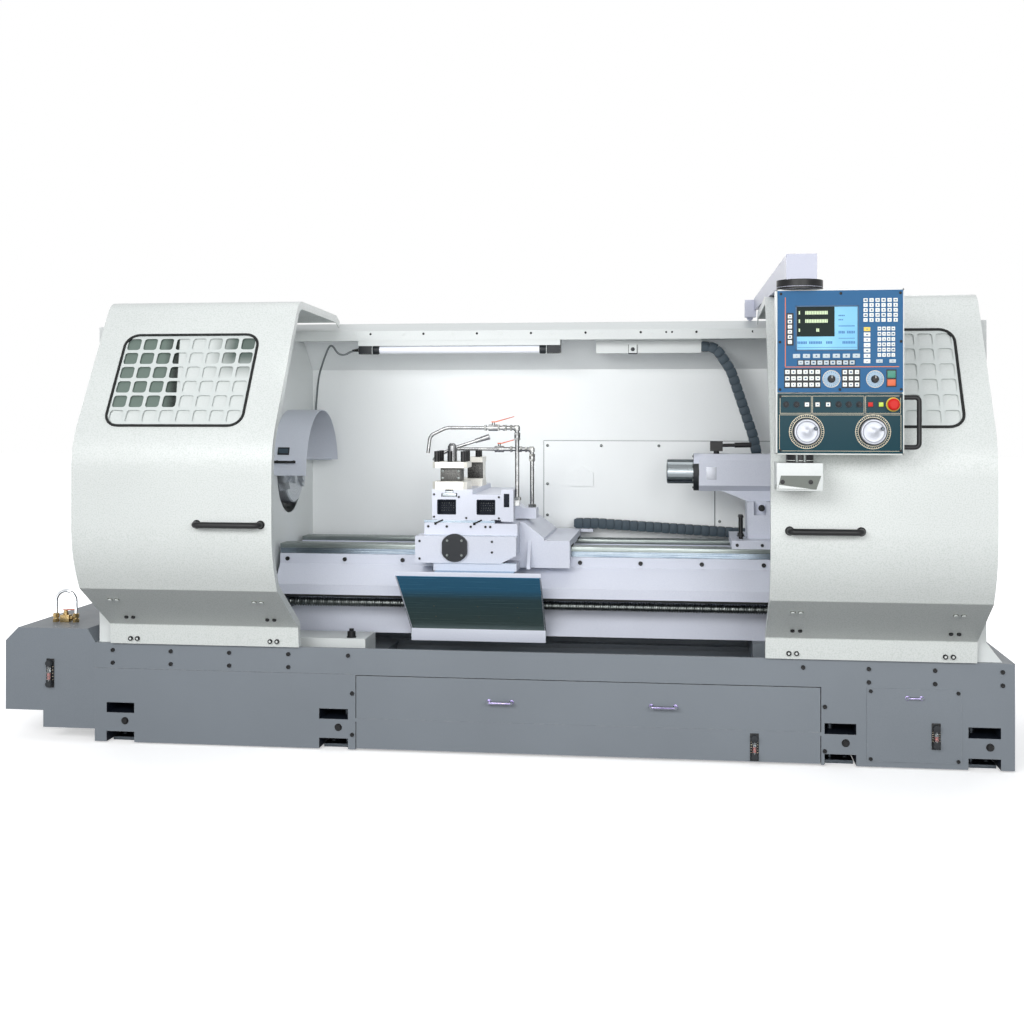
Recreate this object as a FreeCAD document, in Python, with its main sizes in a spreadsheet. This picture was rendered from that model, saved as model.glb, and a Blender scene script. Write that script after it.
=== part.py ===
import FreeCAD, Part
import math
import os
import Sketcher
from types import SimpleNamespace

# A CNC turning lathe with two sliding doors. Millimetres. X runs along the spindle towards the
# tailstock, Y from the operator to the back, Z up. The origin is on the floor, midway between
# the four outer anchor holes.

os.makedirs("parts", exist_ok=True)
Vector = FreeCAD.Vector
Turn = FreeCAD.Rotation
doc = FreeCAD.newDocument("turning_lathe")

sizes = {
    # machine base
    "base_length": 3300,
    "base_depth": 1100,
    "base_top": 372,
    "base_clearance": 5,
    "base_wall": 12,
    "pedestal_step": 10,
    "rim_height": 95,
    "left_pedestal_end": -655,
    "right_pedestal_start": 1002,
    "tank_seam": 118,
    "drawer_top": 276,
    "pocket_width": 108,
    "pocket_depth": 150,
    "pocket_top": 151,
    "ledge_top": 113,
    "ledge_bottom": 44,
    "pocket_outer": 1550,
    "pocket_left_inner": 737,
    "pocket_right_inner": 1067,
    "well_left": -930,
    "well_right": 1050,
    "anchor_hole": 22,
    "anchor_inset": 100,
    "anchor_offset": 25,
    "leveller_thread": 20,
    "leveller_head": 30,
    "leveller_offset": 28,
    "pad_thickness": 12,
    "pad_size": 100,
    # side tank and its fittings
    "side_tank_length": 354,
    "side_tank_depth": 700,
    "side_tank_top": 422,
    "side_tank_bottom": 113,
    "side_tank_low": 50,
    "side_tank_step": 205,
    "gauge_width": 30,
    "gauge_height": 108,
    "tube_bore": 12,
    # bed
    "bed_left": -1029,
    "bed_right": 1100,
    "bed_front": -250,
    "bed_back": 150,
    "way_top": 720,
    "way_band": 16,
    "way_groove": 22,
    "groove_depth": 10,
    "bed_band": 37,
    "bed_skirt": 550,
    "bed_recess": 60,
    "way_width": 95,
    "screw_cover_top": 644,
    "screw_cover_fold": 572,
    "screw_cover_bottom": 526,
    "screw_cover_front": -320,
    "ball_screw": 32,
    "ball_screw_y": -285,
    "ball_screw_z": 502,
    # headstock, spindle and chuck
    "spindle_y": -50,
    "spindle_z": 1000,
    "spindle_bore": 82,
    "spindle_nose": 150,
    "spindle_shank": 130,
    "running_fit": 0.05,
    "headstock_left": -1590,
    "headstock_right": -1190,
    "headstock_front": -260,
    "headstock_back": 180,
    "headstock_top": 1180,
    "chuck_size": 266,
    "chuck_face": -1030,
    "chuck_length": 92,
    "jaw_width": 34,
    "jaw_height": 22,
    "jaw_length": 72,
    "guard_radius": 239,
    "guard_left": -1049,
    "guard_right": -915,
    "guard_hinge_y": 189,
    "pulley_size": 210,
    "motor_pulley_size": 140,
    "belt_thickness": 9,
    "motor_y": -50,
    "motor_z": 560,
    "motor_size": 230,
    # carriage
    "saddle_left": -466,
    "saddle_front": -320,
    "saddle_back": 220,
    "wing_right": 105,
    "wing_top": 750,
    "bridge_top": 820,
    "bridge_left": -430,
    "bridge_right": -166,
    "bridge_front": -400,
    "apron_front": -440,
    "apron_left": -457,
    "apron_right": -81,
    "apron_top": 773,
    "apron_bottom": 675,
    "slide_fit": 0.3,
    "shield_centre": -252,
    "shield_top_width": 536,
    "shield_bottom_width": 518,
    "cross_left": -401,
    "cross_right": -164,
    "cross_top": 943,
    "cross_bottom": 832,
    "post_size": 130,
    "post_top": 1045,
    "post_floor": 972,
    "post_ceiling": 1023,
    # tailstock
    "quill_size": 95,
    "quill_tip": 458,
    "quill_out": 126,
    "quill_taper": 44,
    "tail_left": 584,
    "tail_right": 930,
    "tail_column": 765,
    "tail_top": 1069,
    "tail_barrel_bottom": 927,
    "tail_width": 142,
    # doors, casings, guards
    "sheet": 3,
    "left_door_left": -1581,
    "left_door_right": -863,
    "right_door_left": 810,
    "right_door_right": 1522,
    "door_flange": 40,
    "window_width": 494,
    "window_low": 1185,
    "window_high": 1508,
    "grille_sheet": 2,
    "hole_pitch": 61,
    "hole_size": 49,
    "handle_length": 246,
    "handle_tube": 20,
    "handle_height": 847,
    "handle_reach": 46,
    "casing_left": -1640,
    "casing_inner": -1050,
    "casing_front": -530,
    "casing_back": 290,
    "casing_top": 1548,
    "right_casing_inner": 1110,
    "right_casing_outer": 1560,
    "chuck_opening": 350,
    "bar_opening": 110,
    "rear_bend": 1407,
    "rail_front": 12,
    "rail_back": 70,
    "rail_bottom": 1518,
    "rail_face_top": 1557,
    "rail_top": 1590,
    # pendant
    "pendant_left": 818,
    "pendant_right": 1210,
    "pendant_bottom": 1099,
    "pendant_top": 1617,
    "pendant_split": 1292,
    "pendant_front": -1030,
    "pendant_depth": 84,
    "swivel_x": 894,
    "swivel_y": -988,
    "arm_width": 95,
    "arm_bottom": 1648,
    "arm_top": 1728,
    # electrical cabinet
    "cabinet_left": 120,
    "cabinet_width": 900,
    "cabinet_top": 1480,
}


class Length:
    # A size that keeps both its value and the sheet expression that gives it.
    def __init__(self, text, value):
        self.text = text
        self.value = value

    def __add__(self, other):
        return Length(f"({self.text} + {text_of(other)})", self.value + value_of(other))

    def __radd__(self, other):
        return Length(f"({text_of(other)} + {self.text})", value_of(other) + self.value)

    def __sub__(self, other):
        return Length(f"({self.text} - ({text_of(other)}))", self.value - value_of(other))

    def __rsub__(self, other):
        return Length(f"({text_of(other)} - {self.text})", value_of(other) - self.value)

    def __mul__(self, other):
        return Length(f"({self.text} * {text_of(other)})", self.value * value_of(other))

    def __rmul__(self, other):
        return self * other

    def __truediv__(self, other):
        return Length(f"({self.text} / {text_of(other)})", self.value / value_of(other))

    def __neg__(self):
        return Length(f"(0 - {self.text})", -self.value)


def text_of(amount):
    return amount.text if isinstance(amount, Length) else f"({amount})"


def value_of(amount):
    return amount.value if isinstance(amount, Length) else amount


sheet = doc.addObject("Spreadsheet::Sheet", "Sizes")
for row, (word, number) in enumerate(sizes.items(), start=1):
    sheet.set(f"A{row}", word)
    sheet.set(f"B{row}", str(number))
    sheet.setAlias(f"B{row}", word)
doc.recompute()
s = SimpleNamespace(**{word: Length(f"Sizes.{word}", float(sheet.get(word))) for word in sizes})
nodes = {}


def bind(thing, name, amount):
    thing.setExpression(name, text_of(amount))


def place(thing, x, y, z, turn=None):
    if turn is not None:
        thing.Placement = FreeCAD.Placement(Vector(), turn)
    bind(thing, "Placement.Base.x", x)
    bind(thing, "Placement.Base.y", y)
    bind(thing, "Placement.Base.z", z)
    return thing


def box(name, x, y, z):
    # Each direction is given as (from, to).
    piece = doc.addObject("Part::Box", name)
    bind(piece, "Length", x[1] - x[0])
    bind(piece, "Width", y[1] - y[0])
    bind(piece, "Height", z[1] - z[0])
    return place(piece, x[0], y[0], z[0])


alongX = Turn(Vector(0, 1, 0), 90)
alongY = Turn(Vector(1, 0, 0), -90)
alongZ = Turn()


def rod(name, turn, x, y, z, diameter, length):
    # A round bar that starts at x, y, z and runs along the turned axis.
    piece = doc.addObject("Part::Cylinder", name)
    bind(piece, "Radius", diameter / 2)
    bind(piece, "Height", length)
    return place(piece, x, y, z, turn)


def many(kind, name, pieces):
    whole = doc.addObject(kind, name)
    setattr(whole, "Links" if kind == "Part::Compound" else "Shapes", pieces)
    return whole


def group(name, pieces):
    return many("Part::Compound", name, pieces)


def fuse(name, pieces):
    whole = many("Part::MultiFuse", name, pieces)
    whole.Refine = True
    return whole


def cut(name, base, tools):
    piece = doc.addObject("Part::Cut", name)
    piece.Base = base
    piece.Tool = tools[0] if len(tools) == 1 else group(name + "_tools", tools)
    return piece


def outline(body, plane, points, offset):
    sketch = body.newObject("Sketcher::SketchObject", body.Name + "_outline")
    origin_plane = [part for part in body.Origin.OriginFeatures if part.Role == plane][0]
    sketch.AttachmentSupport = [(origin_plane, "")]
    sketch.MapMode = "FlatFace"
    bind(sketch, ".AttachmentOffset.Base.z", offset)
    corners = [Vector(value_of(across), value_of(up), 0) for across, up in points]
    count = len(corners)
    for index in range(count):
        sketch.addGeometry(Part.LineSegment(corners[index], corners[(index + 1) % count]), False)
    for index in range(count):
        sketch.addConstraint(Sketcher.Constraint("Coincident", index, 2, (index + 1) % count, 1))
    for index, pair in enumerate(points):
        for kind, amount in zip(("DistanceX", "DistanceY"), pair):
            number = sketch.addConstraint(
                Sketcher.Constraint(kind, -1, 1, index, 1, value_of(amount)))
            bind(sketch, f"Constraints[{number}]", amount)
    return sketch


def prism(name, plane, points, start, end):
    # A straight-sided outline drawn on one of the body's own planes and padded between two heights.
    body = doc.addObject("PartDesign::Body", name)
    offset = -end if plane == "XZ_Plane" else start
    sketch = outline(body, plane, points, offset)
    pad = body.newObject("PartDesign::Pad", name + "_pad")
    pad.Profile = sketch
    bind(pad, "Length", end - start)
    return body


def turned(name, plane, points, x, y, z):
    # A profile of (along, radius) points, turned once round.
    body = doc.addObject("PartDesign::Body", name)
    sketch = outline(body, plane, points, 0)
    spin = body.newObject("PartDesign::Revolution", name + "_turn")
    spin.Profile = sketch
    spin.ReferenceAxis = (sketch, ["H_Axis"])
    spin.Angle = 360
    return place(body, x, y, z)


def turned_x(name, points, x, y, z):
    return turned(name, "XZ_Plane", points, x, y, z)


def turned_y(name, points, x, y, z):
    return turned(name, "YZ_Plane", points, x, y, z)


def shaped(name, shape):
    # A piece whose form comes from Part's own functions.
    piece = doc.addObject("Part::Feature", name)
    piece.Shape = shape
    piece.Placement = FreeCAD.Placement()
    return piece


def keep(label, piece):
    piece.Label = label
    nodes[label] = piece
    return piece


def round_path(points, radii):
    # A wire of straight runs with a tangent arc at each inner point; radius 0 keeps the corner.
    points = [Vector(*point) for point in points]
    edges = []
    start = points[0]
    for index in range(1, len(points) - 1):
        corner = points[index]
        radius = radii[index - 1]
        if radius == 0:
            edges.append(Part.LineSegment(start, corner).toShape())
            start = corner
            continue
        back = (points[index - 1] - corner).normalize()
        ahead = (points[index + 1] - corner).normalize()
        half = back.getAngle(ahead) / 2
        reach = radius / math.tan(half)
        middle = (back + ahead).normalize()
        top = corner + middle * (radius / math.sin(half) - radius)
        edges.append(Part.LineSegment(start, corner + back * reach).toShape())
        edges.append(Part.Arc(corner + back * reach, top, corner + ahead * reach).toShape())
        start = corner + ahead * reach
    edges.append(Part.LineSegment(start, points[-1]).toShape())
    return Part.Wire(edges)


def folded(points, radii, x_from, x_to, wall):
    # A sheet that follows a side profile of (y, z) points, as wide as from x_from to x_to.
    path = round_path([(x_from, y, z) for y, z in points], radii)
    face = path.makeOffset2D(wall, join=2, fill=True, openResult=True, intersection=False)
    return face.Faces[0].extrude(Vector(x_to - x_from, 0, 0))


def block(x, y, z):
    return Part.makeBox(x[1] - x[0], y[1] - y[0], z[1] - z[0], Vector(x[0], y[0], z[0]))


def bar(start, direction, diameter, length):
    return Part.makeCylinder(diameter / 2, length, Vector(*start), Vector(*direction))


def tube_along(wire, diameter, bore=0):
    first = wire.OrderedEdges[0]
    start = first.valueAt(first.FirstParameter)
    heading = first.tangentAt(first.FirstParameter)
    section = Part.Wire(Part.Circle(start, heading, diameter / 2).toShape())
    solid = wire.makePipeShell([section], True, True)
    if bore == 0:
        return solid
    inner = Part.Wire(Part.Circle(start, heading, bore / 2).toShape())
    return solid.cut(wire.makePipeShell([inner], True, True))


X = (1, 0, 0)
Y = (0, 1, 0)
Z = (0, 0, 1)

# ---- machine base ----

half_length = s.base_length / 2
half_depth = s.base_depth / 2
base_front = -half_depth
base_span = (-half_length, half_length)
pocket_middles = [-s.pocket_outer, -s.pocket_left_inner, s.pocket_right_inner, s.pocket_outer]
bay = (s.left_pedestal_end, s.right_pedestal_start)
drawer_fit = 3
foot_length = 269
bed_foot_left = s.bed_left + foot_length
bed_foot_right = s.bed_right - foot_length - 50
well_back = s.bed_back + 40
left_well_back = s.bed_front + 25

shell = box("base_block", base_span, (base_front, half_depth), (s.base_clearance, s.base_top))
hollows = [
    # the bay that holds the tank and the drawer, open to the front
    box("bay_hollow", bay, (base_front - 1, s.bed_back), (s.base_clearance - 1, s.drawer_top)),
    # the chip well, open to the top and through to the bay
    prism("well_hollow", "XY_Plane", [
        (s.well_left, base_front + s.base_wall), (s.well_right, base_front + s.base_wall),
        (s.well_right, s.bed_front - 5), (bed_foot_right, s.bed_front - 5),
        (bed_foot_right, well_back), (bed_foot_left, well_back),
        (bed_foot_left, left_well_back), (s.well_left, left_well_back)],
        s.drawer_top + s.base_wall, s.base_top + 1),
    # the pedestals are a step back below their rim
    box("left_step", (-half_length - 1, s.left_pedestal_end - s.base_wall),
        (base_front - 1, base_front + 2), (s.base_top - s.rim_height, s.base_top - s.rim_height + 2)),
    box("chute", (s.left_pedestal_end + s.base_wall, s.right_pedestal_start - s.base_wall),
        (base_front + s.pedestal_step * 3, s.bed_back - s.base_wall),
        (s.drawer_top - 1, s.drawer_top + s.base_wall + 1)),
]
for number, middle in enumerate(pocket_middles):
    across = (middle - s.pocket_width / 2, middle + s.pocket_width / 2)
    for side, y in (("front", (base_front - 1, base_front + s.pocket_depth)),
                    ("back", (half_depth - s.pocket_depth, half_depth + 1))):
        hollows.append(box(f"pocket_{side}_{number}", across, y, (s.ledge_top, s.pocket_top)))
        hollows.append(box(f"foot_space_{side}_{number}", across, y,
                           (s.base_clearance - 1, s.ledge_bottom)))
leveller_spots = []
anchor_spots = []
for number, middle in enumerate(pocket_middles):
    for side, y in (("front", base_front + s.anchor_inset), ("back", half_depth - s.anchor_inset)):
        outward = -1 if number < 2 else 1
        anchor_spots.append((middle + s.anchor_offset * outward, y, f"{side}_{number}"))
        leveller_spots.append((middle - s.leveller_offset * outward, y, f"{side}_{number}"))
ledge = s.ledge_top - s.ledge_bottom
for x, y, word in anchor_spots:
    hollows.append(rod("anchor_" + word, alongZ, x, y, s.ledge_bottom, s.anchor_hole, ledge))
for x, y, word in leveller_spots:
    hollows.append(rod("thread_" + word, alongZ, x, y, s.ledge_bottom, s.leveller_thread, ledge))
keep("base", cut("base_casting", shell, hollows))

# levelling screws on pads, one set in each foot pocket
feet = []
for (x, y, word), (anchor_x, _, _) in zip(leveller_spots, anchor_spots):
    middle = (x + anchor_x) / 2
    pad = box("pad_" + word, (middle - s.pad_size / 2, middle + s.pad_size / 2),
              (y - s.pad_size / 2, y + s.pad_size / 2), (0, s.pad_thickness))
    hole = rod("pad_hole_" + word, alongZ, anchor_x, y, 0, s.anchor_hole, s.pad_thickness)
    feet.append(cut("foot_pad_" + word, pad, [hole]))
    screw_length = s.ledge_top + 10 - s.pad_thickness
    feet.append(fuse("screw_" + word, [
        rod("shank_" + word, alongZ, x, y, s.pad_thickness, s.leveller_thread, screw_length),
        rod("head_" + word, alongZ, x, y, s.ledge_top, s.leveller_head, 16)]))
keep("levelling_feet", group("feet", feet))

# coolant tank under the drawer, open to the top
bay_in = (bay[0] + drawer_fit, bay[1] - drawer_fit)
tank_back = s.bed_back - s.base_wall
front_skin = base_front + s.base_wall
tank = box("tank_block", bay_in, (base_front, tank_back), (s.base_clearance + 4, s.tank_seam))
tank_inside = box("tank_inside", (bay_in[0] + s.sheet, bay_in[1] - s.sheet),
                  (front_skin, tank_back - s.sheet), (s.base_clearance + 4 + s.sheet, s.tank_seam + 1))
tank_rail = [box(f"tank_rail_{word}", x, (base_front, tank_back), (s.tank_seam - 12, s.tank_seam))
             for word, x in (("left", (bay[0], bay_in[0])), ("right", (bay_in[1], bay[1])))]
keep("coolant_tank", fuse("tank", [cut("tank_shell", tank, [tank_inside])] + tank_rail))

# chip drawer: a folded box with two handles, sliding out to the front
drawer_bottom = s.tank_seam + 0.3
drawer_ceiling = s.drawer_top - 3
drawer_back = s.bed_back - s.base_wall
drawer = box("drawer_block", bay_in, (base_front, drawer_back), (drawer_bottom, drawer_ceiling))
drawer_inside = box("drawer_inside", (bay_in[0] + s.sheet, bay_in[1] - s.sheet),
                    (front_skin, drawer_back - s.sheet), (drawer_bottom + s.sheet, drawer_ceiling + 1))


def pull(name, x_from, x_to, z, reach, thick):
    # a bent bar handle on the front of the base
    tips = [rod(f"{name}_{word}", alongY, x, base_front - reach, z, thick, reach)
            for word, x in (("left", x_from + thick / 2), ("right", x_to - thick / 2))]
    grip = box(name + "_grip", (x_from, x_to), (base_front - reach - thick, base_front - reach),
               (z - thick / 2, z + thick / 2))
    return tips + [grip]


drawer_pulls = pull("pull_left", -170, -78, 193, 20, 9) + pull("pull_right", 409, 504, 193, 20, 9)
keep("chip_drawer", fuse("drawer", [cut("drawer_shell", drawer, [drawer_inside])] + drawer_pulls))

# access cover on the right pedestal with its pull, sight gauge frame and screws
cover_left, cover_right, cover_low, cover_high = 1156, 1474, 24, 277
cover_plate = box("cover_plate", (cover_left, cover_right), (base_front - s.sheet, base_front),
                  (cover_low, cover_high))
keep("access_cover", fuse("cover", [cover_plate] + [
    box("cover_pull", (1288, 1345), (base_front - s.sheet - 10, base_front - s.sheet), (242, 250))]))


def gauge(name, x, z, height, front):
    # a sight gauge: two end blocks on a back strip, with a glass tube between them
    back = box(name + "_strip", (x - s.gauge_width / 2, x + s.gauge_width / 2), (front - 4, front),
               (z - height / 2, z + height / 2))
    ends = [rod(f"{name}_end_{word}", alongY, x, front - 22, z + shift, s.gauge_width * 0.8, 18)
            for word, shift in (("low", 15 - height / 2), ("high", height / 2 - 15))]
    glass = rod(name + "_glass", alongZ, x, front - 13, z + 15 - height / 2, 12, height - 30)
    return fuse(name, [back, glass] + ends)


# side tank on the left end, stepped underneath
side_tank_left = -half_length - s.side_tank_length
side_tank_end = -half_length
side_back = base_front + s.side_tank_depth
tank_step_x = side_tank_end - s.side_tank_step
tank_outline = [(side_tank_left, s.side_tank_bottom), (tank_step_x, s.side_tank_bottom),
                (tank_step_x, s.side_tank_low), (side_tank_end, s.side_tank_low),
                (side_tank_end, s.side_tank_top - 50), (side_tank_end - 30, s.side_tank_top),
                (side_tank_left + 50, s.side_tank_top), (side_tank_left, s.side_tank_top - 50)]
keep("side_tank", prism("side_tank_body", "XZ_Plane", tank_outline, base_front + 4, side_back))

# the tank's U-tube with its two brass unions and valve, and the sight gauges
loop_x, loop_reach, loop_base = side_tank_left.value + 130, 80, s.side_tank_top.value
loop_y = base_front.value + 150
loop = round_path([(loop_x, loop_y, loop_base), (loop_x, loop_y, loop_base + 120),
                   (loop_x + loop_reach, loop_y, loop_base + 120),
                   (loop_x + loop_reach, loop_y, loop_base)], [38, 38])
fittings = [tube_along(loop, s.tube_bore.value, s.tube_bore.value - 4)]
for shift in (0, loop_reach):
    fittings.append(bar((loop_x + shift, loop_y, loop_base), Z, 26, 34))
fittings.append(block((loop_x + 22, loop_x + 56), (loop_y - 14, loop_y + 14), (loop_base, loop_base + 46)))
unions = fittings[0].fuse(fittings[1:3])
loop_piece = shaped("tank_loop", Part.makeCompound([unions, fittings[3]]))
keep("tank_fittings", group("fittings", [
    loop_piece,
    gauge("side_gauge", -1826, 253, s.gauge_height, base_front + 4),
    gauge("tank_gauge", 773, 60, s.gauge_height - 12, base_front),
    gauge("pedestal_gauge", 1388, 117, 90, base_front - s.sheet)]))

# cap screws of the rim, the seams and the covers
screw_size = 14
screw_stand = 6
rim_screws = [(x, z) for x in (-1579, -1354, -1130, -906) for z in (346, 299)]
rim_screws += [(-682, 346), (940, 343)] + [(x, z) for x in (1163, 1385, 1609) for z in (343, 297)]
bay_screws = [(-667, 209), (-667, 59), (1014, 208), (1014, 54)]
cover_screws = [(x, z) for x in (cover_left + 13, cover_right - 12) for z in (33, 267)]
frame_screws = [rod(f"rim_screw_{n}", alongY, x, base_front - screw_stand, z, screw_size, screw_stand)
                for n, (x, z) in enumerate(rim_screws + bay_screws)]
frame_screws += [rod(f"cover_screw_{n}", alongY, x, base_front - s.sheet - screw_stand, z,
                     screw_size - 2, screw_stand) for n, (x, z) in enumerate(cover_screws)]
keep("frame_screws", group("screws", frame_screws))

# ---- bed, drive screw and headstock ----

# the bed's section: two flat ways on top, a groove under the front one, a recessed lower wall
band_low = s.way_top - s.way_band
groove_low = band_low - s.way_groove
skirt_low = groove_low - s.bed_band
bed_lower_front = s.bed_front + s.bed_recess
front_way_back = s.bed_front + s.way_width
back_way_front = s.bed_back - s.way_width
bed_section = [
    (s.bed_front, s.way_top), (s.bed_front, band_low), (s.bed_front + s.groove_depth, band_low),
    (s.bed_front + s.groove_depth, groove_low), (s.bed_front, groove_low), (s.bed_front, skirt_low),
    (s.bed_front, s.bed_skirt), (bed_lower_front, s.bed_skirt - s.bed_recess / 2),
    (bed_lower_front, s.base_top), (s.bed_back, s.base_top), (s.bed_back, band_low),
    (s.bed_back, s.way_top), (back_way_front, s.way_top), (back_way_front, band_low - 20),
    (front_way_back, band_low - 20), (front_way_back, s.way_top)]
bed_block = prism("bed_section", "YZ_Plane", bed_section, s.bed_left, s.bed_right)
bed_hollow = box("bed_hollow", (bed_foot_left, bed_foot_right), (bed_lower_front + 40, s.bed_back - 40),
                 (s.base_top - 1, s.bed_skirt - 20))
way_gap = box("bed_chute", (bed_foot_left, bed_foot_right), (front_way_back + 20, back_way_front - 20),
              (s.bed_skirt - 20, band_low + 1))
bed_body = cut("bed_casting", bed_block, [bed_hollow, way_gap])
keep("bed", bed_body)

# folded cover over the front drive screw
cover_fold = [(s.bed_front - 0.3, s.screw_cover_top), (s.screw_cover_front, s.screw_cover_fold),
              (s.screw_cover_front, s.screw_cover_bottom),
              (s.screw_cover_front + s.sheet, s.screw_cover_bottom),
              (s.screw_cover_front + s.sheet, s.screw_cover_fold - 2),
              (s.bed_front - 0.3, s.screw_cover_top - s.sheet - 2)]
keep("screw_cover", prism("screw_cover_sheet", "YZ_Plane", cover_fold, s.bed_left, s.bed_right))

# Z drive: a bearing block at each end of the screw and the motor at the right
block_size = 70
block_length = 45
screw_left = s.bed_left + 10
screw_right = s.bed_right + 2
blocks = []
for word, x in (("left", screw_left), ("right", screw_right - block_length)):
    body = box(f"bearing_{word}", (x, x + block_length), (s.ball_screw_y - 32, bed_lower_front),
               (s.ball_screw_z - block_size / 2 + 12, s.bed_skirt - s.bed_recess / 2 - 1))
    blocks.append(body)
bearing_bores = [rod(f"bearing_bore_{word}", alongX, x - 1, s.ball_screw_y, s.ball_screw_z,
                     s.ball_screw + s.running_fit * 2, block_length + 2)
                 for word, x in (("left", screw_left), ("right", screw_right - block_length))]
motor_start = screw_right + 0.3
z_motor = box("z_motor", (motor_start, motor_start + 170), (s.ball_screw_y - 60, s.ball_screw_y + 60),
              (s.ball_screw_z - 60, s.ball_screw_z + 60))
motor_foot = box("z_motor_foot", (motor_start + 20, motor_start + 150),
                 (s.ball_screw_y - 40, s.ball_screw_y + 40), (s.base_top, s.ball_screw_z - 60))
keep("z_drive", group("z_drive_parts", [
    cut("bearing_left_block", blocks[0], [bearing_bores[0]]),
    cut("bearing_right_block", blocks[1], [bearing_bores[1]]),
    fuse("z_motor_body", [z_motor, motor_foot])]))
keep("z_ballscrew", rod("z_screw", alongX, screw_left + 3, s.ball_screw_y, s.ball_screw_z,
                        s.ball_screw, screw_right - screw_left - 6))

# headstock casting on the base, with the spindle bore through it
head_base = box("head_base", (s.headstock_left, s.headstock_right), (s.headstock_front, s.headstock_back),
                (s.base_top, s.headstock_top))
nose_boss = 30
head_nose = rod("head_nose", alongX, s.headstock_right, s.spindle_y, s.spindle_z, 250, nose_boss)
head_bore = rod("head_bore", alongX, s.headstock_left - 1, s.spindle_y, s.spindle_z,
                s.spindle_shank + s.running_fit * 2, s.headstock_right - s.headstock_left + nose_boss + 2)
motor_room = box("motor_room", (s.headstock_left - 1, s.headstock_left + 260),
                 (s.headstock_front + 20, s.headstock_back - 20), (s.base_top + 20, s.spindle_z - 200))
headstock_body = fuse("headstock_body", [head_base, head_nose])
keep("headstock", cut("headstock_casting", headstock_body, [head_bore, motor_room]))

# spindle: hollow shaft with a flanged nose and the driven pulley on its outer end
flange = 34
spindle_end = s.chuck_face - s.chuck_length - s.headstock_left
belt_room = -46
spindle_profile = [
    (belt_room, s.spindle_bore / 2), (spindle_end, s.spindle_bore / 2),
    (spindle_end, s.spindle_nose / 2 + 40), (spindle_end - flange, s.spindle_nose / 2 + 40),
    (spindle_end - flange, s.spindle_shank / 2), (-4, s.spindle_shank / 2),
    (-4, s.pulley_size / 2), (-10, s.pulley_size / 2), (-10, s.pulley_size / 2 - 7),
    (belt_room + 6, s.pulley_size / 2 - 7), (belt_room + 6, s.pulley_size / 2),
    (belt_room, s.pulley_size / 2)]
keep("spindle", turned_x("spindle_shaft", spindle_profile, s.headstock_left, s.spindle_y, s.spindle_z))

# main motor low in the headstock, its pulley under the spindle's and the belt round both
motor_can = rod("motor_can", alongX, s.headstock_left + 10, s.motor_y, s.motor_z, s.motor_size, 230)
motor_foot_block = box("motor_foot", (s.headstock_left + 30, s.headstock_left + 220),
                       (s.motor_y - 90, s.motor_y + 90), (s.base_top + 20, s.motor_z))
motor_bore = rod("motor_bore", alongX, s.headstock_left + 9, s.motor_y, s.motor_z,
                 40 + s.running_fit * 2, 120)
keep("main_motor", cut("motor", fuse("motor_body", [motor_can, motor_foot_block]), [motor_bore]))
pulley_rim = s.motor_pulley_size / 2
pulley_profile = [
    (belt_room, 0), (100, 0), (100, 20), (-4, 20), (-4, pulley_rim), (-10, pulley_rim),
    (-10, pulley_rim - 7), (belt_room + 6, pulley_rim - 7), (belt_room + 6, pulley_rim),
    (belt_room, pulley_rim)]
keep("motor_pulley", turned_x("motor_wheel", pulley_profile, s.headstock_left, s.motor_y, s.motor_z))


def belt_shape():
    # two half rounds joined by the straight runs that touch both pulleys
    big = s.pulley_size.value / 2 - 7 + 0.3
    small = s.motor_pulley_size.value / 2 - 7 + 0.3
    apart = s.spindle_z.value - s.motor_z.value
    lean = math.asin((big - small) / apart)
    faces = []
    start_x, axis_y = s.headstock_left.value + belt_room + 7, s.spindle_y.value
    for grow in (s.belt_thickness.value, 0):
        top, low = big + grow, small + grow
        places = []
        for side in (-1, 1):
            places.append([Vector(start_x, axis_y + side * r * math.cos(lean), z - r * math.sin(lean))
                           for r, z in ((top, s.spindle_z.value), (low, s.motor_z.value))])
        (left_top, left_low), (right_top, right_low) = places
        crown = Vector(start_x, axis_y, s.spindle_z.value + top)
        dip = Vector(start_x, axis_y, s.motor_z.value - low)
        wire = Part.Wire([Part.Arc(left_top, crown, right_top).toShape(),
                          Part.LineSegment(right_top, right_low).toShape(),
                          Part.Arc(right_low, dip, left_low).toShape(),
                          Part.LineSegment(left_low, left_top).toShape()])
        faces.append(Part.Face(wire))
    width = -10 - (belt_room + 6) - 2
    return faces[0].cut(faces[1]).Faces[0].extrude(Vector(width, 0, 0))


keep("drive_belt", shaped("belt", belt_shape()))

# chuck: body with three radial slots, a through bore and a stepped back
chuck_radius = s.chuck_size / 2
chuck_profile = [
    (-s.chuck_length, s.spindle_bore / 2), (0, s.spindle_bore / 2), (0, chuck_radius - 4),
    (-4, chuck_radius), (-s.chuck_length + 22, chuck_radius),
    (-s.chuck_length + 18, chuck_radius - 6), (-s.chuck_length, chuck_radius - 6)]
chuck_body = turned_x("chuck_disc", chuck_profile, s.chuck_face, s.spindle_y, s.spindle_z)
slot_depth = 30
jaw_angles = (90, 210, 330)
jaw_fit = 0.3
slot_start = s.spindle_bore / 2 - 4
jaw_base = s.spindle_bore / 2 + 8


def round_spindle(piece, x, across, out, angle):
    # places a piece drawn upright, so many millimetres across and out from the spindle axis
    swing = math.radians(angle - 90)
    return place(piece, x, s.spindle_y + across * math.cos(swing) - out * math.sin(swing),
                 s.spindle_z + across * math.sin(swing) + out * math.cos(swing),
                 Turn(Vector(1, 0, 0), angle - 90))


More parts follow.
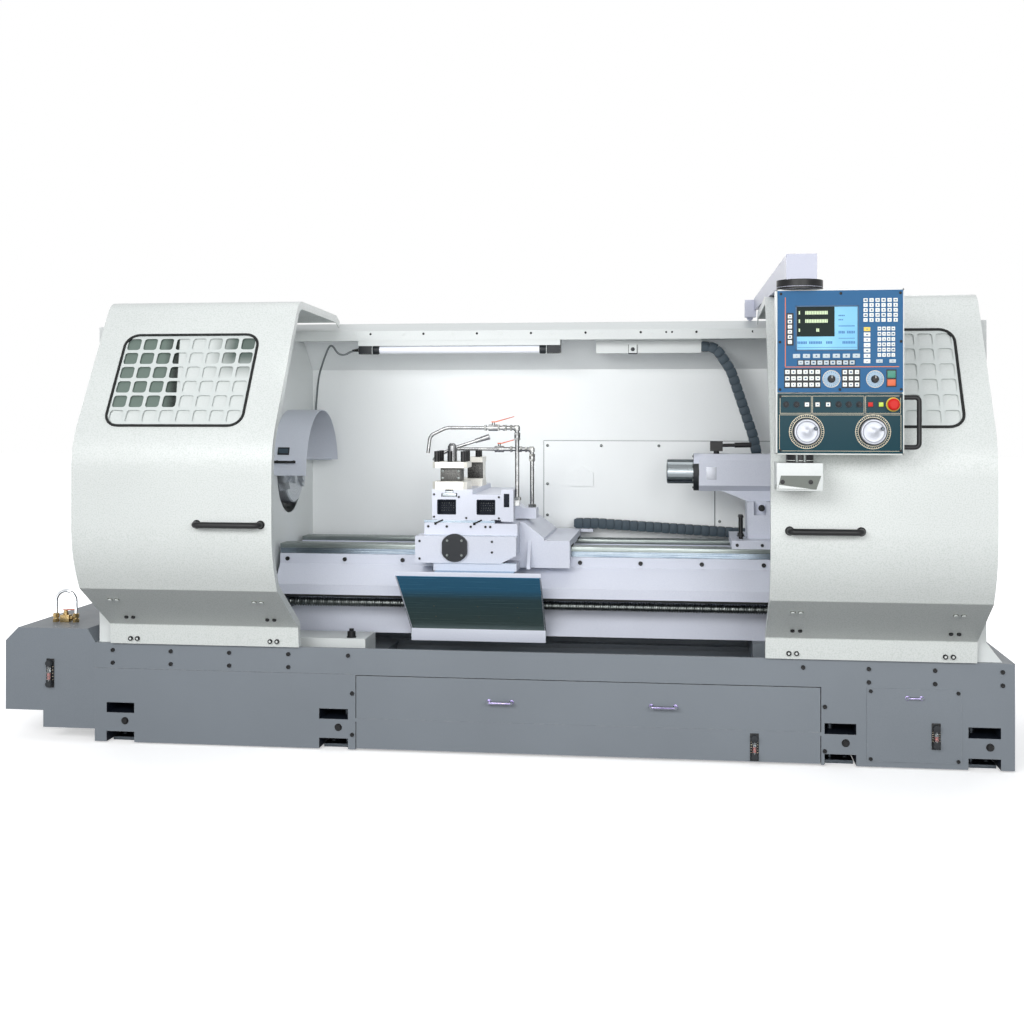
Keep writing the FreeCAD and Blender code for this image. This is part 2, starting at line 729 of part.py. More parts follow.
slot_tools = []
for number, angle in enumerate(jaw_angles, start=1):
    slot = box(f"jaw_slot_{number}", (0, slot_depth + 1), (0, s.jaw_width + jaw_fit * 2),
               (0, chuck_radius + 1 - slot_start))
    slot_tools.append(round_spindle(slot, s.chuck_face - slot_depth, -s.jaw_width / 2 - jaw_fit,
                                    slot_start, angle))
chuck = cut("chuck_with_slots", chuck_body, slot_tools)
keep("chuck_body", chuck)

# jaws: stepped blocks in the slots
for number, angle in enumerate(jaw_angles, start=1):
    step_x = slot_depth + s.jaw_height * 0.45
    jaw = prism(f"jaw_{number}", "XZ_Plane", [
        (jaw_fit, 0), (slot_depth + s.jaw_height, 0),
        (slot_depth + s.jaw_height, s.jaw_length * 0.42), (step_x, s.jaw_length * 0.42),
        (step_x, s.jaw_length), (jaw_fit, s.jaw_length)], -s.jaw_width / 2, s.jaw_width / 2)
    keep(f"chuck_jaw_{number}",
         round_spindle(jaw, s.chuck_face - slot_depth, 0, jaw_base, angle))


guard_pin_size = 8
guard_pivot_rise = 36


def guard_shape():
    # a half round shell over the chuck, from the back edge over the top to the front edge
    outer = s.guard_radius.value
    inner = outer - s.sheet.value
    axis_y, axis_z = s.spindle_y.value, s.spindle_z.value
    width = s.guard_right.value - s.guard_left.value
    front = math.radians(180 + 3.6)
    back = math.radians(-0 + 9.6 - 2)

    def at(radius, angle):
        return Vector(0, axis_y + radius * math.cos(angle), axis_z + radius * math.sin(angle))

    middle = (front + back) / 2
    edges = [Part.Arc(at(outer, back), at(outer, middle), at(outer, front)).toShape(),
             Part.LineSegment(at(outer, front), at(inner, front)).toShape(),
             Part.Arc(at(inner, front), at(inner, middle), at(inner, back)).toShape(),
             Part.LineSegment(at(inner, back), at(outer, back)).toShape()]
    shell_piece = Part.Face(Part.Wire(edges)).extrude(Vector(width, 0, 0))
    shell_piece.translate(Vector(s.guard_left.value, 0, 0))
    strip_y = axis_y - outer - 14
    strip = block((s.guard_left.value + 9, s.guard_left.value + 95), (strip_y, axis_y - outer + 4),
                  (axis_z + 34, axis_z + 42))
    knuckle = bar((s.guard_left.value + 4, s.guard_hinge_y.value, axis_z + guard_pivot_rise), X, 16,
                  width - 30)
    pin_bore = bar((s.guard_left.value, s.guard_hinge_y.value, axis_z + guard_pivot_rise), X,
                   guard_pin_size + 0.2, width)
    return shell_piece.fuse([strip, knuckle]).removeSplitter().cut(pin_bore)


keep("chuck_guard", shaped("guard", guard_shape()))

# ---- carriage ----

fit = s.slide_fit
top_of_way = s.way_top + fit
skirt_bottom = s.screw_cover_top + 4
# saddle: a wing over each way, the bridge for the cross slide, the X-screw housing in front
wings = prism("saddle_section", "YZ_Plane", [
    (s.saddle_front, skirt_bottom), (s.saddle_front, s.wing_top), (s.saddle_back, s.wing_top),
    (s.saddle_back, s.way_top - 40), (s.bed_back + fit, s.way_top - 40), (s.bed_back + fit, top_of_way),
    (s.bed_front - fit, top_of_way), (s.bed_front - fit, skirt_bottom)], s.saddle_left, s.wing_right)
bridge = box("bridge", (s.bridge_left, s.bridge_right), (s.saddle_front, s.saddle_back - 20),
             (s.wing_top, s.bridge_top))
bridge_nose = box("bridge_nose", (s.bridge_left, s.bridge_right), (s.bridge_front, s.saddle_front),
                  (s.apron_top, s.bridge_top))
apron_cut = 29
apron = prism("apron", "XZ_Plane", [
    (s.apron_left, s.apron_bottom), (s.apron_right - apron_cut * 2, s.apron_bottom),
    (s.apron_right, s.apron_bottom + apron_cut), (s.apron_right, s.apron_top),
    (s.apron_left, s.apron_top)], s.apron_front, s.saddle_front)
strip_bottom = s.apron_bottom - 29
apron_strip = box("apron_strip", (s.apron_left + 67, s.apron_right), (s.apron_front + 10, s.saddle_front),
                  (strip_bottom, s.apron_bottom))
side_top = s.bridge_top - 2
side_nose = box("side_nose", (s.bridge_right, s.apron_right), (s.bridge_front, s.saddle_front),
                (s.apron_top, side_top))
side_block = prism("side_block", "XZ_Plane", [
    (s.bridge_right, s.wing_top), (s.wing_right - 96, s.wing_top), (s.wing_right - 96, s.wing_top + 10),
    (s.apron_right + 13, side_top), (s.bridge_right, side_top)], s.saddle_front, s.saddle_back - 70)
rib = prism("wing_rib", "YZ_Plane", [
    (s.saddle_front - 50, skirt_bottom), (s.saddle_front, skirt_bottom), (s.saddle_front, s.wing_top)],
    s.apron_right + 30, s.apron_right + 42)
cap_size = 102
cap_z = s.apron_top - 41
cap = rod("screw_cap", alongY, s.shield_centre - 56, s.apron_front - 10, cap_z, cap_size, 12)
cap_field = box("cap_field", (s.shield_centre - 56 - 46, s.shield_centre - 56 + 46),
                (s.apron_front - 11, s.apron_front + 3), (cap_z - cap_size / 2, s.apron_top))
cap_disc = doc.addObject("Part::Common", "cap_disc")
cap_disc.Base = cap
cap_disc.Tool = cap_field
# the nut round the drive screw, on an arm that passes in front of the folded cover
nut_from, nut_to = -300, -200
arm_front = s.screw_cover_front - 25
arm_back = s.screw_cover_front - 3.5
arm_low = s.ball_screw_z + 6
nut_arm = prism("nut_arm", "YZ_Plane", [
    (arm_front, arm_low), (s.ball_screw_y - 15, arm_low), (s.ball_screw_y - 15, s.screw_cover_bottom - 4),
    (arm_back, s.screw_cover_bottom - 4), (arm_back, strip_bottom + 10),
    (arm_front, strip_bottom + 10)], nut_from, nut_to)
nut = rod("nut", alongX, nut_from, s.ball_screw_y, s.ball_screw_z, s.ball_screw + 26, nut_to - nut_from)
nut_bore = rod("nut_bore", alongX, nut_from - 1, s.ball_screw_y, s.ball_screw_z,
               s.ball_screw + s.running_fit * 2, nut_to - nut_from + 2)
chain_y = (215, 262)
chain_step = box("chain_step", (s.wing_right - 30, s.wing_right + 50),
                 (s.saddle_back - 20, chain_y[1]), (s.wing_top - 12, s.wing_top))
saddle_solid = fuse("saddle_solid", [wings, bridge, bridge_nose, apron, apron_strip, side_nose,
                                     side_block, rib, cap_disc, nut_arm, nut, chain_step])
keep("saddle", cut("saddle_casting", saddle_solid, [nut_bore]))


def shield_shape():
    # a sheet that falls away to the back, with a lip below, a flange on top and two side flanges
    wall = s.sheet.value
    middle = s.shield_centre.value
    top_y, top_z = s.apron_front.value - 50, strip_bottom.value - 14
    low_y, low_z = s.bed_front.value + 10, 402
    path = [(top_y, top_z + 13), (top_y, top_z), (low_y, low_z), (low_y, low_z - 47)]
    half_top, half_low = s.shield_top_width.value / 2, s.shield_bottom_width.value / 2
    sheet_piece = folded(path, [0, 0], middle - half_top, middle + half_top, wall)
    taper = half_top - half_low
    for side in (-1, 1):
        edge = middle + side * half_top
        corners = [Vector(edge, -1000, top_z), Vector(edge - side * taper, -1000, low_z - 60),
                   Vector(edge + side * 20, -1000, low_z - 60), Vector(edge + side * 20, -1000, top_z)]
        wedge = Part.Face(Part.makePolygon(corners + corners[:1])).extrude(Vector(0, 900, 0))
        sheet_piece = sheet_piece.cut(wedge)
    # the top plate carries the shield from the strip under the X-screw housing
    shelf = block((middle - half_top + 140, middle + 165), (top_y, s.apron_front.value + 70),
                  (strip_bottom.value - wall, strip_bottom.value))
    rim = block((middle - half_top, middle + half_top), (top_y, top_y + wall),
                (top_z + 12, strip_bottom.value))
    return sheet_piece.fuse([shelf, rim]).removeSplitter()


keep("chip_shield", shaped("shield", shield_shape()))

# cross slide: a riser on the bridge with two pockets in front, a slot on top, a bracket at the right
cross_back = 70
cross_end = s.cross_right + 22
cross_step = -249
riser = prism("riser", "XZ_Plane", [
    (s.cross_left, s.cross_bottom), (s.cross_left + 21, s.cross_bottom),
    (s.cross_left + 21, s.bridge_top + fit),
    (s.cross_right - 16, s.bridge_top + fit), (s.cross_right - 16, s.cross_bottom),
    (cross_end, s.cross_bottom), (cross_end, s.cross_top - 18), (cross_step, s.cross_top - 18),
    (cross_step, s.cross_top), (s.cross_left, s.cross_top)], s.bridge_front, cross_back)
slide_bracket = box("slide_bracket", (cross_end, cross_end + 46), (s.bridge_front, s.bridge_front + 60),
                    (s.cross_bottom - 6, s.cross_top))
pipe_foot_y = -200
pipe_foot = prism("pipe_foot", "XZ_Plane", [
    (cross_end, s.cross_bottom - 6), (cross_end + 112, s.cross_bottom - 6),
    (cross_end + 112, s.cross_bottom + 34), (cross_end + 60, s.cross_bottom + 34),
    (cross_end, s.cross_bottom + 80)], pipe_foot_y - 40, pipe_foot_y + 50)
pocket_low, pocket_high = s.cross_bottom + 20, s.cross_top - 38
slide_pockets = [box(f"slide_pocket_{word}", x, (s.bridge_front - 1, s.bridge_front + 24),
                     (pocket_low, pocket_high))
                 for word, x in (("left", (s.cross_left + 21, s.cross_left + 89)),
                                 ("right", (s.cross_right - 68, s.cross_right - 1)))]
bracket_slot = box("bracket_slot", (cross_end + 11, cross_end + 30),
                   (s.bridge_front - 1, s.bridge_front + 10), (s.cross_top - 63, s.cross_top - 15))
post_x = s.cross_left + s.post_size / 2
post_y = s.bridge_front + s.post_size / 2
tee_slot = prism("tee_slot", "XZ_Plane", [
    (post_x - 30, s.cross_top - 27), (post_x + 30, s.cross_top - 27), (post_x + 30, s.cross_top - 13),
    (post_x + 15, s.cross_top - 13), (post_x + 15, s.cross_top + 1), (post_x - 15, s.cross_top + 1),
    (post_x - 15, s.cross_top - 13), (post_x - 30, s.cross_top - 13)], s.bridge_front - 1, cross_back + 1)
keep("cross_slide", cut("cross_casting", fuse("cross_solid", [riser, slide_bracket, pipe_foot]),
                        slide_pockets + [bracket_slot, tee_slot]))

# four-way tool post: base plate, narrower body between the tool slots, top plate, T-nut
post_half = s.post_size / 2
post_inset = 28
plate_corner = 12


def plate(name, half, low, high):
    near = half - plate_corner
    return prism(name, "XY_Plane", [
        (post_x - near, post_y - half), (post_x + near, post_y - half), (post_x + half, post_y - near),
        (post_x + half, post_y + near), (post_x + near, post_y + half), (post_x - near, post_y + half),
        (post_x - half, post_y + near), (post_x - half, post_y - near)], low, high)


post_core = box("post_core", (post_x - post_half + post_inset, post_x + post_half - post_inset),
                (post_y - post_half + post_inset, post_y + post_half - post_inset),
                (s.post_floor, s.post_ceiling))
tee_neck = rod("tee_neck", alongZ, post_x, post_y, s.cross_top - 15, 28, 16)
tee_nut = rod("tee_nut", alongZ, post_x, post_y, s.cross_top - 26, 56, 12)
keep("tool_post", fuse("post", [plate("post_base", post_half, s.cross_top, s.post_floor), post_core,
                                plate("post_plate", post_half, s.post_ceiling, s.post_top),
                                tee_neck, tee_nut]))

# clamp screws: eight round the post, two on the rear block
screw_ring = post_half - 15
clamp_size = 19
clamp_spots = [(post_x + dx * screw_ring, post_y + dy * screw_ring, s.post_top, 40, f"{dx + 1}{dy + 1}")
               for dx in (-1, 0, 1) for dy in (-1, 0, 1) if dx or dy]
block_left, block_right = -344, cross_step
block_front, block_back = -160, -50
block_top = s.post_top + 10
clamp_spots += [(block_right - 22, y, block_top, 35, word)
                for word, y in (("near", block_front + 30), ("far", block_back - 30))]
keep("clamp_screws", group("post_screws", [
    rod("clamp_" + word, alongZ, x, y, z, clamp_size, height) for x, y, z, height, word in clamp_spots]))

# rear tool block: base, web, column and clamping plate
keep("rear_tool_block", fuse("rear_block", [
    box("block_base", (block_left, block_right), (block_front, block_back), (s.cross_top, s.post_floor)),
    box("block_web", (block_left + 34, block_right), (block_front + 25, block_back - 25),
        (s.post_floor, block_top)),
    box("block_plate", (block_left + 29, block_right), (block_front, block_back),
        (s.post_ceiling + 12, block_top))]))


def lever_shape():
    # hub with a domed top and a rising arm that ends in a thicker grip
    x, y, z = post_x.value, post_y.value, s.post_top.value + fit.value
    hub = bar((x, y, z), Z, 34, 58).fuse(Part.makeCone(17, 9, 10, Vector(x, y, z + 58)))
    rise = Vector(143, 0, 46).normalize()
    arm = bar((x, y, z + 48), rise, 12, 100)
    grip = Part.makeCone(8, 11, 56, Vector(x, y, z + 48) + rise * 92, rise)
    return hub.fuse([arm, grip]).removeSplitter()


keep("clamp_lever", shaped("post_lever", lever_shape()))

pipe_size = 16
front_pipe_x = cross_end.value + 46 + 9
rear_pipe_x = cross_end.value + 92
front_pipe_y = s.bridge_front.value + 40
valve_x = cross_end.value - 34


def coolant_run(x, y, foot, top, nozzle_x, nozzle_z):
    # a riser pipe with an elbow, a valve and a bent nozzle tube to the tool
    first = round_path([(x, y, foot), (x, y, top), (valve_x, y, top)], [18])
    second = round_path([(valve_x, y, top), (nozzle_x + 70, y, top), (nozzle_x + 8, y, top - 30),
                         (nozzle_x, y, nozzle_z)], [60, 30])
    parts = [tube_along(first, pipe_size), tube_along(second, pipe_size - 3),
             bar((x, y, top - 44), Z, pipe_size + 6, 22),
             bar((x - 40, y, top), (-1, 0, 0), pipe_size + 6, 14),
             bar((valve_x + 18, y, top), (-1, 0, 0), pipe_size + 8, 36),
             bar((valve_x, y, top), Z, 12, 20)]
    return parts[0].fuse(parts[1:]).removeSplitter()


front_top = s.post_top.value + 127
rear_top = s.post_top.value + 43
clamp_block = block((front_pipe_x - 9, front_pipe_x + 10), (front_pipe_y - 12, front_pipe_y + 12),
                    (s.cross_top.value - 60, s.cross_top.value - 28))
front_run = coolant_run(front_pipe_x, front_pipe_y, s.cross_top.value - 40, front_top, -424, 1077)
rear_run = coolant_run(rear_pipe_x, pipe_foot_y, s.cross_bottom.value + 34, rear_top, -432, 1042)
keep("coolant_pipes", shaped("pipes", Part.makeCompound([front_run.fuse(clamp_block), rear_run])))

for word, y, top in (("front", front_pipe_y, front_top), ("rear", pipe_foot_y, rear_top)):
    lever_z = top + 20 + fit.value
    handle = prism(word + "_valve_strip", "XZ_Plane", [
        (-7, 0), (10, 0), (78, 20), (78, 23), (8, 4), (-7, 4)], -6, 6)
    keep(word + "_valve_lever", place(handle, valve_x, y, lever_z))

# ---- tailstock ----

tail_half = s.tail_width / 2
tail_front = s.spindle_y - tail_half
tail_back = s.spindle_y + tail_half
chamfer = 22
barrel = prism("tail_barrel", "YZ_Plane", [
    (tail_front + chamfer, s.tail_barrel_bottom), (tail_back - chamfer, s.tail_barrel_bottom),
    (tail_back, s.tail_barrel_bottom + chamfer), (tail_back, s.tail_top - chamfer),
    (tail_back - chamfer, s.tail_top), (tail_front + chamfer, s.tail_top),
    (tail_front, s.tail_top - chamfer), (tail_front, s.tail_barrel_bottom + chamfer)],
    s.tail_left, s.tail_right)
web_slope = 37
web = prism("tail_web", "XZ_Plane", [
    (s.tail_left + 89, s.tail_barrel_bottom + 1), (s.tail_left + 89, s.tail_barrel_bottom),
    (s.tail_column, s.tail_barrel_bottom - web_slope), (s.tail_column, s.wing_top),
    (s.tail_right, s.wing_top), (s.tail_right, s.tail_barrel_bottom + 1)], tail_front + 20, tail_back - 20)
column = box("tail_column_block", (s.tail_column, s.tail_right), (tail_front - 30, tail_back + 30),
             (s.wing_top - 1, s.tail_barrel_bottom - web_slope))
tail_foot = box("tail_foot", (s.tail_column - 61, s.tail_right), (s.bed_front + 5, s.bed_back),
                (s.way_top + fit, s.wing_top + 1))
tail_key = box("tail_key", (s.tail_column, s.tail_right), (front_way_back + 3, back_way_front - 3),
               (band_low - 10, s.way_top + fit))
collar = rod("tail_collar", alongX, s.tail_left - 20, s.spindle_y, s.spindle_z, s.tail_width, 20)
studs = [rod(f"tail_stud_{word}", alongZ, s.tail_column - 25, y, s.wing_top, 14, 90)
         for word, y in (("near", tail_front - 60), ("far", tail_front - 20))]
quill_bore = rod("quill_bore", alongX, s.tail_left - 21, s.spindle_y, s.spindle_z,
                 s.quill_size + s.running_fit * 2, s.tail_right - s.tail_left + 22)
tail_pocket = box("tail_pocket", (s.tail_column + 25, s.tail_column + 70),
                  (tail_front - 31, tail_front), (s.spindle_z - 160, s.spindle_z - 109))
tail_knob = rod("tail_knob", alongY, s.tail_column + 53, tail_front - 44, s.spindle_z - 132, 22, 46)
tail_solid = fuse("tail_solid", [barrel, web, column, tail_foot, tail_key, collar] + studs)
keep("tailstock_body", fuse("tailstock", [
    cut("tailstock_casting", tail_solid, [quill_bore, tail_pocket]), tail_knob]))

# quill with its taper socket
quill_length = s.quill_out + s.tail_right - s.tail_left - 20
keep("quill", turned_x("quill_shaft", [
    (0, s.quill_taper / 2), (3, s.quill_size / 2 - 3), (6, s.quill_size / 2),
    (quill_length, s.quill_size / 2), (quill_length, 0), (150, 0), (150, s.quill_taper / 2 - 4)],
    s.quill_tip, s.spindle_y, s.spindle_z))


def lock_shape():
    # square-shouldered hub with a straight handle to the right
    x, y, z = s.tail_left.value + 67, s.spindle_y.value, s.tail_top.value + fit.value
    hub = bar((x, y, z), Z, 22, 12).fuse(block((x - 24, x + 24), (y - 22, y + 22), (z + 10, z + 48)))
    arm = bar((x + 20, y, z + 32), Vector(1, 0, 0.02), 13, 60)
    grip = bar((x + 70, y, z + 33), Vector(1, 0, 0.02), 20, 64)
    return hub.fuse([arm, grip]).removeSplitter()


keep("quill_lock_lever", shaped("lock_lever", lock_shape()))

# ---- casings, rear guard and top rail ----

guard_y = s.casing_back - 7
guard_top_y = s.rail_back + 8
notch_y = s.rail_front - fit


def casing_section(inset):
    # side outline of a casing: notched under the rail, slanted with the rear guard
    back = guard_y - inset
    return [
        (s.casing_front + inset, s.base_top), (s.casing_front + inset, s.casing_top - inset),
        (notch_y - inset, s.casing_top - inset), (notch_y - inset, s.rail_bottom - inset),
        (guard_top_y + 78 - inset, s.rail_bottom - inset), (back, s.rear_bend - 2 - inset / 2),
        (back, s.base_top)]


left_block = prism("left_casing_block", "YZ_Plane", casing_section(0), s.casing_left, s.casing_inner)
left_room = prism("left_casing_room", "YZ_Plane", casing_section(s.sheet),
                  s.casing_left + s.sheet, s.casing_inner - s.sheet)
chuck_door = rod("chuck_opening", alongX, s.casing_inner - s.sheet - 1, s.spindle_y, s.spindle_z,
                 s.chuck_opening, s.sheet + 2)
bar_door = rod("bar_opening", alongX, s.casing_left - 1, s.spindle_y, s.spindle_z,
               s.bar_opening, s.sheet + 2)
guard_pin = rod("guard_pin", alongX, s.casing_inner - s.sheet, s.guard_hinge_y,
                s.spindle_z + guard_pivot_rise,
                guard_pin_size, s.guard_right - s.casing_inner - 20)
ledge_y = (s.casing_front + 110, s.bed_front - 5)
ledge_end = s.casing_inner + 400
ledge_top_z = s.base_top + 13
ledge_plate = box("ledge_plate", (s.casing_inner - s.sheet, ledge_end), ledge_y,
                  (s.base_top, ledge_top_z))
ledge_leg = box("ledge_leg", (s.well_left, ledge_end), ledge_y,
                (s.drawer_top + s.base_wall, s.base_top))
gland_z = s.spindle_z + 85
lead_gland = box("lead_gland", (s.casing_inner - 1, s.casing_inner + 24), (guard_y - 25, guard_y - 1),
                 (gland_z - 36, gland_z))
ledge_knob = rod("ledge_knob", alongZ, ledge_end - 60, s.casing_front + 140, ledge_top_z, 30, 22)
left_shell = cut("left_casing_shell", left_block, [left_room, chuck_door, bar_door])
keep("left_casing", fuse("left_casing_sheet", [
    left_shell, guard_pin, ledge_plate, ledge_leg, ledge_knob, lead_gland]))

right_block = prism("right_casing_block", "YZ_Plane", casing_section(0),
                    s.right_casing_inner, s.right_casing_outer)
right_room = prism("right_casing_room", "YZ_Plane", casing_section(s.sheet),
                   s.right_casing_inner - 1, s.right_casing_outer - s.sheet)
gusset = prism("end_gusset", "XZ_Plane", [
    (s.right_casing_outer - 1, s.base_top), (s.right_casing_outer + 52, s.base_top),
    (s.right_casing_outer - 1, s.base_top + 68)], s.casing_front, s.casing_front + s.sheet)
keep("right_casing", fuse("right_casing_sheet", [
    cut("right_casing_shell", right_block, [right_room]), gusset]))

frame_left, frame_right = s.casing_left, s.right_casing_outer
rear_profile = [(guard_y.value, s.base_top.value), (guard_y.value, s.rear_bend.value),
                (guard_top_y.value, s.rail_top.value - 3)]
keep("rear_guard", shaped("rear_sheet", folded(
    rear_profile, [0], frame_left.value, frame_right.value, s.sheet.value)))

# bolted cover low on the rear guard, in two panels, with a small raised box
cover_y = guard_y - s.sheet
rear_left, rear_seam, rear_right = -56, 651, 1040
rear_low, rear_high = 750, 1110
panel_spans = (("left", (rear_left, rear_seam - 1)), ("right", (rear_seam + 1, rear_right)))
rear_panels = [box(f"rear_panel_{word}", x, (cover_y, guard_y), (rear_low, rear_high))
               for word, x in panel_spans]
rear_box = prism("rear_box", "XZ_Plane", [
    (52, rear_high - 189), (151, rear_high - 189), (151, rear_high - 132), (102, rear_high - 106),
    (52, rear_high - 132)], cover_y - 8, cover_y)
rear_screws = [rod(f"rear_screw_{n}", alongY, x, cover_y - 3, z, 12, 3)
               for n, (x, z) in enumerate([(184, 1090), (422, 1090), (-40, 1090), (-40, 930), (-40, 800),
                                           (670, 780), (670, 1090), (1020, 1090)])]
keep("rear_cover", group("rear_cover_parts", [
    fuse("rear_left_panel", [rear_panels[0], rear_box] + rear_screws[:5]),
    fuse("rear_right_panel", [rear_panels[1]] + rear_screws[5:])]))

# top rail: a folded channel across the whole machine, with its bolts
rail_profile = [(s.rail_back.value + 8, s.rail_bottom.value), (s.rail_front.value, s.rail_bottom.value),
                (s.rail_front.value, s.rail_face_top.value), (s.rail_back.value, s.rail_top.value),
                (s.rail_back.value + 8, s.rail_top.value)]
rail_sheet = folded(rail_profile, [0, 0, 0], frame_left.value, frame_right.value, s.sheet.value)
rail_bolts = [bar((x, s.rail_front.value - 4, s.rail_face_top.value - 12), Y, 12, 5)
              for x in range(-800, 801, 200)]
keep("top_rail", shaped("rail", rail_sheet.fuse(rail_bolts)))

# cable tray under the rail, with its clamp
tray_x, tray_end = 176, 594
tray_y = (s.rail_back + 20, s.rail_back + 75)
tray_z = (s.rail_bottom - 52, s.rail_bottom)
tray_block = box("tray_block", (tray_x, tray_end), tray_y, tray_z)
tray_room = box("tray_room", (tray_x + s.sheet, tray_end + 1), (tray_y[0] + s.sheet, tray_y[1] - s.sheet),
                (tray_z[0] + s.sheet, tray_z[1] - s.sheet))
tray_flange = box("tray_flange", (tray_x, tray_end), (s.rail_front + 20, tray_y[0] + 1),
                  (tray_z[1] - s.sheet, tray_z[1]))
tray_clamp = box("tray_clamp", (tray_x + 131, tray_x + 163), (tray_y[0] - 8, tray_y[0] + 1),
                 (tray_z[0], tray_z[1] - s.sheet))
keep("cable_tray", fuse("tray", [cut("tray_shell", tray_block, [tray_room]), tray_flange, tray_clamp]))

# lamp under the rail: channel with two end caps, and the tube between them
lamp_left, lamp_right = -785, 38
lamp_cap = 57
lamp_y = s.rail_front + 28
lamp_z = s.rail_bottom - 36
lamp_tube_size = 30
lamp_parts = [box("lamp_channel", (lamp_left, lamp_right), (lamp_y - 25, lamp_y + 25),
                  (lamp_z + lamp_tube_size / 2, s.rail_bottom))]
for word, x in (("left", lamp_left), ("right", lamp_right - lamp_cap)):
    lamp_parts.append(box(f"lamp_cap_{word}", (x, x + lamp_cap), (lamp_y - 18, lamp_y + 18),
                          (lamp_z - 18, s.rail_bottom)))
keep("lamp_housing", fuse("lamp_body", lamp_parts))
keep("lamp_tube", rod("lamp_glass", alongX, lamp_left + lamp_cap, lamp_y, lamp_z, lamp_tube_size,
                      lamp_right - lamp_left - lamp_cap * 2))

# the lamp's lead: from its left cap up to a clip under the rail, then down the rear corner
lead_size = 8
lead_points = [
    (-785.5, 40, 1482), (-815, 40, 1480), (-848, 40, 1460), (-878, 40, 1468), (-897, 44, 1500),
    (-918, 62, 1502), (-944, 96, 1462), (-970, 140, 1424), (-996, 190, 1386), (-1016, 238, 1340),
    (-1028, 264, 1280), (-1034, 270, 1215), (-1038, 270, 1150), (-1038, 270, 1085)]


def cord(points, size, label):
    radii = []
    for before, corner, after in zip(points, points[1:], points[2:]):
        back = Vector(*before) - Vector(*corner)
        ahead = Vector(*after) - Vector(*corner)
        turn = math.pi - back.getAngle(ahead)
        radii.append(0.45 * min(back.Length, ahead.Length) / math.tan(turn / 2))
    print(label, "radii", [round(radius) for radius in radii], "size", size)
    wire = round_path(points, radii)
    solid = tube_along(wire, size)
    print(label, "volume ratio", round(solid.Volume / (math.pi * size ** 2 / 4 * wire.Length), 4))
    return solid


keep("lamp_lead", shaped("lead", cord(lead_points, lead_size, "lamp lead")))

# ---- energy chains ----

link_pitch = 32
link_height = 40
link_gap = 0.25


def chain(path, y_from, y_to):
    # links set one after another along a path in the XZ plane, their ends cut on the joint lines
    count = int(path.Length / link_pitch)
    marks = path.discretize(Number=count + 1)
    headings = [(there - here).normalize() for here, there in zip(marks, marks[1:])]
    ends = []
    for index, mark in enumerate(marks):
        before = headings[max(index - 1, 0)]
        after = headings[min(index, count - 1)]
        along = (before + after).normalize()
        across = Vector(-along.z, 0, along.x) * (link_height / 2 / math.cos(before.getAngle(after) / 2))
        ends.append((mark - across, mark + across))
    links = []
    for heading, near, far in zip(headings, ends, ends[1:]):
        step = heading * link_gap
        corners = [near[0] + step, far[0] - step, far[1] - step, near[1] + step]
        corners = [Vector(corner.x, y_from, corner.z) for corner in corners]
        links.append(Part.Face(Part.makePolygon(corners + corners[:1])).extrude(
            Vector(0, y_to - y_from, 0)))
    return Part.makeCompound(links)


lower_bend = 62
lower_start = (s.wing_right.value - 25, 0, s.wing_top.value + link_height / 2 + 0.6)
lower_rest = (s.wing_right.value + 60, 0, lower_start[2])
lower_top = (790, 0, 735)
lower_low = (790, 0, 735 - lower_bend * 2)
lower_end = (300, 0, 735 - lower_bend * 2)
lower_path = round_path([lower_start, lower_rest, lower_top, (lower_top[0] + 90, 0, 734),
                         (lower_low[0] + 90, 0, lower_low[2]), lower_end],
                        [0, 0, lower_bend - 1, lower_bend - 1])
keep("lower_chain", shaped("lower_links", chain(lower_path, *chain_y)))

upper_y = (s.rail_back.value + 24, s.rail_back.value + 70)
bracket_x, bracket_z = 1030, 1430
upper_path = round_path([
    (tray_end, 0, 1492), (650, 0, 1490), (712, 0, 1395), (800, 0, 1130), (850, 0, 870),
    (bracket_x + 2, 0, 870), (bracket_x, 0, 1180), (bracket_x, 0, bracket_z)],
    [60, 200, 300, 80, 80, 300])
keep("upper_chain", shaped("upper_links", chain(upper_path, *upper_y)))

# ---- sliding doors ----

door_plane = s.casing_front.value - 361
sill_y = base_front.value - 15
door_profile = [
    (sill_y, s.base_top.value + 2), (sill_y - 6, s.base_top.value + 76), (-826, 611),
    (door_plane, 734), (door_plane, 1115), (-561, 1638), (-32, 1619), (23, 1596)]
door_bends = [8, 12, 400, 300, 80, 12]
lean_low = Vector(0, *door_profile[4])
lean_high = Vector(0, *door_profile[5])
lean = (lean_high - lean_low).normalize()
lean_out = Vector(0, -lean.z, lean.y)
window_corner = 48
window_rise = (s.window_high.value - s.window_low.value) / lean.z
window_start = lean_low + lean * ((s.window_low.value - lean_low.z) / lean.z)


def on_lean(x, up, out):
    # a point on the leaning panel: so far across, up from the window's lower edge and outwards
    return Vector(x, 0, 0) + window_start + lean * up + lean_out * out


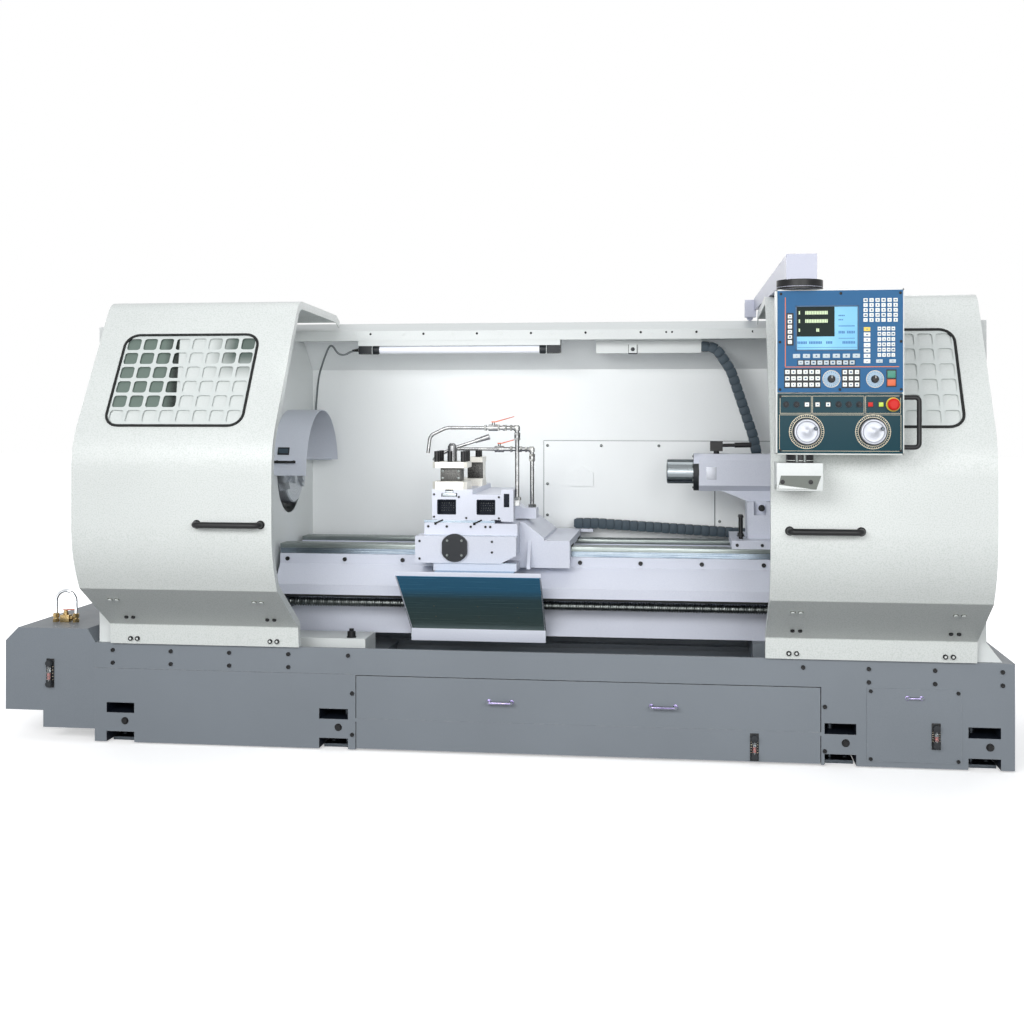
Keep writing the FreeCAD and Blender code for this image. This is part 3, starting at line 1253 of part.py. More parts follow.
def lean_plate(x_from, x_to, low, high, corner, out_from, out_to):
    # a plate with rounded corners that lies in the leaning panel
    near, far = low + corner, high - corner
    left, right = x_from + corner, x_to - corner
    cos45 = corner * math.sqrt(0.5)

    def arc(x, up, a, b, c):
        return Part.Arc(on_lean(x + a[0], up + a[1], out_from), on_lean(x + b[0], up + b[1], out_from),
                        on_lean(x + c[0], up + c[1], out_from)).toShape()

    edges = [
        Part.LineSegment(on_lean(left, low, out_from), on_lean(right, low, out_from)).toShape(),
        arc(right, near, (0, -corner), (cos45, -cos45), (corner, 0)),
        Part.LineSegment(on_lean(x_to, near, out_from), on_lean(x_to, far, out_from)).toShape(),
        arc(right, far, (corner, 0), (cos45, cos45), (0, corner)),
        Part.LineSegment(on_lean(right, high, out_from), on_lean(left, high, out_from)).toShape(),
        arc(left, far, (0, corner), (-cos45, cos45), (-corner, 0)),
        Part.LineSegment(on_lean(x_from, far, out_from), on_lean(x_from, near, out_from)).toShape(),
        arc(left, near, (-corner, 0), (-cos45, -cos45), (0, -corner))]
    return Part.Face(Part.Wire(edges)).extrude(lean_out * (out_to - out_from))


def hole_tool(x, up, size, corner):
    # an eight-sided cutter for one opening of the grille
    half = size / 2
    near = half - corner
    spots = [(-near, -half), (near, -half), (half, -near), (half, near), (near, half), (-near, half),
             (-half, near), (-half, -near)]
    wire = Part.makePolygon([on_lean(x + a, up + b, -20) for a, b in spots + spots[:1]])
    return Part.Face(wire).extrude(lean_out * 40)


grille_columns, grille_rows = 8, 6


def door_window(x_from):
    # a perforated sheet behind the opening, inside a rubber seal that grips the door's edge
    wall = s.sheet.value
    width = s.window_width.value
    seal = lean_plate(x_from - 8, x_from + width + 8, -8, window_rise + 8, window_corner + 8, 0.3, 6)
    seal = seal.cut(lean_plate(x_from + 4, x_from + width - 4, 4, window_rise - 4, window_corner - 4, 0, 7))
    bead = lean_plate(x_from + 0.3, x_from + width - 0.3, 0.3, window_rise - 0.3, window_corner, -wall, 2)
    bead = bead.cut(lean_plate(x_from + 4, x_from + width - 4, 4, window_rise - 4, window_corner - 4,
                               -wall - 1, 3))
    sheet_piece = lean_plate(x_from + 2, x_from + width - 2, 2, window_rise - 2, window_corner - 2,
                             -s.grille_sheet.value, 0)
    pitch = s.hole_pitch.value
    first = x_from + (width - pitch * (grille_columns - 1)) / 2
    lowest = (window_rise - pitch * (grille_rows - 1)) / 2
    holes = [hole_tool(first + pitch * column, lowest + pitch * row, s.hole_size.value, 9)
             for column in range(grille_columns) for row in range(grille_rows)]
    sheet_piece = sheet_piece.cut(Part.makeCompound(holes))
    return seal.fuse([bead, sheet_piece])


def door_shape(x_from, x_to, window_from, handle_from):
    # a folded sheet with return flanges, a window opening, a tube handle, rollers and bolts
    wall = s.sheet.value
    skin = folded(door_profile, door_bends, x_from, x_to, wall)
    flanges = [folded(door_profile, door_bends, x, x + wall, s.door_flange.value - 12)
               for x in (x_from, x_to - wall)]
    skin = skin.fuse(flanges)
    width = s.window_width.value
    skin = skin.cut(lean_plate(window_from, window_from + width, 0, window_rise, window_corner, -30, 30))
    reach, thick = s.handle_reach.value, s.handle_tube.value
    handle_to = handle_from + s.handle_length.value
    height = s.handle_height.value
    grip = round_path([(handle_from + 10, door_plane + 9, height),
                       (handle_from + 10, door_plane - reach + thick / 2, height),
                       (handle_to - 10, door_plane - reach + thick / 2, height),
                       (handle_to - 10, door_plane + 9, height)], [18, 18])
    extras = [tube_along(grip, thick)]
    for x in (x_from + 90, x_to - 90):
        wheel_y = base_front.value + 1
        extras.append(bar((x, wheel_y, s.base_top.value + 18.3), Y, 36, 9))
        extras.append(bar((x, sill_y + 1, s.base_top.value + 18.3), Y, 14, 16))
    for x in (x_from + 80, x_from + 106, x_to - 106, x_to - 80):
        extras.append(bar((x, sill_y - 2, s.base_top.value + 22), (0, -1, 0), 15, 8))
        drop = Vector(0, sill_y - 6 + 826, 76 + s.base_top.value - 611).normalize()
        out = Vector(0, drop.z, -drop.y)
        foot = Vector(x, -752, 563.7)
        extras.append(Part.makeCylinder(7, 7, foot - out * 1, out))
    return skin.fuse(extras).removeSplitter()


left_span = (s.left_door_left.value, s.left_door_right.value)
right_span = (s.right_door_left.value, s.right_door_right.value)
margin = 95
left_window_x = left_span[0] + margin + 6
right_window_x = right_span[1] - margin - s.window_width.value
keep("left_door", shaped("left_door_sheet", door_shape(*left_span, left_window_x, left_span[1] - 274)))
keep("left_window", shaped("left_window_set", door_window(left_window_x)))

right_sheet = door_shape(*right_span, right_window_x, right_span[0] + 50)
# the arm's lower bracket on the front, the chain's bracket under the roof
swivel_z = s.pendant_bottom.value
shelf_low = swivel_z - 113
shelf = block((s.swivel_x.value - 74, s.swivel_x.value + 68), (s.pendant_front.value, door_plane + 1),
              (shelf_low, swivel_z - 27))
shelf_room = block((s.swivel_x.value - 71, s.swivel_x.value + 65),
                   (s.pendant_front.value - 1, door_plane - 3), (shelf_low - 1, swivel_z - 33))
front_y = s.pendant_front.value - 1
slope_cut = Part.Face(Part.makePolygon([
    Vector(0, front_y, shelf_low - 1), Vector(0, front_y, shelf_low + 26),
    Vector(0, door_plane - 20, shelf_low - 1), Vector(0, front_y, shelf_low - 1)])
).extrude(Vector(s.right_door_right.value, 0, 0))
shelf = shelf.cut([shelf_room, slope_cut])
post_low = bar((s.swivel_x.value, s.swivel_y.value, swivel_z - 27), Z, 84, 26.7)
hanger = block((bracket_x - 20, bracket_x + 20), (-30, -24), (bracket_z, door_profile[6][1] - 3))
hanger_plate = block((bracket_x - 20, bracket_x + 20), (-30, upper_y[1]), (bracket_z, bracket_z + 6))
keep("right_door", shaped("right_door_sheet", right_sheet.fuse(
    [shelf, post_low, hanger, hanger_plate]).removeSplitter()))
keep("right_window", shaped("right_window_set", door_window(right_window_x)))

# ---- pendant arm, housing and controls ----


def arm_shape():
    # a level box over the swivel, a tapering box back over the roof, a foot with a roller on the rail
    left, right = s.swivel_x.value - 45, s.swivel_x.value + s.arm_width.value - 45
    low, high = s.arm_bottom.value, s.arm_top.value
    front, bend, rear = s.pendant_front.value - 5, -941, s.rail_front.value - 2
    head = block((left, right), (front, bend), (low, high))

    def frame(x_from, x_to, y, z_from, z_to):
        return Part.makePolygon([Vector(x_from, y, z_from), Vector(x_to, y, z_from), Vector(x_to, y, z_to),
                                 Vector(x_from, y, z_to), Vector(x_from, y, z_from)])

    back = Part.makeLoft([frame(left, right, bend, low, high),
                          frame(left - 52, right - 52, rear, low - 20, high - 56)], True, True)
    foot_left, foot_right = left - 86, s.right_door_left.value - 4
    foot = block((foot_left, foot_right), (rear - 2, s.rail_back.value - 4),
                 (s.rail_top.value + 12, high - 70))
    tail = block((foot_left, right - 60), (rear - 2, rear + 26), (low - 18, high - 60))
    roller = bar(((foot_left + foot_right) / 2, s.rail_back.value - 4, s.rail_top.value + 13.3), Y, 26, 11)
    disc = bar((s.swivel_x.value, s.swivel_y.value, s.pendant_top.value + 1), Z, 143,
               low - s.pendant_top.value - 1)
    return head.fuse([back, tail, foot, roller, disc]).removeSplitter()


keep("pendant_arm", shaped("arm", arm_shape()))

# pendant housing: a folded box with a step for the lower panel and a side handle
pendant_back = s.pendant_front + s.pendant_depth
bezel = 4
housing = box("housing_block", (s.pendant_left, s.pendant_right), (s.pendant_front + bezel, pendant_back),
              (s.pendant_bottom, s.pendant_top))
upper_recess = box("upper_recess", (s.pendant_left + 4, s.pendant_right - 4),
                   (s.pendant_front + bezel - 1, s.pendant_front + bezel + 3),
                   (s.pendant_split + 2, s.pendant_top - 4))
lower_recess = box("lower_recess", (s.pendant_left + 4, s.pendant_right - 4),
                   (s.pendant_front + bezel - 1, s.pendant_front + bezel + 3),
                   (s.pendant_bottom + 4, s.pendant_split - 2))
side_low, side_high = s.pendant_bottom + 16, s.pendant_bottom + 186
side_reach = 58
side_y = (s.pendant_front + 30, s.pendant_front + 48)
side_tips = [box(f"side_tip_{word}", (s.pendant_right, s.pendant_right + side_reach), side_y, (z, z + 14))
             for word, z in (("low", side_low), ("high", side_high - 14))]
side_grip = box("side_grip", (s.pendant_right + side_reach - 14, s.pendant_right + side_reach), side_y,
                (side_low + 14, side_high - 14))
keep("pendant_housing", fuse("housing", [cut("housing_shell", housing, [upper_recess, lower_recess]),
                                         side_grip] + side_tips))

# control panels: two plates with their keys, screen bezel, selectors and push buttons
plate_back = s.pendant_front.value + bezel + 3
plate_face = s.pendant_front.value
key_face = plate_face - 3


def keys(x_first, x_last, columns, z_first, z_last, rows, width, height):
    # a field of rectangular keys, given by the middles of its first and last ones
    pieces = []
    for column in range(columns):
        for row in range(rows):
            x = x_first + (x_last - x_first) * column / max(columns - 1, 1)
            z = z_first + (z_last - z_first) * row / max(rows - 1, 1)
            pieces.append(block((x - width / 2, x + width / 2), (key_face, plate_face),
                                (z - height / 2, z + height / 2)))
    return pieces


def round_button(x, z, size, height):
    return bar((x, plate_face - height, z), Y, size, height)


split = s.pendant_split.value
panel_top = s.pendant_top.value - 4.3
left_edge, right_edge = s.pendant_left.value + 4.3, s.pendant_right.value - 4.3
upper_plate = block((left_edge, right_edge), (plate_face, plate_back), (split + 2.3, panel_top))
lower_plate = block((left_edge, right_edge), (plate_face, plate_back),
                    (s.pendant_bottom.value + 4.3, split - 2.3))
screen_x, screen_z = (878, 1072), (split + 132, split + 274)
screen_sink = block(screen_x, (plate_face - 1, plate_face + 3), screen_z)
dial_spots = [(988, split + 44), (1121, split + 43)]
wheel_spots = [(912, s.pendant_bottom.value + 72), (1115, s.pendant_bottom.value + 72)]
stop_spot = (1176, split - 36)
control_z = split - 36
axle = 8
control_holes = [bar((x, plate_face - 3, z), Y, axle + 0.4, 11)
                 for x, z in dial_spots + wheel_spots + [stop_spot]]
key_fields = (
    keys(859.5, 859.5, 1, split + 160, split + 240, 6, 15, 13)
    + keys(881, 1064, 7, split + 116, split + 116, 1, 22, 13)
    + keys(894, 1051, 9, split + 95, split + 95, 1, 15, 13)
    + keys(1092, 1183, 6, split + 227, split + 289, 5, 13, 12)
    + keys(1096.5, 1096.5, 1, split + 99, split + 182, 6, 20, 13)
    + keys(1134, 1176, 4, split + 118, split + 200, 6, 11, 12)
    + keys(853, 946, 6, split + 26, split + 66, 3, 14, 13)
    + keys(1029, 1066, 3, split + 26, split + 65, 3, 13, 13)
    + keys(1164, 1177, 2, split + 27, split + 64, 3, 10, 12)
    + keys(913, 978, 3, control_z, control_z, 1, 13, 13))
selectors = [round_button(x, control_z, 12, 9) for x in (849, 881, 1010, 1041, 1073)]
lamps = [round_button(x, control_z, 15, 6) for x in (1107, 1139)]
rings = [bar((x, plate_face - 2, z), Y, 92, 2) for x, z in wheel_spots]
dial_rings = [bar((x, plate_face - 1.5, z), Y, 52, 1.5) for x, z in dial_spots]
panel = Part.makeCompound([
    upper_plate.fuse(key_fields[:-3] + dial_rings).cut([screen_sink] + control_holes),
    lower_plate.fuse(key_fields[-3:] + selectors + lamps + rings).cut(control_holes)])
keep("operator_panel", shaped("panel", panel))

control_fit = s.slide_fit
for word, (x, z) in zip(("x", "z"), wheel_spots):
    # handwheel with a dished rim, a hub, a crank knob and its axle
    wheel = turned_y(f"wheel_{word}", [
        (-22, 0), (-22, 14), (-16, 30), (-20, 39), (-6, 39), (-2 - control_fit, 34),
        (-2 - control_fit, axle / 2), (6, axle / 2), (6, 0)], x, plate_face, z)
    knob = rod(f"wheel_knob_{word}", alongY, x + 26, plate_face - 34, z + 10, 12, 20)
    keep(f"handwheel_{word}", fuse(f"handwheel_{word}_set", [wheel, knob]))
for word, (x, z) in zip(("feed", "spindle"), dial_spots):
    dial = turned_y(f"dial_{word}_knob", [
        (-18, 0), (-18, 8), (-15, 11), (-1.5 - control_fit, 12), (-1.5 - control_fit, axle / 2),
        (6, axle / 2), (6, 0)], x, plate_face, z)
    pointer = box(f"dial_{word}_pointer", (x - 2, x + 2), (plate_face - 20, plate_face - 16), (z, z + 11))
    keep(f"{word}_dial", fuse(f"{word}_dial_set", [dial, pointer]))
keep("emergency_stop", turned_y("stop_button", [
    (-24, 0), (-24, 12), (-20, 18), (-13, 19), (-10, 10), (-10, axle / 2), (2, axle / 2), (2, 0)],
    stop_spot[0], plate_face, stop_spot[1]))

# ---- electrical cabinet at the back ----

cabinet_right = s.cabinet_left + s.cabinet_width
cabinet_front = guard_y + s.sheet
door_thick = 20
cabinet_back = half_depth - door_thick
cabinet_wall = 3
cabinet = box("cabinet_block", (s.cabinet_left, cabinet_right), (cabinet_front, cabinet_back),
              (s.base_top, s.cabinet_top - 100))
cabinet_room = box("cabinet_room", (s.cabinet_left + cabinet_wall, cabinet_right - cabinet_wall),
                   (cabinet_front + cabinet_wall, cabinet_back + 1),
                   (s.base_top + cabinet_wall, s.cabinet_top - 100 - cabinet_wall))
back_plate = box("back_plate", (s.cabinet_left + 60, cabinet_right - 60),
                 (cabinet_front + cabinet_wall, cabinet_front + 25), (s.base_top + 80, s.cabinet_top - 180))
hinge_x = s.cabinet_left - 6
hinge_y = half_depth - door_thick / 2
hinge_size, hinge_pin_size, hinge_length = 14, 8, 30
hinge_levels = [s.base_top + 128, s.base_top + 468, s.base_top + 808]
cabinet_sockets = []
leaf_barrels = []
for number, level in enumerate(hinge_levels):
    socket = rod(f"hinge_socket_{number}", alongZ, hinge_x, hinge_y, level, hinge_size, hinge_length)
    strap = box(f"hinge_strap_{number}", (hinge_x + 2, s.cabinet_left + 1), (hinge_y - 50, hinge_y - 4),
                (level, level + hinge_length))
    pin_hole = rod(f"hinge_hole_{number}", alongZ, hinge_x, hinge_y, level - 1, hinge_pin_size + 0.4,
                   hinge_length + 2)
    body = fuse(f"hinge_body_{number}", [socket, strap])
    cabinet_sockets.append(cut(f"hinge_half_{number}", body, [pin_hole]))
    top = level + hinge_length + 0.3
    leaf_barrels += [
        rod(f"hinge_barrel_{number}", alongZ, hinge_x, hinge_y, top, hinge_size, hinge_length),
        rod(f"hinge_pin_{number}", alongZ, hinge_x, hinge_y, level, hinge_pin_size, hinge_length + 1),
        box(f"hinge_flap_{number}", (hinge_x, s.cabinet_left + 3), (hinge_y - 2, hinge_y + 4),
            (top, top + hinge_length))]
keep("electrical_cabinet", fuse("cabinet", [
    cut("cabinet_shell", cabinet, [cabinet_room]), back_plate] + cabinet_sockets))
cabinet_leaf = box("cabinet_leaf", (s.cabinet_left + 2, cabinet_right - 2),
                   (cabinet_back + 0.3, half_depth), (s.base_top + 5, s.cabinet_top - 102))
cabinet_grip = box("cabinet_grip", (cabinet_right - 70, cabinet_right - 50), (half_depth, half_depth + 18),
                   (s.spindle_z - 120, s.spindle_z + 10))
keep("cabinet_door", fuse("cabinet_door_leaf", [cabinet_leaf, cabinet_grip] + leaf_barrels))

# ---- checks and files ----

doc.recompute()
broken = [thing.Name for thing in doc.Objects if "Invalid" in thing.State or "Error" in thing.State]
if broken:
    raise SystemExit(f"not recomputed: {broken}")
faulty = [label for label, piece in nodes.items()
          if piece.Shape.isNull() or not piece.Shape.isValid() or piece.Shape.Volume <= 0]
if faulty:
    raise SystemExit(f"bad shapes: {faulty}")
for label, piece in nodes.items():
    piece.Shape.exportStep(f"parts/{label}.step")
print(len(nodes), "parts")
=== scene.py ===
import math

import bmesh
import bpy
from mathutils import Matrix, Vector


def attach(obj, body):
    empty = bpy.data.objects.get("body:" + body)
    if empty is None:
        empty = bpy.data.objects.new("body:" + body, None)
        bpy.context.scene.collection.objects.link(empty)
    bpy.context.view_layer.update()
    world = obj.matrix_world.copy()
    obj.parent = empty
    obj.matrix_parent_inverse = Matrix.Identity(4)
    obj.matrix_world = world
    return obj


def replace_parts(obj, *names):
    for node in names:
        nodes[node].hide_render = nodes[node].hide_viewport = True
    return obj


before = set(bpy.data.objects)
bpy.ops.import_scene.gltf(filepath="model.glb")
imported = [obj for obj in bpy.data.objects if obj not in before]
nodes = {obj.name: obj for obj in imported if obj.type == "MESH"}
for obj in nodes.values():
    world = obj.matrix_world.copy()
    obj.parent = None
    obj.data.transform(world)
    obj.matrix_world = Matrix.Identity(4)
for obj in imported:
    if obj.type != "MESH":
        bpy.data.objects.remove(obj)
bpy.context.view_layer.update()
print("frame loaded:", len(nodes), "nodes")

mm = 0.001
tau = math.tau
weld = 0.001  # millimetres
nearlyStraight = 1.56  # half of a bend's angle, past which its corner stays plain
toFront, toBack, toTop = (0, -1, 0), (0, 1, 0), (0, 0, 1)
toRight, toLeft = (1, 0, 0), (-1, 0, 0)
helpers = []  # objects that only feed a node tree, deleted before the end


# pieces are drawn in millimetres and turned to metres when their mesh is made
def addObject(name, data):
    thing = bpy.data.objects.new(name, data)
    bpy.context.scene.collection.objects.link(thing)
    return thing


def meshFrom(name, bm):
    bmesh.ops.remove_doubles(bm, verts=bm.verts, dist=weld)
    bmesh.ops.recalc_face_normals(bm, faces=bm.faces)
    bmesh.ops.scale(bm, vec=(mm, mm, mm), verts=bm.verts)
    mesh = bpy.data.meshes.new(name)
    bm.to_mesh(mesh)
    bm.free()
    return mesh


def finishMesh(name, mesh, material, body, sharp=32):
    # edges sharper than the given degrees stay sharp
    mesh.name = name
    if material:
        mesh.materials.clear()
        mesh.materials.append(material)
    mesh.shade_smooth()
    mesh.set_sharp_from_angle(angle=math.radians(sharp))
    piece = addObject(name, mesh)
    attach(piece, body)
    return piece


def finish(name, bm, material, body):
    return finishMesh(name, meshFrom(name, bm), material, body)


def boxPiece(name, boxes, material, body, soften=0):
    bm = bmesh.new()
    for x, y, z in boxes:
        addBox(bm, x, y, z, soften)
    return finish(name, bm, material, body)


def turnedPiece(name, places, direction, profile, material, body, sides=40, closed=False):
    bm = bmesh.new()
    for place in places:
        addTurned(bm, place, direction, profile, sides, closed)
    return finish(name, bm, material, body)


def addBox(bm, x, y, z, soften=0, turn=None, about=None):
    centre = Vector(((x[0] + x[1]) / 2, (y[0] + y[1]) / 2, (z[0] + z[1]) / 2))
    verts = bmesh.ops.create_cube(bm, size=1)["verts"]
    bmesh.ops.scale(bm, vec=(x[1] - x[0], y[1] - y[0], z[1] - z[0]), verts=verts)
    if soften:
        edges = list({edge for vert in verts for edge in vert.link_edges})
        made = bmesh.ops.bevel(bm, geom=edges, offset=soften, segments=2, profile=0.6, affect="EDGES")
        verts = list({vert for face in made["faces"] for vert in face.verts}
                     | {vert for vert in verts if vert.is_valid})
    bmesh.ops.translate(bm, vec=centre, verts=verts)
    if turn:
        pivot = Vector(about or centre)
        swing = Matrix.Translation(pivot) @ turn.to_4x4() @ Matrix.Translation(-pivot)
        bmesh.ops.transform(bm, matrix=swing, verts=verts)


def squareTo(direction):
    # the direction and two more, all at right angles
    along = Vector(direction).normalized()
    side = along.orthogonal().normalized()
    if abs(along.y) > 0.9 or abs(along.x) > 0.9:
        side = Vector(toTop).cross(along).normalized()
    return along, side, along.cross(side).normalized()


def addRing(bm, centre, side, other, radius, sides):
    return [bm.verts.new(centre + (side * math.cos(tau * k / sides) + other * math.sin(tau * k / sides))
                         * radius) for k in range(sides)]


def bridge(bm, near, far):
    # faces between two rings, either of which may be a single point
    sides = max(len(near), len(far))
    for k in range(sides):
        after = (k + 1) % sides
        if len(near) == 1:
            bm.faces.new((near[0], far[k], far[after]))
        elif len(far) == 1:
            bm.faces.new((near[k], far[0], near[after]))
        else:
            bm.faces.new((near[k], far[k], far[after], near[after]))


def addTurned(bm, start, direction, profile, sides=40, closed=False):
    # a profile of (along, radius) points turned round an axis; open ends are capped
    along, side, other = squareTo(direction)
    rings = []
    for reach, radius in profile:
        centre = Vector(start) + along * reach
        rings.append(addRing(bm, centre, side, other, radius, sides) if radius else [bm.verts.new(centre)])
    for near, far in zip(rings, rings[1:]):
        bridge(bm, near, far)
    if closed:
        bridge(bm, rings[-1], rings[0])
        return
    for loop in (rings[0], rings[-1]):
        if len(loop) > 1:
            bm.faces.new(loop)


def addRod(bm, start, direction, radius, length, edge=0.8, sides=32):
    edge = min(edge, length / 3, radius / 3)
    addTurned(bm, start, direction, [(0, radius - edge), (edge, radius), (length - edge, radius),
                                     (length, radius - edge)], sides)


def addTube(bm, points, radius, sides=14):
    # a round bar along a line of points, with flat ends
    points = [Vector(point) for point in points]
    first = (points[1] - points[0]).normalized()
    up = first.orthogonal().normalized()
    rings = []
    for before, point, after in zip([points[0]] + points, points, points[1:] + [points[-1]]):
        heading = (after - before).normalized()
        up = (up - heading * up.dot(heading)).normalized()
        rings.append(addRing(bm, point, up, heading.cross(up), radius, sides))
    for near, far in zip(rings, rings[1:]):
        bridge(bm, near, far)
    bm.faces.new(rings[0])
    bm.faces.new(rings[-1])


def addPrism(bm, outline, offset):
    # a flat outline of 3-D points pushed out by a vector
    near = [bm.verts.new(Vector(point)) for point in outline]
    far = [bm.verts.new(Vector(point) + Vector(offset)) for point in outline]
    bm.faces.new(near)
    bm.faces.new(far)
    for index in range(len(near)):
        after = (index + 1) % len(near)
        bm.faces.new((near[index], near[after], far[after], far[index]))


def bentLine(points, radii, steps=8):
    # straight runs with a round bend at each inner point
    points = [Vector(point) for point in points]
    line = [points[0]]
    for before, corner, after, radius in zip(points, points[1:], points[2:], radii):
        back = (before - corner).normalized()
        ahead = (after - corner).normalized()
        half = back.angle(ahead) / 2
        if radius == 0 or half > nearlyStraight:
            line.append(corner)
            continue
        reach = radius / math.tan(half)
        centre = corner + (back + ahead).normalized() * (radius / math.sin(half))
        start, end = corner + back * reach - centre, corner + ahead * reach - centre
        swing = start.rotation_difference(end)
        for step in range(steps + 1):
            turn = swing.copy()
            turn.angle = swing.angle * step / steps
            line.append(centre + turn @ start)
    return line + [points[-1]]


# shader groups

def tone(red, green, blue):
    # a colour as the eye reads it, 0 to 255, made linear
    return tuple((((c / 255) + 0.055) / 1.055) ** 2.4 if c > 10 else c / 255 / 12.92
                 for c in (red, green, blue)) + (1,)


def setInputs(tree, node, inputs):
    # an input takes either a value or the output that feeds it
    for word, value in inputs.items():
        if hasattr(value, "is_output"):
            tree.links.new(value, node.inputs[word])
        else:
            node.inputs[word].default_value = value
    return node


def addNode(tree, kind, inputs=None, **settings):
    node = tree.nodes.new(kind)
    for word, value in settings.items():
        setattr(node, word, value)
    return setInputs(tree, node, inputs or {})


def useGroup(tree, group, inputs):
    return addNode(tree, "ShaderNodeGroup", inputs, node_tree=group).outputs


def newGroup(name, inputs, outputs):
    tree = bpy.data.node_groups.new(name, "ShaderNodeTree")
    for word, kind, value in inputs:
        socket = tree.interface.new_socket(name=word, in_out="INPUT", socket_type=kind)
        socket.default_value = value
    for word, kind in outputs:
        tree.interface.new_socket(name=word, in_out="OUTPUT", socket_type=kind)
    return tree, tree.nodes.new("NodeGroupInput").outputs, tree.nodes.new("NodeGroupOutput").inputs


floatSocket, colorSocket, vectorSocket = "NodeSocketFloat", "NodeSocketColor", "NodeSocketVector"
white = (1, 1, 1, 1)


def math2(tree, operation, first, second):
    return addNode(tree, "ShaderNodeMath", {0: first, 1: second}, operation=operation).outputs[0]


def vector2(tree, operation, first, second, output="Vector"):
    return addNode(tree, "ShaderNodeVectorMath", {0: first, 1: second}, operation=operation).outputs[output]


def spread(tree, value, low, high, toLow, toHigh):
    node = addNode(tree, "ShaderNodeMapRange", {"Value": value, "From Min": low, "From Max": high,
                                                "To Min": toLow, "To Max": toHigh}, clamp=True)
    return node.outputs["Result"]


def mixColors(tree, amount, first, second, blend="MIX"):
    node = addNode(tree, "ShaderNodeMix", {0: amount, 6: first, 7: second}, data_type="RGBA",
                   blend_type=blend)
    return node.outputs[2]


def objectPoint(tree):
    return addNode(tree, "ShaderNodeTexCoord").outputs["Object"]


def noise(tree, point, scale, detail=2, rough=0.55):
    return addNode(tree, "ShaderNodeTexNoise", {"Vector": point, "Scale": scale, "Detail": detail,
                                                "Roughness": rough}).outputs["Fac"]


def makePaintSkin():
    # sprayed paint: speckle, slow clouds of shade, and a fine orange-peel height
    tree, given, out = newGroup("paintSkin", [
        ("Colour", colorSocket, white), ("Shade", colorSocket, white), ("Speckle", floatSocket, 0.3),
        ("Scale", floatSocket, 300), ("Roughness", floatSocket, 0.4), ("Cloud", floatSocket, 0.04)],
        [("Colour", colorSocket), ("Roughness", floatSocket), ("Height", floatSocket)])
    point = objectPoint(tree)
    grain = noise(tree, point, given["Scale"], 3)
    clouds = noise(tree, point, 1.7, 3)
    speck = math2(tree, "MULTIPLY", spread(tree, grain, 0.44, 0.66, 0, 1), given["Speckle"])
    colour = mixColors(tree, speck, given["Colour"], given["Shade"])
    swing = math2(tree, "MULTIPLY", spread(tree, clouds, 0.3, 0.7, -1, 1), given["Cloud"])
    value = math2(tree, "ADD", swing, 1)
    shaded = addNode(tree, "ShaderNodeHueSaturation", {"Color": colour, "Value": value}).outputs[0]
    tree.links.new(shaded, out["Colour"])
    rough = math2(tree, "ADD", given["Roughness"], spread(tree, grain, 0.3, 0.7, -0.06, 0.06))
    tree.links.new(rough, out["Roughness"])
    tree.links.new(grain, out["Height"])
    return tree


def makeEdgeRub():
    # a broken line of wear along outer edges
    tree, given, out = newGroup("edgeRub", [("Size", floatSocket, 0.003), ("Amount", floatSocket, 0.5)],
                                [("Mask", floatSocket)])
    rounded = addNode(tree, "ShaderNodeBevel", {"Radius": given["Size"]}, samples=4).outputs["Normal"]
    flat = addNode(tree, "ShaderNodeNewGeometry").outputs["Normal"]
    facing = vector2(tree, "DOT_PRODUCT", rounded, flat, "Value")
    edge = spread(tree, facing, 0.985, 0.85, 0, 1)
    patches = spread(tree, noise(tree, objectPoint(tree), 45, 4, 0.7), 0.42, 0.6, 0, 1)
    tree.links.new(math2(tree, "MULTIPLY", math2(tree, "MULTIPLY", edge, patches), given["Amount"]),
                   out["Mask"])
    return tree


def makeDust():
    # a film that settles on faces that look up
    tree, given, out = newGroup("settledDust", [
        ("Colour", colorSocket, white), ("Dust", colorSocket, white), ("Amount", floatSocket, 0.3)],
        [("Colour", colorSocket)])
    normal = addNode(tree, "ShaderNodeNewGeometry").outputs["Normal"]
    upward = addNode(tree, "ShaderNodeSeparateXYZ", {0: normal}).outputs["Z"]
    film = math2(tree, "MULTIPLY", spread(tree, upward, 0.5, 1, 0, 1),
                 spread(tree, noise(tree, objectPoint(tree), 14, 5, 0.7), 0.35, 0.7, 0.2, 1))
    amount = math2(tree, "MULTIPLY", film, given["Amount"])
    tree.links.new(mixColors(tree, amount, given["Colour"], given["Dust"]), out["Colour"])
    return tree


def makeGroundLines():
    # machined marks: long streaks set by a stretch of the object's own coordinates
    tree, given, out = newGroup("groundLines", [
        ("Colour", colorSocket, white), ("Shade", colorSocket, white),
        ("Stretch", vectorSocket, (4, 500, 500)),
        ("Roughness", floatSocket, 0.3)],
        [("Colour", colorSocket), ("Roughness", floatSocket), ("Height", floatSocket)])
    point = objectPoint(tree)
    streaks = noise(tree, vector2(tree, "MULTIPLY", point, given["Stretch"]), 1, 4, 0.65)
    stains = noise(tree, point, 9, 4, 0.6)
    fac = spread(tree, streaks, 0.35, 0.68, 0, 1)
    colour = mixColors(tree, fac, given["Colour"], given["Shade"])
    colour = mixColors(tree, spread(tree, stains, 0.5, 0.75, 0, 0.35), colour, given["Shade"])
    tree.links.new(colour, out["Colour"])
    tree.links.new(math2(tree, "ADD", given["Roughness"], spread(tree, streaks, 0.3, 0.7, -0.08, 0.1)),
                   out["Roughness"])
    tree.links.new(streaks, out["Height"])
    return tree


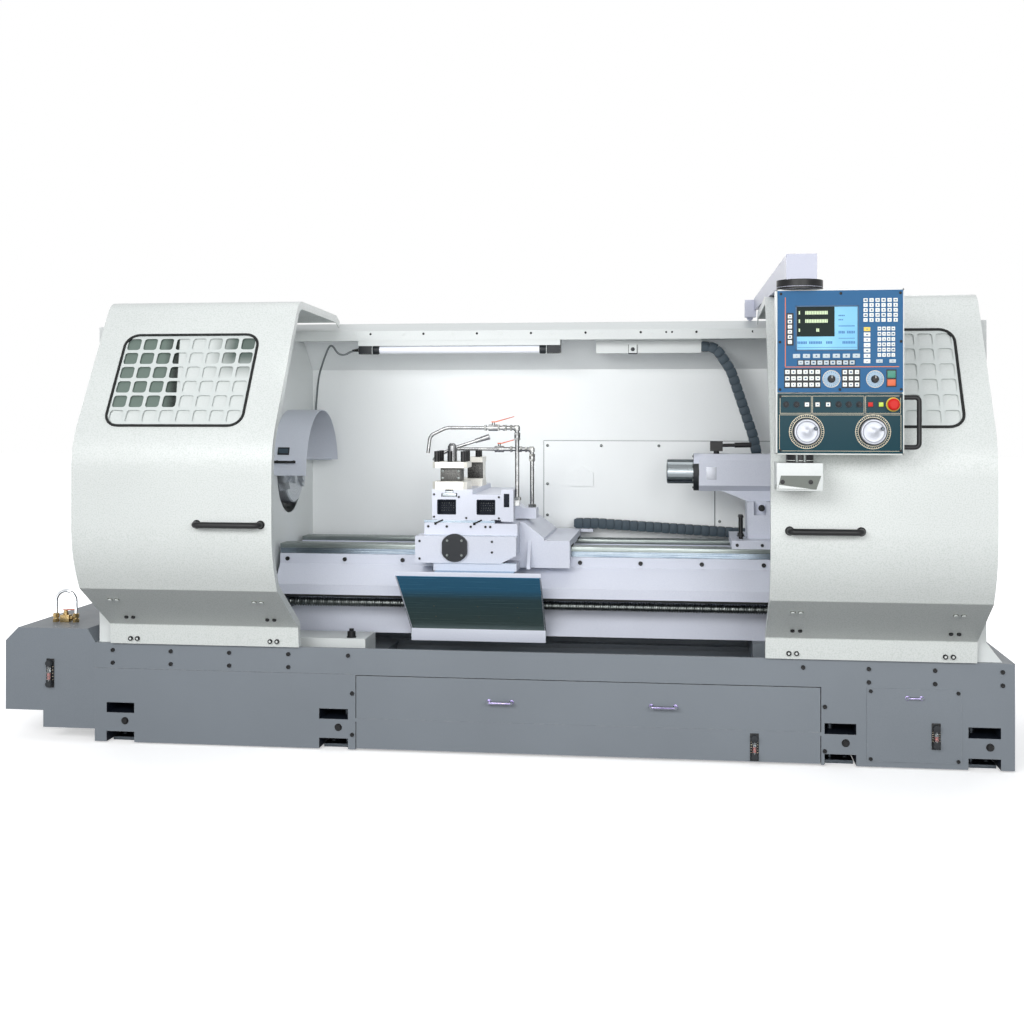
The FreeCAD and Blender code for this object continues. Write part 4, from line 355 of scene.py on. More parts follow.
def makeTurnedLines():
    # fine rings left by turning, round an axis through a centre
    tree, given, out = newGroup("turnedLines", [
        ("Colour", colorSocket, white), ("Shade", colorSocket, white), ("Centre", vectorSocket, (0, 0, 0)),
        ("Axis", vectorSocket, (1, 0, 0)), ("Roughness", floatSocket, 0.25)],
        [("Colour", colorSocket), ("Roughness", floatSocket), ("Height", floatSocket)])
    offset = vector2(tree, "SUBTRACT", objectPoint(tree), given["Centre"])
    reach = vector2(tree, "DOT_PRODUCT", offset, given["Axis"], "Value")
    radial = vector2(tree, "SUBTRACT", offset, addNode(tree, "ShaderNodeVectorMath", {
        0: given["Axis"], "Scale": reach}, operation="SCALE").outputs[0])
    radius = addNode(tree, "ShaderNodeVectorMath", {0: radial}, operation="LENGTH").outputs["Value"]
    point = addNode(tree, "ShaderNodeCombineXYZ", {0: radius, 1: reach}).outputs[0]
    rings = noise(tree, point, 700, 3, 0.6)
    tree.links.new(mixColors(tree, spread(tree, rings, 0.35, 0.65, 0, 1), given["Colour"], given["Shade"]),
                   out["Colour"])
    tree.links.new(math2(tree, "ADD", given["Roughness"], spread(tree, rings, 0.3, 0.7, -0.07, 0.08)),
                   out["Roughness"])
    tree.links.new(rings, out["Height"])
    return tree


paintSkin, edgeRub, settledDust = makePaintSkin(), makeEdgeRub(), makeDust()
groundLines, turnedLines = makeGroundLines(), makeTurnedLines()


# materials

shaderWords = {"roughness": "Roughness", "metallic": "Metallic", "specular": "Specular IOR Level",
               "ior": "IOR", "transmission": "Transmission Weight", "coat": "Coat Weight",
               "glow": "Emission Strength", "glowColour": "Emission Color"}


def newMaterial(name, **words):
    material = bpy.data.materials.new(name)
    material.use_nodes = True
    tree = material.node_tree
    shader = tree.nodes["Principled BSDF"]
    for word, value in words.items():
        shader.inputs[shaderWords[word]].default_value = value
    return material, tree, shader


def feed(tree, shader, colour, roughness=None, height=None, bump=0.0, depth=0.0):
    # a height bumps the surface by the given strength and depth in metres
    tree.links.new(colour, shader.inputs["Base Color"])
    if roughness:
        tree.links.new(roughness, shader.inputs["Roughness"])
    if height:
        bumped = addNode(tree, "ShaderNodeBump", {"Height": height, "Strength": bump, "Distance": depth})
        tree.links.new(bumped.outputs[0], shader.inputs["Normal"])


def paint(name, colour, shade, speckle=0.3, scale=300, roughness=0.4, cloud=0.04, bump=0.25,
          rub=None, dust=None, **words):
    # rub is (colour, size, amount) along the edges, dust is (colour, amount) on what looks up
    material, tree, shader = newMaterial(name, **words)
    skin = useGroup(tree, paintSkin, {"Colour": tone(*colour), "Shade": tone(*shade), "Speckle": speckle,
                                      "Scale": scale, "Roughness": roughness, "Cloud": cloud})
    result = skin["Colour"]
    if dust:
        result = useGroup(tree, settledDust, {"Colour": result, "Dust": tone(*dust[0]),
                                              "Amount": dust[1]})["Colour"]
    if rub:
        mask = useGroup(tree, edgeRub, {"Size": rub[1], "Amount": rub[2]})["Mask"]
        result = mixColors(tree, mask, result, tone(*rub[0]))
    feed(tree, shader, result, skin["Roughness"], skin["Height"], bump, 0.0004)
    return material


def metal(name, group, colour, shade, roughness, bump=0.12, metallic=1, **place):
    # place is the stretch of ground lines, or the centre of turned ones
    material, tree, shader = newMaterial(name, metallic=metallic)
    marks = useGroup(tree, group, {"Colour": tone(*colour), "Shade": tone(*shade), "Roughness": roughness,
                                   **{word.capitalize(): value for word, value in place.items()}})
    feed(tree, shader, marks["Colour"], marks["Roughness"], marks["Height"], bump, 0.0002)
    return material


# paints: colour, shade, speckle, grain, roughness, cloud, bump
grey, pale = (120, 127, 134), (218, 222, 220)
steel, darkSteel = (176, 182, 184), (112, 120, 122)

basePaint = paint("basePaint", grey, (106, 114, 122), 0.35, 420, 0.5, 0.05,
                  rub=((176, 178, 178), 0.004, 0.3), dust=((156, 158, 156), 0.3))
doorPaint = paint("doorPaint", pale, (188, 196, 190), 0.55, 230, 0.38, 0.03, 0.35)
wallPaint = paint("wallPaint", (217, 221, 220), (202, 209, 208), 0.25, 300, 0.42, 0.02)
rearPaint = paint("rearPaint", (240, 243, 243), (224, 230, 230), 0.2, 300, 0.4, 0.02)
castPaint = paint("castPaint", (210, 214, 226), (190, 195, 212), 0.35, 320, 0.42, 0.05, 0.4,
                  rub=((240, 241, 246), 0.003, 0.4), dust=((206, 206, 208), 0.25))
armPaint = paint("armPaint", (194, 197, 212), (178, 182, 200), 0.3, 320, 0.42, 0.04, 0.3)
guardPaint = paint("guardPaint", (198, 203, 213), (180, 186, 197), 0.3, 320, 0.35, 0.05)
panelEdge = paint("panelEdge", (228, 230, 226), (206, 210, 206), 0.25, 420, 0.36, 0.02)
cabinetPaint = paint("cabinetPaint", (226, 230, 228), (204, 210, 206), 0.4, 260, 0.45, 0.03, 0.35)
bluePanel = paint("bluePanel", (38, 96, 142), (30, 84, 126), 0.4, 700, 0.42, 0.03, 0.2, specular=0.2)
tealPanel = paint("tealPanel", (20, 58, 68), (16, 49, 57), 0.4, 700, 0.42, 0.03, 0.2, specular=0.16)
keyGrey = paint("keyGrey", (196, 208, 214), (176, 190, 198), 0.3, 900, 0.45, 0.03)
dialDisc = paint("dialDisc", (150, 178, 200), (130, 160, 184), 0.3, 900, 0.3, 0.02)
dialSatin = paint("dialSatin", (164, 167, 174), (140, 144, 154), 0.3, 500, 0.4, 0.03, metallic=0.5)
keyDark = paint("keyDark", (46, 84, 118), (38, 72, 102), 0.3, 900, 0.45, 0.03)
keyWhite = paint("keyWhite", (238, 240, 236), (220, 224, 220), 0.3, 900, 0.4, 0.02)
keyGreen = paint("keyGreen", (38, 128, 108), (28, 108, 90), 0.3, 900, 0.4, 0.02)
keyYellow = paint("keyYellow", (236, 206, 84), (214, 184, 66), 0.3, 900, 0.4, 0.02)
keyBlue = paint("keyBlue", (40, 116, 176), (30, 98, 152), 0.3, 900, 0.4, 0.02)
keyOrange = paint("keyOrange", (214, 96, 46), (192, 80, 36), 0.3, 900, 0.4, 0.02)
gaugeRed = paint("gaugeRed", (176, 60, 44), (150, 44, 34), 0.3, 900, 0.3, 0.02)
lineOrange = paint("lineOrange", (222, 116, 52), (204, 102, 44), 0.3, 700, 0.5, 0.02)
blackSatin = paint("blackSatin", (14, 15, 17), (9, 10, 12), 0.4, 500, 0.4, 0.06,
                   rub=((76, 78, 80), 0.0015, 0.4), specular=0.3)
blackGloss = paint("blackGloss", (20, 26, 32), (12, 16, 22), 0.3, 700, 0.22, 0.03, 0.1, specular=0.25)
blackPlastic = paint("blackPlastic", (28, 32, 36), (20, 23, 27), 0.4, 800, 0.5, 0.05, 0.4, specular=0.35)
chainPlastic = paint("chainPlastic", (60, 74, 84), (44, 56, 66), 0.4, 700, 0.5, 0.06, 0.4, specular=0.3)
grilleWhite = paint("grilleWhite", (208, 214, 212), (190, 198, 196), 0.25, 400, 0.36, 0.02)
# grey of painted shade: the shelf's open underside, also the caps on the door slopes
paintedShadeGrey = paint("paintedShadeGrey", (98, 104, 98), (80, 86, 80), 0.4, 500, 0.5, 0.05, 0.3)
# dark of painted shade for the insides of pockets
pocketPaintedShade = paint("pocketPaintedShade", (22, 28, 38), (14, 18, 26), 0.4, 500, 0.6, 0.05, 0.3, specular=0.15)
rubber = paint("rubber", (20, 22, 22), (30, 32, 32), 0.4, 900, 0.72, 0.06, 0.5, specular=0.3)
leadSkin = paint("leadSkin", (118, 124, 126), (98, 104, 106), 0.4, 900, 0.55, 0.06, 0.4)
stopRed = paint("stopRed", (206, 40, 34), (184, 30, 26), 0.25, 900, 0.4, 0.02, 0.1, specular=0.2)
lampGreen = paint("lampGreen", (186, 214, 60), (160, 190, 44), 0.25, 900, 0.25, 0.02, 0.1)
stopYellow = paint("stopYellow", (226, 196, 60), (206, 176, 48), 0.25, 900, 0.35, 0.02, 0.1)
leverOrange = paint("leverOrange", (206, 96, 58), (184, 80, 46), 0.3, 800, 0.35, 0.04)
toolWhite = paint("toolWhite", (226, 224, 216), (198, 194, 184), 0.5, 420, 0.34, 0.06, 0.3,
                  rub=((160, 160, 156), 0.002, 0.5), metallic=0.2)
cream = paint("cream", (240, 226, 196), (222, 206, 174), 0.25, 700, 0.42, 0.03)
tubeWhite = paint("tubeWhite", (238, 240, 248), (226, 230, 240), 0.2, 700, 0.2, 0.02, 0.05,
                  coat=0.6, glow=0.12, glowColour=(0.9, 0.94, 1, 1))

# metals: marks, colour, shade, roughness, bump
spindleCentre = (0, -0.05, 1.0)
waySteel = metal("waySteel", groundLines, (158, 165, 163), (100, 109, 107), 0.36)
wayShade = metal("wayShade", groundLines, (146, 156, 164), (92, 106, 120), 0.22, stretch=(6, 300, 300))
brushedBlock = metal("brushedBlock", groundLines, (168, 174, 176), (104, 112, 116), 0.34,
                     stretch=(40, 40, 600))
darkBlock = metal("darkBlock", groundLines, (92, 92, 90), (38, 38, 38), 0.42, stretch=(260, 260, 300))
pewter = metal("pewter", groundLines, (190, 192, 190), (132, 132, 128), 0.26, 0.08, stretch=(60, 60, 60))
pipeSteel = metal("pipeSteel", groundLines, (146, 147, 146), (112, 113, 115), 0.22, 0.05,
                  stretch=(24, 24, 24))
# quill: lengthwise streaks, both machining marks and painted bands of reflection along its length
quillSteel = metal("quillSteel", groundLines, (148, 154, 157), (112, 120, 124), 0.2, 0.04,
                   stretch=(4, 220, 220))
chuckSteel = metal("chuckSteel", turnedLines, (206, 210, 214), (160, 166, 172), 0.3,
                   centre=spindleCentre, metallic=0.45)
shieldPale = paint("shieldPale", (150, 166, 168), (128, 146, 150), 0.3, 400, 0.25, 0.02)


def makeMirrorShield():
    # polished sheet with a painted reflection of the floor: deep blue near its top, grey-green near its foot,
    # fine level grain
    sheet = {"top": tone(78, 142, 180), "middle": tone(84, 112, 118), "foot": tone(96, 116, 112),
             "reflectionBlueFrom": 0.535, "reflectionBlueTo": 0.575, "reflectionFootFrom": 0.41, "reflectionFootTo": 0.53, "waver": 0.012}
    material, tree, shader = newMaterial("shieldPaintedReflection", metallic=0.35, roughness=0.2)
    point = objectPoint(tree)
    height = addNode(tree, "ShaderNodeSeparateXYZ", {0: point}).outputs[2]
    grain = noise(tree, vector2(tree, "MULTIPLY", point, (3, 260, 260)), 1, 3, 0.6)
    waver = math2(tree, "MULTIPLY", math2(tree, "SUBTRACT", grain, 0.5), sheet["waver"])
    rise = math2(tree, "ADD", height, waver)
    low = mixColors(tree, spread(tree, rise, sheet["reflectionFootFrom"], sheet["reflectionFootTo"], 0, 1), sheet["foot"],
                    sheet["middle"])
    colour = mixColors(tree, spread(tree, rise, sheet["reflectionBlueFrom"], sheet["reflectionBlueTo"], 0, 1), low, sheet["top"])
    feed(tree, shader, colour, spread(tree, grain, 0.3, 0.7, 0.16, 0.3))
    return material


shieldPaintedReflection = makeMirrorShield()
turnedSteel = metal("turnedSteel", turnedLines, steel, darkSteel, 0.24, centre=spindleCentre)
screwSteel = metal("screwSteel", turnedLines, (128, 132, 130), (66, 72, 72), 0.34,
                   centre=(0, -0.285, 0.502))
chrome = metal("chrome", groundLines, (226, 228, 230), (190, 196, 202), 0.09, 0.02, stretch=(60, 60, 60))
pullChrome = metal("pullChrome", groundLines, (150, 140, 176), (98, 92, 122), 0.16, 0.03,
                   stretch=(60, 60, 60))
brass = metal("brass", groundLines, (196, 172, 124), (150, 126, 84), 0.26, 0.08, stretch=(90, 90, 90))
gunSteel = metal("gunSteel", groundLines, (96, 102, 108), (54, 60, 66), 0.36, stretch=(60, 60, 300))
dialAluminium = metal("dialAluminium", groundLines, (214, 216, 220), (168, 172, 178), 0.24, 0.08,
                      stretch=(500, 40, 40))


def makeGlass(name, colour, roughness, clear):
    material, tree, shader = newMaterial(name, ior=1.46, transmission=clear)
    smear = noise(tree, objectPoint(tree), 12, 4, 0.6)
    dull = spread(tree, smear, 0.35, 0.7, roughness, roughness + 0.08)
    smeared = mixColors(tree, spread(tree, smear, 0.4, 0.7, 0, 0.3), colour, tone(214, 222, 224))
    feed(tree, shader, smeared, dull)
    return material


def makePane():
    # the pane painted with the light and shade of what stands behind it: a left part in painted shade with a
    # painted shadow band at its upright edge, a pale rest painted as the lit wall, a painted dim upper corner
    pane = {"pale": tone(226, 231, 229), "paintedDimCorner": tone(98, 112, 106), "inside": tone(112, 128, 120),
            "paintedShadowBand": tone(26, 34, 30), "grain": tone(150, 160, 156), "slant": 0.176, "sill": (1.238, 1.241),
            "edge": (-1.0205, -1.0185), "shadowBandMask": (-1.074, -1.03), "cornerLeft": (-1.16, -1.07),
            "cornerRight": (-0.9, -0.8), "cornerRise": (1.35, 1.43)}
    material, tree, shader = newMaterial("panePaintedLightAndShade", ior=1.46, transmission=0.12, roughness=0.16,
                                         specular=0.3)

    def both(first, second):
        return math2(tree, "MULTIPLY", first, second)

    def rising(value, word):
        return spread(tree, value, *pane[word], 0, 1)

    def falling(value, word):
        return spread(tree, value, *pane[word], 1, 0)

    point = objectPoint(tree)
    along, _, height = addNode(tree, "ShaderNodeSeparateXYZ", {0: point}).outputs
    slant = math2(tree, "ADD", along, both(height, pane["slant"]))
    # masks above the sill: inner for the painted shade of the left part, the band for its painted shadow
    # edge, corner for the painted dim upper corner
    above = rising(height, "sill")
    inner = both(falling(slant, "edge"), above)
    shadowBandMask = both(rising(slant, "shadowBandMask"), inner)
    corner = both(rising(along, "cornerLeft"), rising(height, "cornerRise"))
    corner = both(corner, falling(along, "cornerRight"))
    colour = mixColors(tree, corner, pane["pale"], pane["paintedDimCorner"])
    colour = mixColors(tree, inner, colour, pane["inside"])
    colour = mixColors(tree, shadowBandMask, colour, pane["paintedShadowBand"])
    grain = noise(tree, point, 240, 3, 0.6)
    colour = mixColors(tree, spread(tree, grain, 0.35, 0.7, 0, 0.12), colour, pane["grain"])
    feed(tree, shader, colour, spread(tree, grain, 0.3, 0.7, 0.14, 0.24))
    return material


def makeScreen():
    # a lit display: a blue field that clouds a little
    material, tree, shader = newMaterial("screenGlow", roughness=0.3, glow=0.3, specular=0.2)
    haze = noise(tree, objectPoint(tree), 6, 2, 0.5)
    colour = mixColors(tree, spread(tree, haze, 0.3, 0.7, 0, 1), tone(112, 176, 212), tone(136, 196, 226))
    feed(tree, shader, colour)
    tree.links.new(colour, shader.inputs["Emission Color"])
    return material


panePaintedLightAndShade, screenGlow = makePane(), makeScreen()
gaugeGlass = makeGlass("gaugeGlass", tone(232, 238, 240), 0.03, 0.85)
screenDark = paint("screenDark", (24, 36, 34), (18, 28, 28), 0.2, 900, 0.4, 0.02, 0.05, specular=0.1)
screenInk = paint("screenInk", (214, 234, 190), (200, 222, 178), 0.1, 900, 0.4, 0.01, 0.05)
print("materials:", len(bpy.data.materials))

nodeFinish = {
    basePaint: ["base", "coolant_tank", "side_tank", "access_cover", "chip_drawer", "main_motor"],
    gunSteel: ["levelling_feet", "z_drive", "motor_pulley"],
    castPaint: ["bed", "screw_cover", "headstock", "cross_slide", "tailstock_body", "saddle"],
    armPaint: ["pendant_arm"],
    rearPaint: ["rear_guard", "rear_cover"],
    wallPaint: ["left_casing", "right_casing", "top_rail", "lamp_housing", "cable_tray"],
    doorPaint: ["left_door", "right_door"],
    cabinetPaint: ["electrical_cabinet", "cabinet_door"],
    guardPaint: ["chuck_guard"],
    panelEdge: ["pendant_housing"],
    shieldPaintedReflection: ["chip_shield"],
    turnedSteel: ["spindle"],
    chuckSteel: ["chuck_body", "chuck_jaw_1", "chuck_jaw_2", "chuck_jaw_3"],
    toolWhite: ["tool_post", "rear_tool_block"],
    screwSteel: ["z_ballscrew"],
    pipeSteel: ["coolant_pipes", "clamp_lever"],
    quillSteel: ["quill"],
    chrome: ["tank_fittings"],
    leverOrange: ["front_valve_lever", "rear_valve_lever"],
    blackSatin: ["quill_lock_lever", "frame_screws", "clamp_screws"],
    rubber: ["drive_belt", "left_window", "right_window"],
    chainPlastic: ["upper_chain", "lower_chain"],
    tubeWhite: ["lamp_tube"],
    leadSkin: ["lamp_lead"],
    bluePanel: ["operator_panel"],
    dialAluminium: ["handwheel_x", "handwheel_z", "feed_dial", "spindle_dial"],
    stopRed: ["emergency_stop"],
}
for material, members in nodeFinish.items():
    for member in members:
        if not nodes[member].material_slots:
            nodes[member].data.materials.append(material)
        for materialSlot in nodes[member].material_slots:
            materialSlot.material = material
print("finishes on the CAD nodes:", sum(len(members) for members in nodeFinish.values()))


# camera, light and floor

view = {"place": (0.550, -5.373, 1.242), "turn": 7.46, "lens": 47.8, "sensor": 36, "shift": -0.1006,
        "far": 60}
lamps = {
    # name: (place, aim, size, watts)
    "key": ((-2.0, -6.2, 3.1), (0, -0.3, 0.85), (3.6, 1.8), 196),
    "fill": ((2.8, -6.2, 2.7), (0.4, -0.3, 0.85), (3, 1.8), 118),
    "front": ((0.3, -6.6, 1.15), (0.1, 0, 0.85), (4.6, 1.5), 92),
    "inside": ((-0.35, -0.5, 1.2), (-0.85, 0.28, 0.95), (1.1, 0.5), 1.2),
    "top": ((0, -0.2, 5.2), (0, -0.1, 1.0), (4.2, 2.6), 45),
    "back": ((0.5, 4.6, 3.2), (0, 0.3, 1.0), (4, 2.4), 70),
}
studio = {"seenSky": white, "sky": (0.9, 0.93, 1, 1), "skyLight": 0.29, "floorHalf": 30,
          "seenFloor": (0.9, 0.9, 0.9, 1), "floor": (0.1, 0.105, 0.105, 1), "floorGlow": (0.42, 1),
          "glowReach": (1.6, 3.4)}


def placeCamera():
    camera = addObject("camera", bpy.data.cameras.new("camera"))
    camera.location = view["place"]
    camera.rotation_euler = (math.radians(90), 0, math.radians(view["turn"]))
    camera.data.lens = view["lens"]
    camera.data.sensor_width = view["sensor"]
    camera.data.shift_y = view["shift"]
    camera.data.clip_end = view["far"]
    bpy.context.scene.camera = camera


def placeLamps():
    for name, (place, aim, size, watts) in lamps.items():
        light = bpy.data.lights.new(name, "AREA")
        light.shape = "RECTANGLE"
        light.size, light.size_y = size
        light.energy = watts
        lamp = addObject(name, light)
        lamp.location = place
        lamp.visible_camera = False
        lamp.rotation_euler = (Vector(aim) - Vector(place)).to_track_quat("-Z", "Y").to_euler()


def seenRay(tree):
    # 1 where the camera, a gloss or a clear material looks straight at it
    path = addNode(tree, "ShaderNodeLightPath").outputs
    seen = math2(tree, "MAXIMUM", path["Is Camera Ray"], path["Is Glossy Ray"])
    return math2(tree, "MAXIMUM", seen, path["Is Transmission Ray"])


def makeSky():
    bpy.context.scene.view_settings.view_transform = "Standard"
    world = bpy.data.worlds.new("studio")
    world.use_nodes = True
    bpy.context.scene.world = world
    tree = world.node_tree
    seen = seenRay(tree)
    sky = tree.nodes["Background"].inputs
    tree.links.new(mixColors(tree, seen, studio["sky"], studio["seenSky"]), sky["Color"])
    tree.links.new(spread(tree, seen, 0, 1, studio["skyLight"], 1), sky["Strength"])


def makeFloor():
    # the floor glows white to the camera, less so near the machine, where its shadow falls
    half = studio["floorHalf"]
    mesh = bpy.data.meshes.new("floor")
    corners = [(-half, -half, 0), (half, -half, 0), (half, half, 0), (-half, half, 0)]
    mesh.from_pydata(corners, [], [(0, 1, 2, 3)])
    addObject("floor", mesh)
    material, tree, shader = newMaterial("floorPaint", roughness=0.9, specular=0.1)
    seen = seenRay(tree)
    feed(tree, shader, mixColors(tree, seen, studio["floor"], studio["seenFloor"]))
    tree.links.new(mixColors(tree, seen, (0, 0, 0, 1), white), shader.inputs["Emission Color"])
    away = vector2(tree, "LENGTH", objectPoint(tree), (0, 0, 0), "Value")
    tree.links.new(spread(tree, away, *studio["glowReach"], *studio["floorGlow"]),
                   shader.inputs["Emission Strength"])
    mesh.materials.append(material)


placeCamera()
placeLamps()
makeSky()
makeFloor()
print("camera, light and floor in place")


# lamp lead: the same route as the solid, one smooth line from the lamp's cap to the gland box

lead = {"size": 8, "length": 0.675, "lampSleeve": 30, "wallSleeve": 34, "sleeveSize": 8}
leadRoute = [(-785.5, 40, 1482), (-815, 40, 1480), (-848, 40, 1460), (-878, 40, 1468), (-897, 44, 1500),
             (-918, 62, 1502), (-944, 96, 1462), (-970, 140, 1424), (-996, 190, 1386), (-1016, 238, 1340),
             (-1028, 264, 1280), (-1034, 270, 1215), (-1038, 270, 1150), (-1038, 270, 1085)]


def layCurve(curve, kind, line):
    # one spline through points given in millimetres
    curve.dimensions = "3D"
    spline = curve.splines.new(kind)
    spline.points.add(len(line) - 1)
    for point, spot in zip(spline.points, line):
        point.co = (*(Vector(spot) * mm), 1)
    return spline


def addStrainRelief(bm, start, direction, length, size):
    # a tapered rubber sleeve with rings cut into it
    profile = [(0, 0), (0, size * 1.05), (length * 0.18, size * 1.05), (length * 0.2, size * 0.86)]
    for step in range(1, 6):
        at = length * (0.2 + 0.14 * step)
        radius = size * (0.86 - 0.06 * step)
        groove = radius * 0.86
        profile += [(at - 1.6, radius), (at - 1.5, groove), (at - 0.3, groove), (at - 0.2, radius)]
    profile += [(length, size * 0.54), (length, 0)]
    addTurned(bm, start, direction, profile, 24)


leadCurve = bpy.data.curves.new("lampLeadCord", "CURVE")
leadCurve.bevel_depth = lead["size"] / 2 * mm
leadCurve.bevel_resolution = 4
leadCurve.use_fill_caps = True
leadCurve.resolution_u = 10
leadLine = layCurve(leadCurve, "NURBS", leadRoute)
leadLine.order_u = 3
leadLine.use_endpoint_u = True
leadCurve.materials.append(leadSkin)
lampLead = addObject("lampLeadCord", leadCurve)
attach(lampLead, "machine_frame")
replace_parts(lampLead, "lamp_lead")

sleeves = bmesh.new()
addStrainRelief(sleeves, (-785, 40, 1482), (-1, 0, -0.07), lead["lampSleeve"], lead["sleeveSize"])
addStrainRelief(sleeves, (-1038, 270, 1085), toTop, lead["wallSleeve"], lead["sleeveSize"])
leadSleeves = finish("leadSleeves", sleeves, rubber, "machine_frame")
print("lamp lead laid")


# node trees that lay out what repeats

intSocket, objectSocket, geometrySocket = "NodeSocketInt", "NodeSocketObject", "NodeSocketGeometry"


def newLayout(name, inputs):
    tree = bpy.data.node_groups.new(name, "GeometryNodeTree")
    tree.interface.new_socket(name="Geometry", in_out="INPUT", socket_type=geometrySocket)
    for word, kind, value in inputs + [("Material", "NodeSocketMaterial", None)]:
        socket = tree.interface.new_socket(name=word, in_out="INPUT", socket_type=kind)
        if value is not None:
            socket.default_value = value
    tree.interface.new_socket(name="Geometry", in_out="OUTPUT", socket_type=geometrySocket)
    return tree, tree.nodes.new("NodeGroupInput").outputs, tree.nodes.new("NodeGroupOutput").inputs


def closeLayout(tree, given, out, geometry):
    solid = addNode(tree, "GeometryNodeRealizeInstances", {"Geometry": geometry}).outputs[0]
    finished = addNode(tree, "GeometryNodeSetMaterial", {"Geometry": solid, "Material": given["Material"]})
    tree.links.new(finished.outputs[0], out["Geometry"])
    return tree


def objectShape(tree, given):
    return addNode(tree, "GeometryNodeObjectInfo", {"Object": given, "As Instance": True},
                   transform_space="ORIGINAL").outputs["Geometry"]


def onPoints(tree, points, shape, **more):
    # the shape on every point; more can hold its Rotation and Scale
    inputs = {"Points": points, "Instance": shape, **more}
    return addNode(tree, "GeometryNodeInstanceOnPoints", inputs).outputs[0]


def named(tree, word):
    return addNode(tree, "GeometryNodeInputNamedAttribute", {"Name": word},
                   data_type="FLOAT_VECTOR").outputs["Attribute"]


def aligned(tree, vector, **settings):
    return addNode(tree, "FunctionNodeAlignRotationToVector", {"Vector": vector}, **settings).outputs[0]


def joined(tree, *parts):
    node = addNode(tree, "GeometryNodeJoinGeometry")
    for part in parts:
        tree.links.new(part, node.inputs[0])
    return node.outputs[0]


def makeScatter():
    # one shape on every point, turned to the point's facing and scaled by its size
    tree, given, out = newLayout("scatter", [("Shape", objectSocket, None)])
    facing, size = named(tree, "facing"), named(tree, "size")
    turn = aligned(tree, facing, axis="Z")
    shape = objectShape(tree, given["Shape"])
    return closeLayout(tree, given, out, onPoints(tree, given["Geometry"], shape, Rotation=turn, Scale=size))


def makeLinkRun():
    # links one after another along a curve in the XZ plane
    tree, given, out = newLayout("linkRun", [("Link", objectSocket, None), ("Count", intSocket, 10),
                                             ("Pitch", floatSocket, 0.03)])
    index = addNode(tree, "GeometryNodeInputIndex").outputs[0]
    reach = math2(tree, "MULTIPLY", math2(tree, "ADD", index, 0.5), given["Pitch"])
    sample = addNode(tree, "GeometryNodeSampleCurve", {"Curves": given["Geometry"], "Length": reach},
                     mode="LENGTH", use_all_curves=False).outputs
    points = addNode(tree, "GeometryNodePoints", {"Count": given["Count"],
                                                  "Position": sample["Position"]}).outputs[0]
    turn = aligned(tree, sample["Tangent"], axis="X", pivot_axis="Y")
    link = objectShape(tree, given["Link"])
    return closeLayout(tree, given, out, onPoints(tree, points, link, Rotation=turn))


def makePerforated():
    # a rounded sheet pierced by rows of rounded square holes
    tree, given, out = newLayout("perforated", [
        ("Width", floatSocket, 0.49), ("Height", floatSocket, 0.38), ("Corner", floatSocket, 0.04),
        ("Thickness", floatSocket, 0.002), ("Pitch", floatSocket, 0.061), ("Hole", floatSocket, 0.049),
        ("Hole Corner", floatSocket, 0.01), ("Columns", intSocket, 8), ("Rows", intSocket, 6)])

    def roundedFrame(width, height, corner, steps):
        outline = addNode(tree, "GeometryNodeCurvePrimitiveQuadrilateral", {"Width": width, "Height": height})
        fillet = addNode(tree, "GeometryNodeFilletCurve", {"Curve": outline.outputs[0], "Radius": corner},
                         mode="POLY")
        fillet.inputs["Count"].default_value = steps
        return fillet.outputs[0]

    def span(count):
        return math2(tree, "MULTIPLY", math2(tree, "SUBTRACT", count, 1), given["Pitch"])

    grid = addNode(tree, "GeometryNodeMeshGrid", {
        "Size X": span(given["Columns"]), "Size Y": span(given["Rows"]),
        "Vertices X": given["Columns"], "Vertices Y": given["Rows"]}).outputs[0]
    holes = onPoints(tree, grid, roundedFrame(given["Hole"], given["Hole"], given["Hole Corner"], 4))
    holes = addNode(tree, "GeometryNodeRealizeInstances", {"Geometry": holes}).outputs[0]
    outer = roundedFrame(given["Width"], given["Height"], given["Corner"], 8)
    flat = addNode(tree, "GeometryNodeFillCurve", {"Curve": joined(tree, holes, outer)}).outputs[0]
    raised = addNode(tree, "GeometryNodeExtrudeMesh", {"Mesh": flat, "Offset Scale": given["Thickness"],
                                                       "Individual": False}).outputs[0]
    under = addNode(tree, "GeometryNodeFlipFaces", {"Mesh": flat}).outputs[0]
    whole = addNode(tree, "GeometryNodeMergeByDistance", {"Geometry": joined(tree, raised, under),
                                                          "Distance": weld * mm * 10})
    return closeLayout(tree, given, out, whole.outputs[0])


def makeThread():
    # a screw thread wound along Z on a round core
    tree, given, out = newLayout("thread", [("Length", floatSocket, 1), ("Pitch", floatSocket, 0.01),
                                            ("Radius", floatSocket, 0.016), ("Depth", floatSocket, 0.002)])
    turns = math2(tree, "DIVIDE", given["Length"], given["Pitch"])
    spiral = addNode(tree, "GeometryNodeCurveSpiral", {
        "Resolution": 20, "Rotations": turns, "Start Radius": given["Radius"], "End Radius": given["Radius"],
        "Height": given["Length"]}).outputs[0]
    rib = addNode(tree, "GeometryNodeCurvePrimitiveCircle", {
        "Resolution": 6, "Radius": math2(tree, "MULTIPLY", given["Pitch"], 0.3)}).outputs[0]
    ribbon = addNode(tree, "GeometryNodeCurveToMesh", {"Curve": spiral, "Profile Curve": rib,
                                                       "Fill Caps": True}).outputs[0]
    core = addNode(tree, "GeometryNodeMeshCylinder", {
        "Vertices": 24, "Radius": math2(tree, "SUBTRACT", given["Radius"], given["Depth"]),
        "Depth": given["Length"]}).outputs[0]
    half = math2(tree, "MULTIPLY", given["Length"], 0.5)
    lift = addNode(tree, "ShaderNodeCombineXYZ", {2: half}).outputs[0]
    core = addNode(tree, "GeometryNodeTransform", {"Geometry": core, "Translation": lift}).outputs[0]
    return closeLayout(tree, given, out, joined(tree, ribbon, core))


